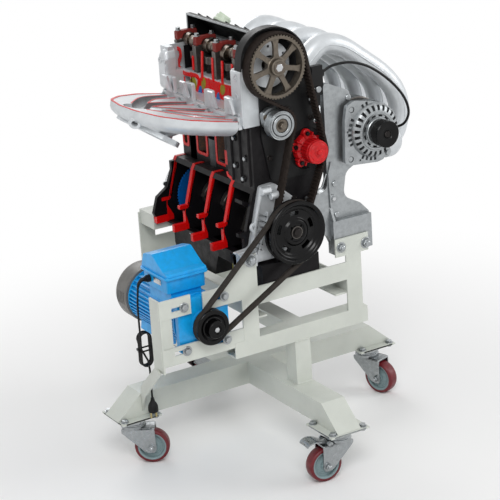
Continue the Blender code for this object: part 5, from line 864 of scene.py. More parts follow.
def make_caster_plate(where, x, y):
    shapes = [prism("Z", rounded(pane(x - 50, x + 50, y - 50, y + 50), 9), PLATE_LOW, PLATE_HIGH)]
    for i, k in CORNERS:
        shapes.append(hex_bolt((x + i * 39, y + k * 39, PLATE_HIGH - 0.1), UP, 13, 5, 9.5))
        shapes.append(hex_bolt((x + i * 39, y + k * 39, PLATE_LOW + 0.1), DOWN, 13, 5))
    piece("caster_plate_" + where, shapes, "zinc_plated_steel", bevel=0.6)


def make_caster_fork(where, turn):
    leg = rounded(LEG, [3, 10, 12, 8, 8, 8, 10, 3])
    parts = [prism("Y", leg, 17, 20), prism("Y", leg, -20, -17)]
    parts += [band(LEG[1:5], 3, 14.2, 17.5), band(LEG[1:5], 3, -17.5, -14.2)]
    parts.append(prism("Z", rounded(pane(-26, 49, -20, 20), [16, 4, 4, 16]), 84.6, 89))
    parts.append(turned("Z", 0, 0, [
        (0, 88), (27, 88), (28.5, 91), (28.5, 95), (26.5, 97), (26.5, 99), (29, 101), (29, 106), (27, 109),
        (30, 111), (31, 114), (30, 116.4), (0, 116.4)], 56))
    parts.append(rod("Y", TRAIL, AXLE_HEIGHT, 4.4, -24, 24, 24))
    for side in (-1, 1):
        parts.append(hex_bolt((TRAIL, side * 20, AXLE_HEIGHT), (0, side, 0), 13, 6, 9, True))
        if where == "front":
            low, high = sorted((side * 17, side * 20))
            parts.append(prism("Y", rounded([(24, 82), (36, 84), (40, 93), (34, 99), (24, 92)], 3), low, high))
            parts.append(hex_bolt((EAR[0], side * 20, EAR[1]), (0, side, 0), 8, 2.5))
    piece("caster_fork_" + where + "_pressed", moved(merged(*parts), turn), "zinc_plated_steel",
          "fork_" + where, "caster_fork_" + where, bevel=0.5)


def make_caster_wheel(where, turn):
    tyre = sizes()["tyre"]
    tread = turned("Y", TRAIL, AXLE_HEIGHT, mirrored(
        [(32.6, -13), (36.4, -13), (38.4, -12), (39.5, -9.5), (tyre, -4.5)]), 72)
    hub = turned("Y", TRAIL, AXLE_HEIGHT, mirrored(
        [(5.0, -15.4), (11, -15.4), (12, -14.4), (12, -8), (14.5, -6.6), (19, -5.4), (20, -6.6), (22, -6.6),
         (23, -5.4), (26.5, -5.8), (28.5, -11.4), (30.5, -12.4), (32.7, -12.4)]), 72)
    caps = [turned("Y", TRAIL, AXLE_HEIGHT, pane(5.0, 10.4, side * 14.6, side * 16.2), 40) for side in (-1, 1)]
    body = "wheel_" + where
    piece("caster_tread_" + where, moved(tread, turn), "polyurethane_tread", body, "caster_tyre_" + where, sharp=50)
    piece("caster_wheel_" + where, moved(hub, turn), "polyamide_hub", body, "caster_hub_" + where, sharp=30)
    piece("caster_bearing_" + where, moved(merged(*caps), turn), "zinc_plated_steel", body)


def make_pedal(turn):
    path = smooth_path([(x, 0, z) for x, z, half in PEDAL], 22)
    halves = np.interp(np.linspace(0, 1, 22), np.linspace(0, 1, len(PEDAL)), [half for x, z, half in PEDAL])
    rings = []
    for p, half in zip(path, halves):
        crown = 1.2 if p.x > 52 else 0.4
        top = [(p.x, half * k / 4, p.z + 1.3 + crown * (1 - (k / 4) ** 2)) for k in range(-4, 5)]
        rings.append(top + [(a, b, c - 2.6) for a, b, c in reversed(top)])
    ribs = [tube([(x, -half, z), (x, half, z)], 1.0, 10)
            for x, z, half in ((62, 104.6, 15), (68, 105.4, 16), (74, 105.0, 16), (80, 103.4, 16))]
    shapes = merged(skin(rings), rod("Y", *EAR, 3.8, -16.4, 16.4, 24), *ribs)
    piece("brake_pedal_pressed", moved(shapes, turn), "zinc_plated_steel", "pedal", "brake_pedal", sharp=40)


MOTOR_RADIUS = 61.5
CORE_RADIUS = 56.0
FIN_PITCH = 8.6


class ENGINE_OT_motor(bpy.types.Operator):
    """Makes the electric motor: finned body, flange, terminal box and fan cover"""
    bl_idname = "engine.motor"
    bl_label = "Motor"

    def execute(self, context):
        make_motor_body(*MOTOR)
        make_fan_cover(*MOTOR)
        make_terminal_box()
        return {"FINISHED"}


def motor_section(x, z, y, half, power):
    """A ring between a square of round corners and a circle, as the power falls from 8 to 2."""
    ring = []
    for turn in turns(72):
        c, s = cos(turn), sin(turn)
        reach = half / (abs(c) ** power + abs(s) ** power) ** (1 / power)
        ring.append((x + reach * c, y, z + reach * s))
    return ring


def make_motor_body(x, z):
    back = corners("motor_body")[1].y
    stations = [(-37, 58, 8), (-33, 57, 6), (-27, 55, 4), (-20, CORE_RADIUS, 2.6), (-12, CORE_RADIUS, 2.1),
                (back - 1, CORE_RADIUS, 2.0), (back, CORE_RADIUS - 1, 2.0)]
    parts = [skin([motor_section(x, z, *station) for station in stations])]
    parts.append(prism("Y", rounded(pane(x - 62, x + 62, z - 62, z + 62), 17, 8), -49.5, -36.2))
    parts.append(turned("Y", x, z, [(0, -53.4), (20, -53.4), (24, -52), (30, -52), (30, -49), (0, -49)], 56))
    for height in (i * FIN_PITCH for i in range(-6, 7)):
        outer = sqrt(MOTOR_RADIUS ** 2 - height ** 2)
        for side in (-1, 1):
            fin = [(0, height - 2.3), (side * outer, height - 1.5), (side * outer, height + 1.5), (0, height + 2.3)]
            parts.append(prism("Y", [(x + a, z + b) for a, b in fin], -24, back - 3))
    for start, end in ((back - 3, back), (-27, -22)):
        parts.append(rod("Y", x, z, MOTOR_RADIUS, start, end, 72))
    for i, k in CORNERS:
        a, b = x + i * 50, z + k * 50
        parts.append(turned("Y", a, b, [(0, -36.4), (9, -36.4), (9, -30), (6, -27), (0, -27)], 24))
        parts.append(hex_bolt((a, -27, b), BACK, 11, 6))
    parts.append(box(x - 50, x + 25, -4, 92, z + 30, 445.8))
    for side in (x - 42, x + 42):
        foot = [(side - 9, z - 62), (side + 9, z - 62), (side + 6, z - 40), (side - 6, z - 40)]
        parts.append(prism("Y", rounded(foot, 2), 20, 150))
    piece("motor_housing", parts, "motor_enamel", "stand", "motor_body", bevel=0.5)


def make_fan_cover(x, z):
    low, high = corners("motor_fan_cover")
    r, start, end = 67.0, low.y, high.y
    shell = turned("Y", x, z, [
        (59, start), (r - 0.4, start), (r - 0.4, end - 14), (r - 2.5, end - 7), (r - 8, end - 1.8), (r - 14, end),
        (0, end), (0, end - 2), (r - 14, end - 2), (r - 9.4, end - 3.6), (r - 4.5, end - 8), (r - 2.4, end - 14),
        (r - 2.4, start + 1), (59, start + 1)], 72)
    holes = [rod("Y", a, b, 3.2, end - 4, end + 2, 10)
             for ring, count in ((12, 6), (22, 12), (32, 18), (42, 24)) for a, b in circle(x, z, ring, count)]
    for side in (x - r - 4, x + r + 4):
        for y in (start + 12 + i * 7 for i in range(5)):
            holes.append(box(side - 12, side + 12, y, y + 2.6, z - 14, z + 14))
    cut(shell, *holes)
    screws = [hex_bolt((x + (r - 1.2) * c, start + 6, z + (r - 1.2) * s), (c, 0, s), 6, 1.6)
              for c, s in ((0.7, 0.7), (-0.7, 0.7), (-0.7, -0.7), (0.7, -0.7))]
    piece("motor_fan_cowl", [shell, *screws], "painted_sheet_steel", "stand", "motor_fan_cover")


def make_terminal_box():
    low, high = corners("terminal_box")
    x0, x1, y0, y1 = low.x + 6, high.x - 6, low.y + 6, high.y - 6
    rim = 478.0
    base = prism("Z", rounded(pane(x0, x1, y0, y1), 8, 6), low.z, rim + 1)
    lip = prism("Z", rounded(pane(low.x, high.x, low.y, high.y), 11, 6), rim, rim + 6)
    profile = [(y0 - 3, rim + 5), (y1 + 3, rim + 5), (88, rim + 38), (50, high.z), (4, rim + 17), (y0 - 3, rim + 13)]
    lid = prism("X", rounded(profile, [0, 2, 7, 14, 16, 5], 6), x0 - 2, x1 + 2)
    screw = [(0, rim + 5), (5.5, rim + 5), (5.5, rim + 9), (4.2, rim + 10), (0, rim + 10)]
    screws = [turned("Z", a, b, screw, 24) for b in (low.y + 9, high.y - 9) for a in (low.x + 9, high.x - 9)]
    piece("terminal_housing", [base, lip], "motor_enamel", "stand", "terminal_box", bevel=1.2)
    piece("terminal_lid", [lid, *screws], "motor_enamel", bevel=2.6)
    # The small bare plate that such a motor has on its side
    plate = rounded(pane(18, 50, 460, 472), 1)
    piece("terminal_plate", prism("X", plate, x0 - 0.9, x0 + 0.2), "machined_steel")


# Line of a bulkhead's sawn edge, (x, z), from the deck side down to the pan rail
SAWN_EDGE = ((-36, 636.2), (-60, 636.2), (-66, 626.2), (-88, 546))
TICK = (-108.6, -88, 537.6, 546.4)
SAWN_LOW = ((-95, 532), (-95, 504))
FOOT = (-126.5, -94.6, 487.6, 504.5)
CUT_X = -35.0
SLEEVE, JACKET_LOW, JACKET_END = 43.5, 657.0, 321.0
# The closed face over the second cylinder, (y, z)
COVER = (88.2, 131.0, 636.2, 745.0)


class ENGINE_OT_block(bpy.types.Operator):
    """Gives the block its enamel, the red sawn faces, the rusted jackets, bolts and the oil pan and filter"""
    bl_idname = "engine.block"
    bl_label = "Cylinder block"

    def execute(self, context):
        dress("cylinder_block", "enamelled_cast_iron", 1.0)
        dress("oil_pan", "enamelled_cast_iron", 3.0)
        make_sawn_edges()
        make_jackets()
        make_windowed_wall()
        make_wall_details()
        make_pan_bolts()
        make_filter()
        return {"FINISHED"}


def make_sawn_edges():
    """Red ribbons that follow the sawn edges of the four open bulkheads, wider at the last."""
    parts = []
    half = 5.2
    for y in BULKHEAD_YS[1:]:
        last = y == BULKHEAD_YS[-1]
        low, high, front = y - half, y + half, y - half + 0.1
        parts.append(band(SAWN_EDGE, 1.6, low, high))
        parts.append(prism("Y", rounded(pane(*TICK), 2), low, high))
        parts.append(band([(TICK[1] - 6, TICK[2]), *SAWN_LOW], 2.2, low, high))
        parts.append(prism("Y", pane(*FOOT), low - (3 if last else 0), high))
        # The sawn face turns a little way on to each bulkhead's front
        edge = [*SAWN_EDGE[1:], (TICK[1], TICK[3])]
        parts.append(band([(x + 3.0, z) for x, z in edge], 6.5, front - 0.9, front + 0.2))
        flare = -80 if last else -88
        foot = [(-96, 530), (flare, 500), (flare, 489), (-126, 489), (-126, 504), (-96, 504)]
        parts.append(prism("Y", foot, front - 0.9, front + 0.2))
    piece("sawn_faces", parts, "brush_enamel_red", bevel=0.3)


def make_jackets():
    """Red U-shaped sawn walls round each water jacket, with rust behind them."""
    walls, rust = [], []
    half = sqrt(SLEEVE ** 2 - CUT_X ** 2)
    for i, (low_cylinder, high_cylinder) in enumerate(zip(CYLINDER_YS[1:], [*CYLINDER_YS[2:], None])):
        y0 = low_cylinder + half - 1.5
        y1 = high_cylinder - half + 1.5 if high_cylinder else JACKET_END
        floor = JACKET_LOW - 4 + 6 * i
        outer = rounded(pane(y0 - 7.5, y1 + 7.5, floor - 7, 790), [9, 9, 0, 0])
        inner = rounded(pane(y0, y1, floor, 795), [6, 6, 0, 0])
        sheet = cut(prism("X", outer, CUT_X - 1.1, CUT_X + 0.4), prism("X", inner, CUT_X - 3, CUT_X + 3))
        walls.append(cut(sheet, box(CUT_X - 5, CUT_X + 5, y0 - 20, y1 + 20, 762.6, 800)))
        rust.append(prism("Z", rust_lining(low_cylinder, high_cylinder), floor, 750))
    piece("sawn_walls", walls, "brush_enamel_red", bevel=0.4)
    piece("rusted_jackets", rust, "rusted_jacket")


def rust_lining(low_cylinder, high_cylinder):
    """Plan of the crust on the sleeves' outsides and the jacket's back."""
    steps = (-34.6, -31, -27.5, -24, -22)
    def side(radius):
        low = [(x, low_cylinder + sqrt(radius ** 2 - x ** 2)) for x in steps]
        if high_cylinder:
            return low, [(x, high_cylinder - sqrt(radius ** 2 - x ** 2)) for x in steps]
        return low, [(x, JACKET_END - radius + SLEEVE) for x in steps]
    (near, far), (near_in, far_in) = side(SLEEVE + 0.3), side(SLEEVE + 1.5)
    return near + far[::-1] + far_in[:-1] + near_in[:-1][::-1]


def make_windowed_wall():
    """The second cylinder is only windowed: a black wall with red edges and a slot."""
    y0, y1, z0, z1 = COVER
    x = CUT_X - 5.4
    wall = box(x, x + 2.0, y0, y1, z0, z1)
    cut(wall, prism("X", rounded(pane(103, 123, 691, 727), 5), x - 3, x + 6))
    piece("windowed_wall", wall, "enamelled_cast_iron", bevel=0.5)
    red = [
        prism("X", rounded(pane(y0, y1, 729, z1), 1.5), x - 0.9, x + 0.2),
        prism("X", pane(y0, 96.5, 650, 730), x - 0.9, x + 0.2),
        prism("X", rounded(pane(94, y1, 656, 689), 2), x - 0.9, x + 0.2),
        band([(y0 + 4, 652), (y0 + 1, 644), (74, 640), (66, 628)], 7, -61.0, -59.9, "X"),
    ]
    piece("windowed_wall_faces", red, "brush_enamel_red", bevel=0.3)


def make_wall_details():
    """Bolts, bosses and ribs on the uncut front part of the block's side, its right side and its rear."""
    spots = ((50, 738), (50, 676), (8, 700), (20, 652))
    parts = [turned("X", y, z, [(0, -60), (8, -60), (7, -62.5), (0, -62.5)], 28) for y, z in spots]
    for y in (-6, 30, 66):
        parts.append(prism("Z", [(-60, y - 3), (-63.5, y - 1.5), (-63.5, y + 1.5), (-60, y + 3)], 640, 770))
    parts.append(prism("Y", rounded([(-61, 600), (-84, 612), (-84, 603), (-64, 588)], 2), -4, 26))
    plug = [(17, 60), (17, 63.5), (14, 63.5), (12.5, 61.2), (0, 61.2), (0, 60)]
    parts += [turned("X", y, 700, plug, 40) for y in CYLINDER_YS]
    rib = rounded([(60, 655), (95, 622), (98.5, 622), (98.5, 500), (95, 500), (64, 660)], 1.5)
    parts += [prism("Y", rib, max(y - 4, -19), y + 4) for y in BULKHEAD_YS]
    for z in (560, 598):
        rail = [(94.5, z - 3), (98.4, z - 1.5), (98.4, z + 1.5), (94.5, z + 3)]
        parts.append(prism("Y", rounded(rail, 0.5), -18, 326))
    parts.append(prism("Y", rounded([(60, 655), (112, 656), (104, 636), (96, 621), (60, 648)], 2), -20.3, 20))
    piece("block_details", parts, "enamelled_cast_iron", bevel=0.6)
    bolts = [hex_bolt((-62.4, y, z), LEFT, 9, 4) for y, z in spots]
    for turn in (radians(degrees) for degrees in range(15, 175, 22)):
        x, z = 107 * cos(turn), 524 + 92 * sin(turn)
        if 500 < z < 620:
            bolts.append(hex_bolt((x, REAR + 0.1, z), BACK, 10, 4))
    piece("block_bolts", bolts, "zinc_plated_steel")
    mark = [(0, -62), (6, -62), (6.6, -61), (6.6, -54), (0, -54)]
    marks = [turned("X", y, z, [(r, along - shift) for r, along in mark], 24)
             for y, z, shift in ((243, 618, 0), (252, 528, 18), (78, 531, 18))]
    piece("marked_bits", marks, "marking_enamel")


def make_pan_bolts():
    low, high = corners("oil_pan")
    heads = [hex_bolt((78.2, 250, 412), RIGHT, 15, 6, 10)]
    for y in np.linspace(low.y + 14, high.y - 14, 8):
        heads += [hex_bolt((side * (high.x - 6), y, 482.8), DOWN, 9, 4) for side in (-1, 1)]
    piece("pan_bolts", heads, "zinc_plated_steel")


def make_filter():
    low, high = corners("oil_filter")
    x, y = (low.x + high.x) / 2, (low.y + high.y) / 2
    can = turned("Z", x, y, [
        (0, low.z), (12, low.z), (18, low.z + 1.5), (22.5, low.z + 6), (23.6, low.z + 10), (24, high.z - 4),
        (24, high.z - 1.5), (22, high.z), (0, high.z)], 64)
    flutes = []
    for t in turns(15):
        ridge = [around(x, y, 22.4, t - 0.07), around(x, y, 24.0, t), around(x, y, 22.4, t + 0.07)]
        flutes.append(prism("Z", ridge, low.z + 9, low.z + 19))
    piece("filter_can", [can, *flutes], "olive_enamel", replaces="oil_filter")


class ENGINE_OT_crank_train(bpy.types.Operator):
    """Makes the crankshaft, the flywheel, the rods and the pistons"""
    bl_idname = "engine.crank_train"
    bl_label = "Crankshaft, rods and pistons"

    def execute(self, context):
        size = sizes()
        make_crank(size)
        make_flywheel(size)
        for i in range(4):
            make_rod_and_piston(size, i)
        return {"FINISHED"}


def make_crank(size):
    dress("crankshaft", "forged_steel", 1.2)
    z = size["crank_height"]
    # A toothed timing ring, painted blue, on the last web
    tips = [Vector(around(0, z, 70.6 if i % 2 else 67.6, turn)) for i, turn in enumerate(turns(120))]
    teeth = [tuple(a.lerp(b, share)) for a, b in zip(tips, tips[1:] + tips[:1]) for share in (0.2, 0.8)]
    ring = cut(prism("Y", teeth, 306, 313), rod("Y", 0, z, 49, 300, 320, 64))
    piece("timing_ring", ring, "marking_enamel", "crank")
    # Counterweights, round on the outside
    weights = []
    for y, up in zip(CYLINDER_YS, PISTON_UP):
        way = -1 if up else 1
        arc = [around(0, z, 57.5, radians(way * 90 + (k - 12) / 12 * 62)) for k in range(25)]
        arc += [(24 * way, z + way * 6), (-24 * way, z + way * 6)]
        weights += [prism("Y", arc, y - 36.1, y - 20.9), prism("Y", arc, y + 20.9, y + 36.1)]
    piece("counterweights", weights, "forged_steel", "crank", bevel=1.5)


def make_flywheel(size):
    low, high = corners("flywheel")
    z, r = size["crank_height"], (high.x - low.x) / 2
    front, back = low.y, high.y
    wheel = turned("Y", 0, z, [
        (0, front), (36, front), (38, front + 1.5), (r - 14, front + 1.5), (r - 12, front), (r - 3, front),
        (r - 3, back - 2), (r - 5, back), (52, back), (50, back - 7), (30, back - 7), (28, back - 3), (14, back - 3),
        (12, back - 8), (0, back - 8)], 96)
    teeth = [around(0, z, radius, turn + ahead) for turn in turns(110)
             for ahead, radius in ((-0.013, r - 3), (-0.008, r), (0.008, r), (0.013, r - 3))]
    gear = cut(prism("Y", teeth, front + 2, front + 11), rod("Y", 0, z, r - 5, front, back, 72))
    bolts = [hex_bolt((a, back - 3.1, b), BACK, 10, 4) for a, b in circle(0, z, 22, 6)]
    piece("flywheel_disc", [wheel, gear], "machined_steel", "crank", "flywheel", bevel=0.3)
    piece("flywheel_bolts", bolts, "black_oxide_steel", "crank")


def make_rod_and_piston(size, i):
    y = CYLINDER_YS[i]
    pin = size["crank_height"] + size["throw"] * (1 if PISTON_UP[i] else -1)
    number = str(i + 1)
    dress("connecting_rod_" + number, "forged_steel", 1.0)
    dress("piston_" + number, "turned_piston_alloy", 0.6)
    # Cap bolts at the big end, and the crown's ring lands
    bolts = []
    for x in (-24.5, 24.5):
        bolts.append(hex_bolt((x, y, pin - 3), DOWN, 9, 6))
        nut = [(0, pin - 4), (5.4, pin - 4), (5.4, pin + 9), (4, pin + 11), (0, pin + 11)]
        bolts.append(turned("Z", x, y, nut, 20))
    piece("rod_bolts_" + number, bolts, "machined_steel", "rod_" + number)
    crown = pin + size["rod_length"] + 43
    r = size["bore"] - 0.32
    profile = [(r - 3, crown - 0.2), (r - 0.4, crown - 0.2), (r, crown - 0.8), (r, crown - 3.4)]
    for level in (crown - 4, crown - 9.5, crown - 15):
        profile += [(r - 1.6, level), (r - 1.6, level - 2.2), (r, level - 2.2), (r, level - 5)]
    profile = profile[:-1] + [(r, crown - 20), (r - 3, crown - 20)]
    piece("piston_lands_" + number, turned("Z", 0, y, profile, 72), "turned_piston_alloy", "piston_" + number)


# Marks on the head's sawn face, as (middle y, middle z, half width, half height, finish)
PORTS = ((258, 810, 17, 22, "olive_enamel"), (207, 826, 9, 14, "olive_enamel"), (124, 828, 10, 13, "olive_enamel"),
         (225, 806, 8, 12, "marking_enamel"), (145, 806, 8, 12, "marking_enamel"),
         (320, 839, 7, 16, "coolant_enamel"))
SAWN_HEAD = ((328, 889), (320, 888), (306, 886), (304, 872), (316, 852), (306, 839), (286, 834), (243, 838),
             (228, 832), (233, 812), (252, 786))
HEAD_BARS = (((203, 900), (212, 832)), ((246, 882), (248, 850)), ((118, 893), (123, 838)), ((160, 893), (163, 838)),
             ((76, 893), (80, 838)))
FACE_X = -38.0


class ENGINE_OT_head(bpy.types.Operator):
    """Makes the head's sawn faces, ports, end castings and bolts"""
    bl_idname = "engine.head"
    bl_label = "Cylinder head"

    def execute(self, context):
        dress("cylinder_head", "silver_painted_casting", 1.2)
        make_sawn_head()
        make_head_castings()
        # A black sheet over the gallery's far wall: painted shade in the deep recess behind the valve gear
        gallery = [box(17.2, 18.6, 8, 318, 845.5, 899.5), box(-36, 17, 290.6, 291.8, 846, 898)]
        piece("gallery_wall", gallery, "enamelled_cast_iron")
        # Dark steel sleeves over the camshaft's pillars: painted shade, so that they don't shine like the painted
        # skin
        pillars = []
        for i in range(4):
            low, high = corners("cam_cap_" + str(i + 1))
            pillars.append(box(FACE_X - 0.8, 14, low.y - 0.7, min(high.y + 0.7, 329), 845.4, low.z - 0.2))
        piece("cam_pillars", pillars, "forged_steel", bevel=0.6)
        return {"FINISHED"}


def make_sawn_head():
    x = FACE_X
    for i, (y, z, wide, tall, paint) in enumerate(PORTS):
        ring = [(y + wide * cos(t) - 0.25 * tall * sin(t), z + tall * sin(t)) for t in turns(40)]
        piece("port_" + str(i + 1), prism("X", ring, x - 1.6, x + 0.2), paint, bevel=0.8)
    red = [band(smooth_line(SAWN_HEAD, 40), 9, x - 2.2, x + 0.2, "X")]
    red.append(prism("X", rounded([(66, 803), (238, 803), (226, 832), (216, 841), (66, 841)], 2), x - 0.7, x + 0.2))
    rear = [(291, 803), (328.6, 803), (328.6, 870), (326, 870), (322, 830), (291, 826)]
    red.append(prism("X", rear, x - 0.7, x + 0.2))
    red += [band(line, 7, x - 2.6, x + 0.2, "X") for line in HEAD_BARS]
    red += [band(((y, 842), (y - 4, 806)), 6, x - 1.6, x + 0.2, "X") for y in (98, 140, 184, 262)]
    red.append(band(((66, 842), (120, 838), (200, 838)), 5, x - 1.4, x + 0.2, "X"))
    piece("sawn_head_faces", red, "brush_enamel_red", bevel=0.5)


def make_head_castings():
    """Silver end castings, the flange bolts, core plugs and ribs on the head's outside."""
    left, right = -75.0, 70.0
    bulge = [(292, 801), (329, 801), (329, 862), (323, 886), (306, 897), (296, 893), (291, 874), (296, 846)]
    flat = [Vector(p) for p in rounded(bulge, [2, 4, 20, 14, 12, 10, 14, 20], 6)]
    centre = Vector((311, 850))
    levels = ((-58, 1.0), (-74, 1.0), (-79, 0.97), (-83, 0.9), (-85, 0.8))
    parts = [skin([[(x, *(centre + (p - centre) * share)) for p in flat] for x, share in levels])]
    eye = [(7, left - 6), (7, left - 11), (3.5, left - 11), (3, left - 9), (3, left - 6)]
    parts += [turned("X", y, 868, eye, 28) for y in (300, 318)]
    front = [(-60, 778), (left - 3.4, 780), (left - 3.4, 898), (-60, 899)]
    parts.append(prism("Y", rounded(front, [0, 4, 6, 0]), -20, 19.5))
    boss = [(8, left), (8, left - 4.6), (4, left - 4.6), (4, left - 2), (0, left - 2), (0, left)]
    parts += [turned("X", 0, z, boss, 32) for z in (800, 842, 884)]
    for y in (70, 155, 240, 318):
        rib = [(right, y - 4), (right + 2.4, y - 2), (right + 2.4, y + 2), (right, y + 4)]
        parts.append(prism("Z", rib, 780, 824))
    plug = [(10, right - 1), (10, right + 2), (8, right + 2), (7, right + 0.6), (0, right + 0.6), (0, right - 1)]
    parts += [turned("X", y, 800, plug, 32) for y in (30, 112, 197, 282)]
    piece("head_castings", parts, "silver_painted_casting", bevel=0.8)
    bolts = [hex_bolt((50, y, 845.2), UP, 12, 8, 10) for y in (34, 76, 118, 160, 203, 246, 288, 316)]
    bolts += [hex_bolt((-24, y, 845.2), UP, 12, 7, 9) for y in (70, 155, 240)]
    bolts.append(hex_bolt((left - 4.5, 26, 766), LEFT, 10, 5, 8))
    piece("head_bolts", bolts, "zinc_plated_steel")


# The way each lobe points, in degrees, front to back
LOBE_ANGLES = (0, 110, 90, 200, -90, 20, 180, 290)
LOBE_SPREAD, LOBE_WIDTH = 19.0, 15.0


class ENGINE_OT_valve_gear(bpy.types.Operator):
    """Makes the camshaft, its bearing caps, the tappets and the valve springs"""
    bl_idname = "engine.valve_gear"
    bl_label = "Camshaft and valve gear"

    def execute(self, context):
        size = sizes()
        x, z = -size["cam_x"], size["cam_height"]
        make_camshaft(x, z)
        make_cam_caps(x, z)
        make_tappets(x)
        return {"FINISHED"}


def lobe_outline(x, z, degrees):
    return [around(x, z, 16 + 6.9 * max(0.0, cos(turn)) ** 3, turn + radians(degrees)) for turn in turns(64)]


def make_camshaft(x, z):
    low, high = corners("camshaft")
    parts = [rod("Y", x, z, 12.6, low.y, high.y, 48)]
    lobes = [y + side * LOBE_SPREAD for y in CYLINDER_YS for side in (-1, 1)]
    for y, degrees in zip(lobes, LOBE_ANGLES):
        parts.append(prism("Y", lobe_outline(x, z, degrees), y - LOBE_WIDTH / 2, y + LOBE_WIDTH / 2))
    parts += [turned("Y", x, z, pane(0, 13.6, y - 4, y + 4), 48) for y in CYLINDER_YS]
    piece("camshaft_ground", parts, "ground_cam_steel", "cam", "camshaft", bevel=0.7)


def make_cam_caps(x, z):
    bolts = []
    for node in ("cam_cap_1", "cam_cap_2", "cam_cap_3", "cam_cap_4"):
        low, high = corners(node)
        y, foot, top = (low.y + high.y) / 2, low.z, 926.0
        left, right = x - (high.x - low.x) / 2, x + (high.x - low.x) / 2
        arch = [around(x, z, 13.4, pi - pi * k / 20) for k in range(21)]
        shoulders = [(right, foot + 4), (right, foot + 18.6), (x + 15, top), (x - 15, top),
                     (left, foot + 18.6), (left, foot + 4)]
        outline = [(left, foot), *[p for p in arch if p[1] > foot], (right, foot),
                   *rounded(shoulders, [0, 2.5, 5, 5, 2.5, 0])]
        shapes = [prism("Y", outline, low.y, high.y)]
        for side in (x - 19.5, x + 19.5):
            pad = [(0, foot + 8), (7, foot + 8), (6.8, foot + 20.4), (0, foot + 20.4)]
            shapes.append(turned("Z", side, y, pad, 28))
            bolts.append(hex_bolt((side, y, foot + 20.3), UP, 10, 5.5, 7))
        piece(node + "_cast", shapes, "brick_primer", "stand", node, bevel=0.8)
    piece("cap_bolts", bolts, "zinc_plated_steel")


def make_tappets(x):
    cup = [(0, 882.4), (13.6, 882.4), (14.8, 881.2), (14.8, 866), (13.4, 866), (13.4, 878), (0, 878)]
    # Each seat washer carries a dark core up inside its spring: painted shade between the coils
    seat = [(0, 845), (13.2, 845), (13.2, 846.8), (10.9, 847), (10.9, 866), (0, 866)]
    cups, springs, seats = [], [], []
    for y in [y + side * LOBE_SPREAD for y in CYLINDER_YS for side in (-1, 1)]:
        coil = [(*around(x, y, 11.4, 8 * pi * k / 96), 846.6 + 18.6 * k / 96) for k in range(97)]
        cups.append(turned("Z", x, y, cup, 48))
        springs.append(tube(coil, 1.35, 8))
        seats.append(turned("Z", x, y, seat, 28))
    piece("tappets", cups, "forged_steel")
    piece("valve_springs", springs, "black_oxide_steel", sharp=80)
    piece("spring_seats", seats, "black_oxide_steel")


def belt_path(circles, degrees=5.0):
    """Closed line round circles of (x, z, radius, turn): turn is 1 for a wheel inside it, -1 for one outside."""
    count = len(circles)
    arrivals, leaves = [0.0] * count, [0.0] * count
    for i, (x0, z0, r0, t0) in enumerate(circles):
        k = (i + 1) % count
        x1, z1, r1, t1 = circles[k]
        gap = Vector((x1 - x0, z1 - z0))
        base = atan2(gap.y, gap.x)
        normal = base - acos(max(-1.0, min(1.0, (t0 * r0 - t1 * r1) / gap.length)))
        leaves[i] = normal if t0 > 0 else normal + pi
        arrivals[k] = normal if t1 > 0 else normal + pi
    points = []
    for (x, z, radius, turn), start, end in zip(circles, arrivals, leaves):
        sweep = (end - start) * turn % (2 * pi) * turn
        pieces = max(2, int(abs(sweep) / radians(degrees)) + 1)
        for i in range(pieces + 1):
            angle = start + sweep * i / pieces
            points.append(Vector(around(x, z, radius, angle)))
    return points


def belt_frames(points, pitch):
    """Evenly spaced (place, outward direction) round a closed line."""
    closed = points + [points[0]]
    way = [0.0]
    for here, there in zip(closed, closed[1:]):
        way.append(way[-1] + (there - here).length)
    count = round(way[-1] / pitch)
    wanted = [way[-1] * i / count for i in range(count)]
    xs = np.interp(wanted, way, [p.x for p in closed])
    zs = np.interp(wanted, way, [p.y for p in closed])
    line = [Vector((x, z)) for x, z in zip(xs, zs)]
    frames = []
    for i, here in enumerate(line):
        along = (line[(i + 1) % count] - line[i - 1]).normalized()
        frames.append((here, Vector((along.y, -along.x))))
    return frames


def belt_ring(points, section):
    """A belt whose section is given as (outward, y)."""
    rings = [[(here.x + out.x * o, y, here.y + out.y * o) for o, y in section]
             for here, out in belt_frames(points, 3.0)]
    return skin(rings, closed=True)


def gear_outline(x, z, root, tip, count):
    """A wheel of blunt teeth."""
    step = 2 * pi / count
    return [around(x, z, radius, (i + share) * step) for i in range(count)
            for share, radius in ((0.0, root), (0.18, root), (0.32, tip), (0.68, tip), (0.82, root))]


def spoke(x, z, turn, side):
    """A shape that points out from x, z, given by (distance, half width) along one side."""
    c, s = cos(turn), sin(turn)
    ring = [(x + a * c - h * s, z + a * s + h * c) for a, h in side]
    return ring + [(x + a * c + h * s, z + a * s - h * c) for a, h in reversed(side)]


def arc_slot(x, z, inner, outer, middle_angle, half_angle):
    """A slot bent round a centre, in degrees."""
    bends = [radians(middle_angle + half_angle * k / 6) for k in range(-6, 7)]
    ring = [around(x, z, outer, t) for t in bends] + [around(x, z, inner, t) for t in reversed(bends)]
    return rounded(ring, [4 if k in (0, 12, 13, 25) else 0 for k in range(26)], 4)


BELT_CLEAR = 3.3
V_BELT_Y = -79.0


class ENGINE_OT_timing_drive(bpy.types.Operator):
    """Makes the toothed belt, the camshaft's sprocket, the tensioner and the water pump"""
    bl_idname = "engine.timing_drive"
    bl_label = "Timing drive"

    def execute(self, context):
        size = sizes()
        make_toothed_belt(size)
        make_cam_wheel(size)
        make_tensioner(size)
        make_pump(size)
        return {"FINISHED"}


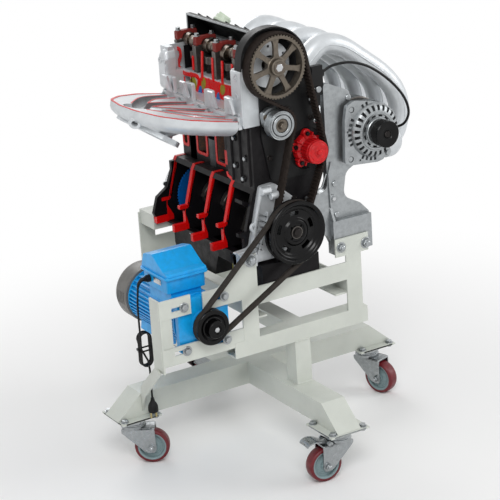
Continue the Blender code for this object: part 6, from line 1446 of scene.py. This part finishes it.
def make_toothed_belt(size):
    wheels = [(0, size["crank_height"], size["crank_sprocket"], 1), (*PUMP, size["pump_wheel"], 1),
              (-size["cam_x"], size["cam_height"], size["sprocket"], 1), (*TENSIONER, size["tensioner"], -1)]
    path = belt_path([(x, z, r + BELT_CLEAR, t) for x, z, r, t in wheels])
    y0, y1 = BELT_FRONT, BELT_BACK
    section = [(-2.5, y0 + 0.3), (-2.2, y0), (2.2, y0), (2.5, y0 + 0.3), (2.5, y1 - 0.3), (2.2, y1), (-2.2, y1),
               (-2.5, y1 - 0.3)]
    parts = [belt_ring(path, section)]
    for here, out in belt_frames(path, size["tooth"]):
        tip = here - out * 4.8
        # Where the belt lies on a wheel its teeth are sunk in the wheel's gaps
        if all((tip - Vector((x, z))).length >= r + 1.2 for x, z, r, t in wheels):
            along = Vector((-out.y, out.x))
            tooth = [tuple(here - out * deep + along * wide)
                     for deep, wide in ((2.4, 2.3), (4.6, 1.5), (4.6, -1.5), (2.4, -2.3))]
            parts.append(prism("Y", tooth, y0 + 0.2, y1 - 0.2))
    piece("toothed_belt", parts, "cloth_faced_rubber", "stand", "timing_belt", sharp=50)


def make_cam_wheel(size):
    x, z, r = -size["cam_x"], size["cam_height"], size["sprocket"]
    front, back, middle_y = BELT_FRONT - 1.0, BELT_BACK + 1.0, -57.0
    low = front - 6.4
    rim = prism("Y", gear_outline(x, z, r - 2.2, r + 0.3, 57), front, back)
    cut(rim, rod("Y", x, z, r - 7.5, front - 5, back + 5, 96))
    lip = turned("Y", x, z, pane(r - 8.4, r - 2.4, front - 0.9, front + 1), 96)
    side = [(12, 8.5), (22, 6.6), (34, 5.3), (48, 5.6), (56, 7.4), (r - 6.5, 11.5)]
    spokes = [prism("Y", spoke(x, z, turn, side), middle_y - 3.5, middle_y + 3.5) for turn in turns(7, 90)]
    hub = turned("Y", x, z, [(0, low + 1), (13, low + 1), (13, low + 0.4), (17, low + 0.4), (18, low + 1.6),
                             (18, back), (13, back), (0, back)], 64)
    cup = turned("Y", x, z, [(13.5, middle_y - 4.4), (21, middle_y - 4.4), (23, middle_y - 3), (23, middle_y + 3),
                             (13.5, middle_y + 3)], 64)
    piece("cam_wheel", [rim, lip, hub, cup, *spokes], "sintered_steel", "cam", "cam_sprocket", bevel=0.6)
    piece("cam_bolt", hex_bolt((x, low + 1.2, z), FORWARD, 15, 2.4), "machined_steel", "cam")
    # The head's silver end plate shows behind the spokes
    plate = turned("Y", x, z, [(20, -31), (49, -31), (50, -30), (50, -24.6), (20, -24.6)], 72)
    cut(plate, *[rod("Y", *around(x, z, 40, t), 3, -40, -20, 20) for t in (0.5, 1.6, 2.6, 3.7, 4.8, 5.8)])
    piece("cam_end_plate", plate, "silver_painted_casting", bevel=0.5)


def make_tensioner(size):
    x, z = TENSIONER
    r = size["tensioner"]
    roller = turned("Y", x, z, [
        (8.6, -60), (14.6, -60), (15.4, -65), (16.2, -65.8), (21.8, -65.8), (22.6, -65), (23.2, -60.5),
        (24.6, -60.5), (25.2, -64.6), (28.0, -64.6), (28.6, -62.5), (29.6, -62.5), (r, -63.2), (r, -40.6),
        (29, -40.2), (8.6, -40.2)], 72)
    piece("tensioner_roller", roller, "die_cast_aluminium", "tensioner", "tensioner_pulley", bevel=0.3)
    seal = turned("Y", x, z, [(8.6, -63.2), (14.2, -63.2), (14.2, -59), (8.6, -59)], 48)
    piece("tensioner_seal", seal, "sintered_steel", "tensioner")
    arm = [(x - 32, z + 26), (x - 12, z + 36), (x + 16, z + 34), (x + 30, z + 6), (x + 10, z - 14), (x - 26, z - 8)]
    piece("tensioner_bracket", prism("Y", rounded(arm, 12, 6), -38, -24.6), "die_cast_aluminium", bevel=1.0)
    stud = [rod("Y", x, z, 7.8, -64.4, -30, 32), turned("Y", x, z, pane(0, 8, -66.6, -64.2), 32),
            hex_bolt((x, -66.4, z), FORWARD, 13, 5), hex_bolt((x - 22, -38, z + 16), FORWARD, 10, 4, 8)]
    piece("tensioner_stud", stud, "sintered_steel")


def make_pump(size):
    x, z = PUMP
    r = size["pump_wheel"]
    wheel = prism("Y", gear_outline(x, z, r - 2.4, r + 0.3, 21), -64, -40.4)
    disc = turned("Y", x, z, [(0, -75), (9, -75), (10, -73.6), (19, -73.6), (20.4, -72), (r - 1.6, -72),
                              (r - 0.6, -71), (r - 0.6, -66), (r + 0.4, -65), (r + 0.4, -64), (0, -64)], 64)
    dome = turned("Y", x, z, [(0, -77.6), (4.6, -77.6), (5.6, -76), (5.6, -74.5), (0, -74.5)], 32)
    piece("pump_wheel_toothed", [wheel, disc, dome], "pump_enamel", "pump_wheel", "water_pump_wheel", bevel=0.5)
    parts = [turned("Y", x, z, [(8, -36.8), (24, -36.8), (26, -35.4), (31, -33.5), (33.5, -27), (34.5, -20.9),
                                (8, -20.9)], 64)]
    spots = circle(x, z, 34.5, 5, 20)
    foot = [(0, -31.5), (8.6, -31.5), (9.8, -30), (9.8, -20.9), (0, -20.9)]
    parts += [turned("Y", a, b, foot, 28) for a, b in spots]
    parts += [prism("Y", spoke(x, z, turn, [(22, 1.4), (38, 1.4)]), -36.6, -21) for turn in turns(10)]
    piece("pump_casting", parts, "pump_enamel", "stand", "water_pump_housing", bevel=0.8)
    piece("pump_bolts", [hex_bolt((a, -31.4, b), FORWARD, 9, 5) for a, b in spots], "black_oxide_steel")


class ENGINE_OT_belt_drive(bpy.types.Operator):
    """Makes the V-belt and the pulleys on the crankshaft and the motor"""
    bl_idname = "engine.belt_drive"
    bl_label = "V-belt drive"

    def execute(self, context):
        size = sizes()
        z, r = size["crank_height"], size["crank_pulley"]
        y = V_BELT_Y
        path = belt_path([(0, z, r, 1), (*MOTOR, size["motor_pulley"], 1)])
        section = [(-8.5, y - 4.0), (-8.2, y - 4.3), (-0.8, y - 6.5), (0, y - 6.0), (0.0, y + 6.0), (-0.8, y + 6.5),
                   (-8.2, y + 4.3), (-8.5, y + 4.0)]
        piece("wrapped_v_belt", belt_ring(path, section), "wrapped_belt_rubber", "stand", "v_belt", sharp=50)
        make_crank_pulley(z, r)
        make_motor_pulley(size["motor_pulley"])
        return {"FINISHED"}


def make_crank_pulley(z, r):
    y = V_BELT_Y
    wheel = turned("Y", 0, z, [
        (0, -66), (66, -66), (r - 1, -66), (r, -67), (r, y + 6.8), (r - 10.5, y + 3.9), (r - 10.5, y - 3.9),
        (r, y - 6.8), (r, -91), (r - 1, -92), (64, -92), (62.5, -91), (61, -88.5), (57, -83.5), (55, -82.6),
        (52, -82.6), (49, -80), (33, -80), (30, -82), (28, -85), (26, -86.2), (21, -86.2), (20, -85), (12, -85),
        (0, -85)], 96)
    cut(wheel, *[prism("Y", arc_slot(0, z, 37.5, 46.5, 90 + 72 * i, 15), -95, -60) for i in range(5)])
    cut(wheel, *[rod("Y", a, b, 2.6, -90, -82, 20) for a, b in circle(0, z, 17, 4, 45)])
    piece("crank_wheel", wheel, "gloss_black_steel", "crank", "crank_pulley", bevel=0.4)
    collar = turned("Y", 0, z, [(0, -88.6), (12, -88.6), (12.6, -87.8), (12.6, -84.8), (0, -84.8)], 40)
    bolt = hex_bolt((0, -88.4, z), FORWARD, 17, 3.4)
    piece("crank_bolt", [collar, bolt], "black_oxide_steel", "crank", bevel=0.4)


def make_motor_pulley(r):
    x, z = MOTOR
    y = V_BELT_Y
    wheel = turned("Y", x, z, [
        (0, -64), (22, -64), (22, -69.5), (r - 1, -69.5), (r, -70.4), (r, y + 6.8), (r - 10.5, y + 3.9),
        (r - 10.5, y - 3.9), (r, y - 6.8), (r, -89.6), (r - 1.2, -90.8), (30, -90.8), (28, -89), (24, -88),
        (21.5, -89), (20, -93), (20, -105.5), (18.6, -107.4), (10, -107.4), (8.6, -105), (0, -105)], 80)
    piece("motor_wheel", wheel, "gloss_black_steel", "motor_shaft", "motor_pulley", bevel=0.5)
    screw = turned("X", -99, z, [(3.4, x + 19), (3.4, x + 20.6), (1.6, x + 20.6), (1.6, x + 19)], 20)
    piece("motor_wheel_bolt", [hex_bolt((x, -105, z), FORWARD, 10, 2.4), screw], "machined_steel", "motor_shaft")


# Outline of the black belt guard, as shares of its width and height, and of the castings
GUARD = ((0, .760), (.045, .900), (.21, .985), (.45, 1), (.66, .945), (.80, .820), (.87, .610), (1, .370), (1, .130),
         (.80, 0), (.36, 0), (.27, .300), (.27, .640), (.16, .760))
LOWER_COVER = ((0, 0), (.55, 0), (.86, .10), (1, .42), (.90, .75), (.62, 1), (.42, .99), (.34, .68), (.22, .21),
               (0, .19))
EYE = (-73, 556)
BRACKET = ((.33, 1), (.76, .92), (.84, .50), (.64, .46), (.58, .32), (.86, .26), (1, .20), (1, 0), (.42, 0),
           (.28, .12), (0, .12), (0, .36), (.32, .38), (.33, .70))


def scaled(shares, left, right, low, high):
    return [(left + (right - left) * a, low + (high - low) * b) for a, b in shares]


class ENGINE_OT_front_castings(bpy.types.Operator):
    """Makes the belt guard, the cam cover, the lower cover, the side bracket and the sensor"""
    bl_idname = "engine.front_castings"
    bl_label = "Covers and brackets"

    def execute(self, context):
        size = sizes()
        make_guard(size)
        make_cam_cover()
        make_lower_cover()
        make_side_bracket()
        make_sensor()
        return {"FINISHED"}


def make_guard(size):
    outline = scaled(GUARD, -92, 112, 645, 990)
    plate = prism("Y", rounded(outline, [18, 36, 40, 40, 40, 40, 30, 30, 20, 16, 16, 20, 20, 12], 6), -24.3, -20.8)
    cut(plate, rod("Y", *PUMP, 46.5, -30, -10, 64), rod("Y", -size["cam_x"], size["cam_height"], 15, -30, -10, 48))
    edge = [(a + 1.8 if a < -60 else a, b - (2.6 if b > 950 else 0.4)) for a, b in outline[:7]]
    rim = band(smooth_line(edge, 60), 3, -46, -21)
    piece("belt_guard", [plate, rim], "moulded_abs", "stand", "timing_backplate", bevel=0.7)
    spots = ((60, 850), (30, 800), (90, 770), (20, 670), (-20, 700), (88, 825))
    piece("guard_bolts", [hex_bolt((x, -24.2, z), FORWARD, 9, 4, 7) for x, z in spots], "black_oxide_steel")


def make_cam_cover():
    """Half a cover, sawn along its ridge, which falls away to the intake side."""
    front, rear, low = -13.8, 329.4, 900.4
    line = rounded([(-2, 961.5), (10, 961), (40, 938), (66, 914), (72, low)], [0, 8, 6, 14, 0], 6)
    inner = [(-2, 957.5), (8, 957), (38, 934), (62, 912), (67, low)]
    wall = [*line, (-2, low)]
    shell = [prism("Y", line + inner[::-1], front, rear), prism("Y", wall, 325.2, 329.3),
             prism("Y", wall, -13.7, -9.5)]
    rib = [(12, 962), (40, 940.4), (66, 915)]
    shell += [band(rib, 3, y - 1.6, y + 1.6) for y in (20, 60, 100, 140, 180, 262, 300)]
    piece("cam_cover_moulded", shell, "moulded_abs", "stand", "cam_cover", bevel=1.0)
    strip = [box(-3.2, -1.9, -13.6, 329.2, 957.4, 961.8), box(-3.2, -1.9, 325, 329.2, 902, 958)]
    piece("cam_cover_edge", strip, "die_cast_aluminium", bevel=0.3)
    cap = turned("Z", 0, 0, [(0, 0), (19, 0), (20, 2), (20, 5), (17.6, 7), (17.6, 15), (16, 17), (6, 17.6),
                             (0, 17.6)], 48)
    cap = aimed(merged(cap, box(-16, 16, -2.4, 2.4, 17, 21)), (24, 222, 950), (0.64, 0, 0.77))
    piece("filler_cap", cap, "pale_cap_plastic", bevel=0.8)
    bolts = [hex_bolt((52, y, 929.5), (0.66, 0, 0.75), 9, 3) for y in (40, 120, 280)]
    piece("cam_cover_bolts", bolts, "zinc_plated_steel")


def make_lower_cover():
    """The oil pump's silver casting round the crankshaft's front, with its webs and its pipe stubs."""
    edge = scaled(LOWER_COVER, -125, 48, 476, 645)
    body = prism("Y", rounded(edge, [4, 6, 20, 30, 26, 14, 8, 20, 12, 3], 6), -34, -20.9)
    x, z = EYE
    cut(body, rod("Y", 0, sizes()["crank_height"], 26, -60, 0, 64), rod("Y", x, z, 6, -60, 0, 32))
    parts = [body, box(-125, -84, -53.6, -21, 476, 507.8)]
    parts.append(turned("Y", x, z, [(6, -36.4), (11, -36.4), (12, -35), (12, -30), (6, -30)], 40))
    for a, b in ((-46, 636), (-24, 622)):
        stub = [(0, a - 12), (7.6, a - 12), (8.6, a - 11), (8.6, a + 10), (7.6, a + 11), (0, a + 11)]
        parts.append(turned("X", -44, b, stub, 32))
    parts.append(band(edge[9:5:-1], 4, -41, -33))
    parts.append(band([(-78, 486), (-66, 512), (-50, 545), (-40, 585)], 3.2, -40, -33))
    for t in np.linspace(0.05, 0.95, 7):
        a, b = Vector(edge[8]).lerp(Vector(edge[7]), t)
        parts.append(prism("Y", [(a, b - 1.3), (a + 24, b - 11), (a + 24, b - 13.6), (a, b + 1.3)], -39, -33))
    inner = [(edge[1][0] - 6, 480), (edge[2][0] - 14, 500), (edge[3][0] - 20, 548)]
    parts.append(band(inner, 4, -38, -33))
    piece("lower_cover", parts, "silver_painted_casting", "stand", "front_cover", bevel=0.8)
    bolts = [hex_bolt((a, -34, b), FORWARD, 9, 4, 7) for a, b in ((30, 600), (-4, 630))]
    bolts.append(turned("Y", x, z, pane(0, 5.8, -33, -31), 24))
    piece("lower_cover_bolts", bolts, "black_oxide_steel")


def make_side_bracket():
    outline = scaled(BRACKET, 64, 222, 452, 846)
    outline = rounded(outline, [10, 14, 8, 24, 26, 10, 4, 3, 8, 16, 4, 4, 20, 8], 6)
    parts = [prism("Y", outline, -39.6, -26.6), prism("Y", outline, -26.8, -24.7)]
    for each in parts:
        cut(each, rod("Y", *ALTERNATOR, 63, -60, 0, 80), rod("Y", *PUMP, 45.5, -60, 0, 64))
    parts += [box(116.2, 218.8, -53.6, -30, 452.2, 529.8), box(64.2, 94.8, -24.8, -20.9, 496, 570)]
    parts.append(prism("X", [(-53.4, 452.4), (-53.4, 529), (-39, 560), (-30, 560), (-30, 452.4)], 118, 124))
    for x, z, r in ((136, 540, 7), (127, 580, 9), (134, 612, 7), (94, 765, 7), (86, 815, 8), (104, 832, 7),
                    (180, 800, 7), (188, 700, 6)):
        parts.append(turned("Y", x, z, [(0, -42.6), (r - 1, -42.6), (r, -41.6), (r, -39), (0, -39)], 32))
    parts.append(band([(120, 560), (118, 640), (126, 664)], 3.4, -43.4, -39))
    parts.append(band([(70, 600), (100, 612), (112, 640)], 3, -42, -39))
    parts.append(band([(92, 838), (92, 770)], 3, -42.4, -39))
    piece("side_bracket_cast", parts, "die_cast_aluminium", "stand", "side_bracket", bevel=1.0)
    bolts = [hex_bolt((x, -42.5, z), FORWARD, 9, 4.5) for x, z in ((127, 580), (94, 765), (86, 815))]
    piece("side_bracket_bolts", bolts, "machined_steel")


def make_sensor():
    """The black sensor beside the belt guard, its block and its lead over the runners."""
    parts = [prism("Y", rounded([(88, 818), (116, 818), (119, 846), (119, 884), (91, 884)], 3), -38, -25),
             prism("Y", rounded([(94, 794), (110, 794), (112, 820), (92, 820)], 2), -35, -27),
             box(110, 124, -36, -27, 858, 872)]
    piece("sensor", parts, "moulded_abs", bevel=0.8)
    knots = [(121, -31, 865), (146, -34, 876), (190, -37, 876), (238, -40, 858), (288, -42, 820), (326, -42, 776),
             (342, -38, 736), (340, -22, 706), (328, 6, 691)]
    piece("sensor_lead", tube(smooth_path(knots, 60), 3.0, 16), "pvc_sheath", sharp=80)


class ENGINE_OT_alternator(bpy.types.Operator):
    """Makes the alternator with its vents, lugs and ribbed pulley"""
    bl_idname = "engine.alternator"
    bl_label = "Alternator"

    def execute(self, context):
        make_alternator_body(*ALTERNATOR, sizes()["alternator"])
        make_alternator_pulley(*ALTERNATOR)
        return {"FINISHED"}


def make_alternator_body(x, z, r):
    shell = turned("Y", x, z, [
        (14, -78), (29, -78), (30.5, -76.5), (31, -73), (37, -72.4), (38, -74.2), (42, -74.2), (43.5, -72),
        (52, -70.5), (r - 5, -67), (r - 1, -61), (r, -55), (r, -22), (r - 2.4, -21), (r - 2.4, 6), (r, 7), (r, 30),
        (r - 2, 37), (r - 9, 43), (r - 16, 45), (0, 45), (0, 38), (14, 38)], 96)
    cut(shell, *alternator_vents(x, z, r))

    def dark(centre, normal):
        """1 for the bare laminations, 2 for painted shade: the vents' blind floors and walls are made black, so that
        they read as deep holes.
        """
        y, flat = centre.y, hypot(centre.x - x, centre.z - z)
        if -22 < y < 7 and flat > r - 4:
            return 1
        floor = abs(normal.y) > 0.8 and (-67 < y < -59 or 37.5 < y < 40)
        return 2 if floor or (-57 < y < -37 and flat < r - 6) else 0

    turn = radians(300)
    lug = around(x, z, 68, turn)
    eye = [(4.4, -54.8), (11.6, -54.8), (12.8, -53.6), (12.8, -41), (11.6, -40), (4.4, -40)]
    parts = [shell, turned("Y", *lug, eye, 36), prism("Y", spoke(x, z, turn, [(50, 17), (66, 11)]), -53, -41.5),
             square_bracket(x, z)]
    # The black oxide finish paints shade on the vents' blind floors and walls
    piece("alternator_housing", parts, ("die_cast_aluminium", "forged_steel", "black_oxide_steel"), "stand",
          "alternator_body", bevel=0.5, rule=dark)
    bolts = [turned("Y", x + a, z + b, pane(0, 5.6, -57.4, -54), 28) for a, b in ((-57, 56), (-64, -55))]
    bolts.append(hex_bolt((lug[0], -54.8, lug[1]), FORWARD, 11, 6, 9))
    bolts += [hex_bolt((a, 40.5, b), BACK, 8, 3) for a, b in circle(x, z, 55, 3, 35)]
    piece("alternator_bolts", bolts, "zinc_plated_steel")


def alternator_vents(x, z, r):
    slots = [prism("Y", arc_slot(x, z, 32.5, 36.6, 15 + 30 * i, 9), -90, -66) for i in range(12)]
    for i in range(24):
        slots.append(prism("Y", arc_slot(x, z, 46, 57.5, 7.5 + 15 * i, 3.6), -90, -60))
        vent = turned_by(box(r - 8, r + 4, -58, -36, -3.0, 3.0), -15 * i, "Y")
        slots.append(moved(vent, Matrix.Translation((x, 0, z))))
    return slots + [prism("Y", arc_slot(x, z, 34, 50, 20 * i, 5.5), 38, 60) for i in range(18)]


def square_bracket(x, z):
    """The end bracket: squared off toward the engine, with short slots round the rotor."""
    outline = ((-76, 36), (-70, 66), (-50, 75), (-12, 68), (28, 56), (54, 34), (60, 6), (54, -28), (34, -54),
               (22, -72), (6, -75), (-62, -69), (-80, -62), (-79, -40))
    outline = rounded([(x + a, z + b) for a, b in outline], [10, 12, 12, 12, 12, 16, 16, 16, 12, 6, 8, 10, 10, 10], 5)
    holes = [rod("Y", x, z, 56, -80, -40, 72)]
    holes += [prism("Y", arc_slot(x, z, 59.5, 69, degrees, 2.6), -80, -40)
              for degrees in (105, 115, 150, 160, 170, 180, 190, 200, 240, 250, 260, 270)]
    holes += [rod("Y", x + a, z + b, r, -80, -54.5, 28)
              for a, b, r in ((-57, 56, 7), (-64, -55, 7), (-70, 8, 2.4), (-40, -62, 2.4))]
    return cut(prism("Y", outline, -58.8, -49), *holes)


def make_alternator_pulley(x, z):
    r = 29.7
    profile = [(0, -106), (9, -106), (9, -109), (12.5, -109), (13.5, -110), (22, -111.6), (r - 1, -111.6),
               (r, -110.6), (r, -109)]
    for y in (-107.4 + i * 3.5 for i in range(5)):
        profile += [(r, y), (r - 2.6, y + 1.6), (r, y + 3.2)]
    profile += [(r, -88.4), (12, -88.4), (12, -74), (0, -74)]
    piece("alternator_wheel", turned("Y", x, z, profile, 72), "gloss_black_steel", "alternator_rotor",
          "alternator_pulley", sharp=30)
    nut = hex_bolt((x, -106, z), FORWARD, 14, 5)
    piece("alternator_nut", nut, "black_oxide_steel", "alternator_rotor", bevel=0.3)


EXHAUST_EDGE = (-82.3, 790.0)
EXHAUST_SHARES = ((0, 0), (.32, 0), (.62, .03), (.84, .13), (.97, .32), (1, .52), (.94, .72), (.72, .86),
                  (.38, .97), (0, 1))
EXHAUST_MIDDLE, EXHAUST_REACH, EXHAUST_TILT = 153.0, 200.0, 12.0
CHANNEL = 14.5


class ENGINE_OT_exhaust(bpy.types.Operator):
    """Makes the exhaust manifold: sawn open along its channels, with its tabs and its outlet"""
    bl_idname = "engine.exhaust"
    bl_label = "Exhaust manifold"

    def execute(self, context):
        make_exhaust_casting()
        make_exhaust_flange()
        make_port_bridges()
        make_outlet()
        return {"FINISHED"}


def make_exhaust_casting():
    edge, top = EXHAUST_EDGE
    outline = [(edge - EXHAUST_REACH * a, -12 + 330 * b) for a, b in EXHAUST_SHARES]
    outline = rounded(outline, [0, 60, 60, 60, 60, 60, 60, 60, 60, 0], 6)
    centre = Vector((edge - 70, EXHAUST_MIDDLE))
    levels = ((0, 1.0), (-13, 1.0), (-20, 0.985), (-27, 0.945), (-33, 0.88), (-38, 0.78))
    body = skin([[(edge + (a - edge) * share, EXHAUST_MIDDLE + (b - EXHAUST_MIDDLE) * share, top + depth)
                  for a, b in outline] for depth, share in levels])
    cut(body, *exhaust_channels())
    inset = [tuple(centre + (Vector(p) - centre) * 0.957) if p[0] < edge - 1 else p for p in outline]
    layer = prism("Z", outline, top - 0.5, top + 0.9)
    cut(layer, prism("Z", inset, top - 4, top + 4), *exhaust_channels())
    red = merged(layer, *exhaust_rims())
    pivot = Matrix.Translation((edge, 0, top))
    turn = pivot @ Matrix.Rotation(radians(EXHAUST_TILT), 4, "Y") @ pivot.inverted()
    back = turn.inverted()

    def inside(centre_point, normal):
        """1 for the bare metal of the channels."""
        level, way = (back @ centre_point).z, back.to_3x3() @ normal
        return 1 if levels[-1][0] + 1.5 < level - top < -1 and way.z > 0.05 else 0

    piece("exhaust_casting", moved(body, turn), ("silver_painted_casting", "die_cast_aluminium"), "stand",
          "exhaust_manifold", bevel=0.8, rule=inside)
    piece("exhaust_sawn_rims", moved(red, turn), "brush_enamel_red")


def make_exhaust_flange():
    parts = [box(-84.2, -75.4, -12, 318, 772, 800)]
    parts += [prism("X", rounded(pane(y - 17, y + 17, 798, 838), [0, 0, 6, 6]), -84.2, -75.4) for y in CYLINDER_YS]
    piece("exhaust_flange", parts, "silver_painted_casting", bevel=0.8)


def exhaust_routes():
    """Centre lines of the four channels, which meet over the outlet."""
    edge, top = EXHAUST_EDGE
    end = (edge - 160, EXHAUST_MIDDLE, top)
    return [smooth_path([(edge + 1, y, top), (edge - 80, y + (EXHAUST_MIDDLE - y) / 4, top), end], 28)
            for y in CYLINDER_YS]


def exhaust_channels():
    edge, top = EXHAUST_EDGE
    tubes = [tube(route, CHANNEL, 32) for route in exhaust_routes()]
    return tubes + [rod("Z", edge - 160, EXHAUST_MIDDLE, 2 * CHANNEL, top - 19, top + 3, 64)]


def exhaust_rims():
    """Thin red lines along both lips of each channel, kept out of its neighbours."""
    edge, top = EXHAUST_EDGE
    hub = Vector((edge - 160, EXHAUST_MIDDLE))
    flat = [[Vector(p[:2]) for p in route] for route in exhaust_routes()]
    lines = []
    for route in flat:
        others = [p for other in flat if other is not route for p in other]
        for side in (-1, 1):
            run = []
            for k, p in enumerate(route):
                along = (route[min(k + 1, len(route) - 1)] - route[max(k - 1, 0)]).normalized()
                lip = p + Vector((-along.y, along.x)) * side * (CHANNEL + 1.6)
                apart = min((lip - q).length for q in others) >= CHANNEL + 0.9
                if apart and (lip - hub).length > 2 * CHANNEL + 1.2:
                    run.append(tuple(lip))
            if len(run) > 2:
                lines.append(band(run, 3.0, top - 0.5, top + 0.8, "Z"))
    return lines


def make_port_bridges():
    """The four silver port bridges that lean outward, and their nuts."""
    parts = []
    for y in (276, 198, 77, 5):
        slab = turned_by(box(-3.2, 3.2, -10.5, 10.5, 0, 39), -15, "Y")
        parts.append(moved(slab, Matrix.Translation((-88, y, 806))))
    piece("port_bridges", parts, "silver_painted_casting", bevel=1.0)
    nuts = [hex_bolt((-84.1, y, 788), LEFT, 11, 7, 9) for y in (-4, 112, 154, 240, 312)]
    piece("exhaust_nuts", nuts, "zinc_plated_steel")


def make_outlet():
    """The bowl under the channels, its short pipe and flange, and a boss beside it."""
    x, y = -205.0, 135.0
    z = 752 + 122.7 * tan(radians(EXHAUST_TILT)) - 21.7
    turn = Matrix.Translation((x - 3, y, z - 5)) @ Matrix.Rotation(radians(35), 4, "Y")
    swing = turn @ Matrix.Rotation(radians(-41), 4, "Z")
    pipe = turned("Z", 0, 0, [(24, 0.2), (34, 0.2), (34, 10), (33.5, 12), (32.5, 20), (33.5, 34), (36, 43), (0, 43),
                              (0, 12), (24, 12)], 64)
    plate = [(-94, -20), (-36, -40), (22, -40), (52, -20), (52, 20), (22, 40), (-36, 40), (-94, 20)]
    plate = cut(prism("Z", rounded(plate, 14), 0.2, 11), rod("Z", 0, 0, 26, -5, 20, 48),
                rod("Z", 42, 0, 5.5, -5, 20, 24), rod("Z", -80, 0, 5.5, -5, 20, 24))
    bowl = skin([[(shift + reach * cos(t), wide * sin(t), low) for t in turns(64)] for low, reach, wide, shift in
                 ((9, 46, 34, -16), (15, 46, 36, -16), (21, 50, 42, -14), (28, 52, 48, -10))])
    boss = turned("Z", 0, 0, [(7, 0), (13, 0), (14, 2), (14, 24), (7, 24)], 40)
    boss = aimed(boss, (-273, 102, 801), (0.62, 0.74, 0.26))
    shapes = [moved(pipe, turn), moved(plate, swing), moved(bowl, turn), boss]
    piece("exhaust_outlet", shapes, "silver_painted_casting", bevel=0.8)


PLENUM = (318, 660)
INTAKE_SHARES = ((0, 0), (.05, 0), (.13, .40), (.28, 1), (.46, .80), (.66, 0), (.84, -.85), (.96, -1.75), (1, -2.7),
                 (.965, -3.55), (.90, -4))


class ENGINE_OT_intake(bpy.types.Operator):
    """Makes the intake manifold: flange, four runners with webs, and plenum"""
    bl_idname = "engine.intake"
    bl_label = "Intake manifold"

    def execute(self, context):
        start_x, start_z, reach, rise, radius = 74.8, 860.0, 287.2, 50.0, 23.8
        line = [(start_x + reach * a, start_z + rise * b) for a, b in INTAKE_SHARES]
        parts = [prism("X", rounded(pane(-1, 310, 829, 887), 10), 70.4, 79.2)]
        radii = [radius * (1 + 0.03 * sin(3.2 * k / 64 * pi)) - 0.8 for k in range(64)]
        collar = [(0, 70.6), (27, 70.6), (27, 82), (24.6, 85), (0, 85)]
        for y in CYLINDER_YS:
            path = smooth_path([(a, y, b) for a, b in line], 64)
            parts.append(tube(path, radii, 40))
            parts.append(tube([(p.x, y - radius + 1.0, p.z) for p in path[4:-6]], 1.6, 10))
            parts.append(turned("X", y, start_z, collar, 48))
        web = smooth_line(line[3:8], 24)
        parts += [band(web, 5, y + 14, y + PITCH - 14) for y in CYLINDER_YS[:-1]]
        plenum = [(0, 0.3), (28, 0.3), (32, 2), (33.8, 6), (33.8, 314), (32, 318), (28, 319.7), (0, 319.7)]
        parts.append(turned("Y", *PLENUM, plenum, 64))
        parts += [turned("Y", *PLENUM, pane(32, 33.9, y - 2, y + 2), 64) for y in (8, 306)]
        piece("intake_casting", parts, "silver_painted_casting", "stand", "intake_manifold", sharp=50)
        heads = [hex_bolt((79.1, y, z), RIGHT, 11, 6, 9) for y in (12, 69.5, 154.5, 239.5, 300) for z in (838, 878)]
        piece("intake_bolts", heads, "zinc_plated_steel")
        return {"FINISHED"}


OPERATORS = (
    ENGINE_OT_stage, ENGINE_OT_cord, ENGINE_OT_stand, ENGINE_OT_casters, ENGINE_OT_motor, ENGINE_OT_block,
    ENGINE_OT_crank_train, ENGINE_OT_head, ENGINE_OT_valve_gear, ENGINE_OT_timing_drive, ENGINE_OT_belt_drive,
    ENGINE_OT_front_castings, ENGINE_OT_alternator, ENGINE_OT_exhaust, ENGINE_OT_intake,
)


class ENGINE_PT_panel(bpy.types.Panel):
    """Lists the sizes, the colours and the steps that build the model"""
    bl_idname = "ENGINE_PT_panel"
    bl_label = "Sectioned engine model"
    bl_space_type = "VIEW_3D"
    bl_region_type = "UI"
    bl_category = "Engine"

    def draw(self, context):
        for group in (context.scene.engine_sizes, context.scene.engine_colours):
            column = self.layout.column(align=True)
            for name in group.__annotations__:
                column.prop(group, name)
        for operator in OPERATORS:
            self.layout.operator(operator.bl_idname)


GROUPS = {"engine_sizes": EngineSizes, "engine_colours": EngineColours}


def register():
    for each in (*GROUPS.values(), *OPERATORS, ENGINE_PT_panel):
        bpy.utils.register_class(each)
    for name, group in GROUPS.items():
        setattr(bpy.types.Scene, name, bpy.props.PointerProperty(type=group))


def unregister():
    for name in GROUPS:
        delattr(bpy.types.Scene, name)
    for each in (*GROUPS.values(), *OPERATORS, ENGINE_PT_panel):
        bpy.utils.unregister_class(each)


def main():
    register()
    for operator in OPERATORS:
        family, name = operator.bl_idname.split(".")
        getattr(getattr(bpy.ops, family), name)()


if __name__ == "__main__":
    main()
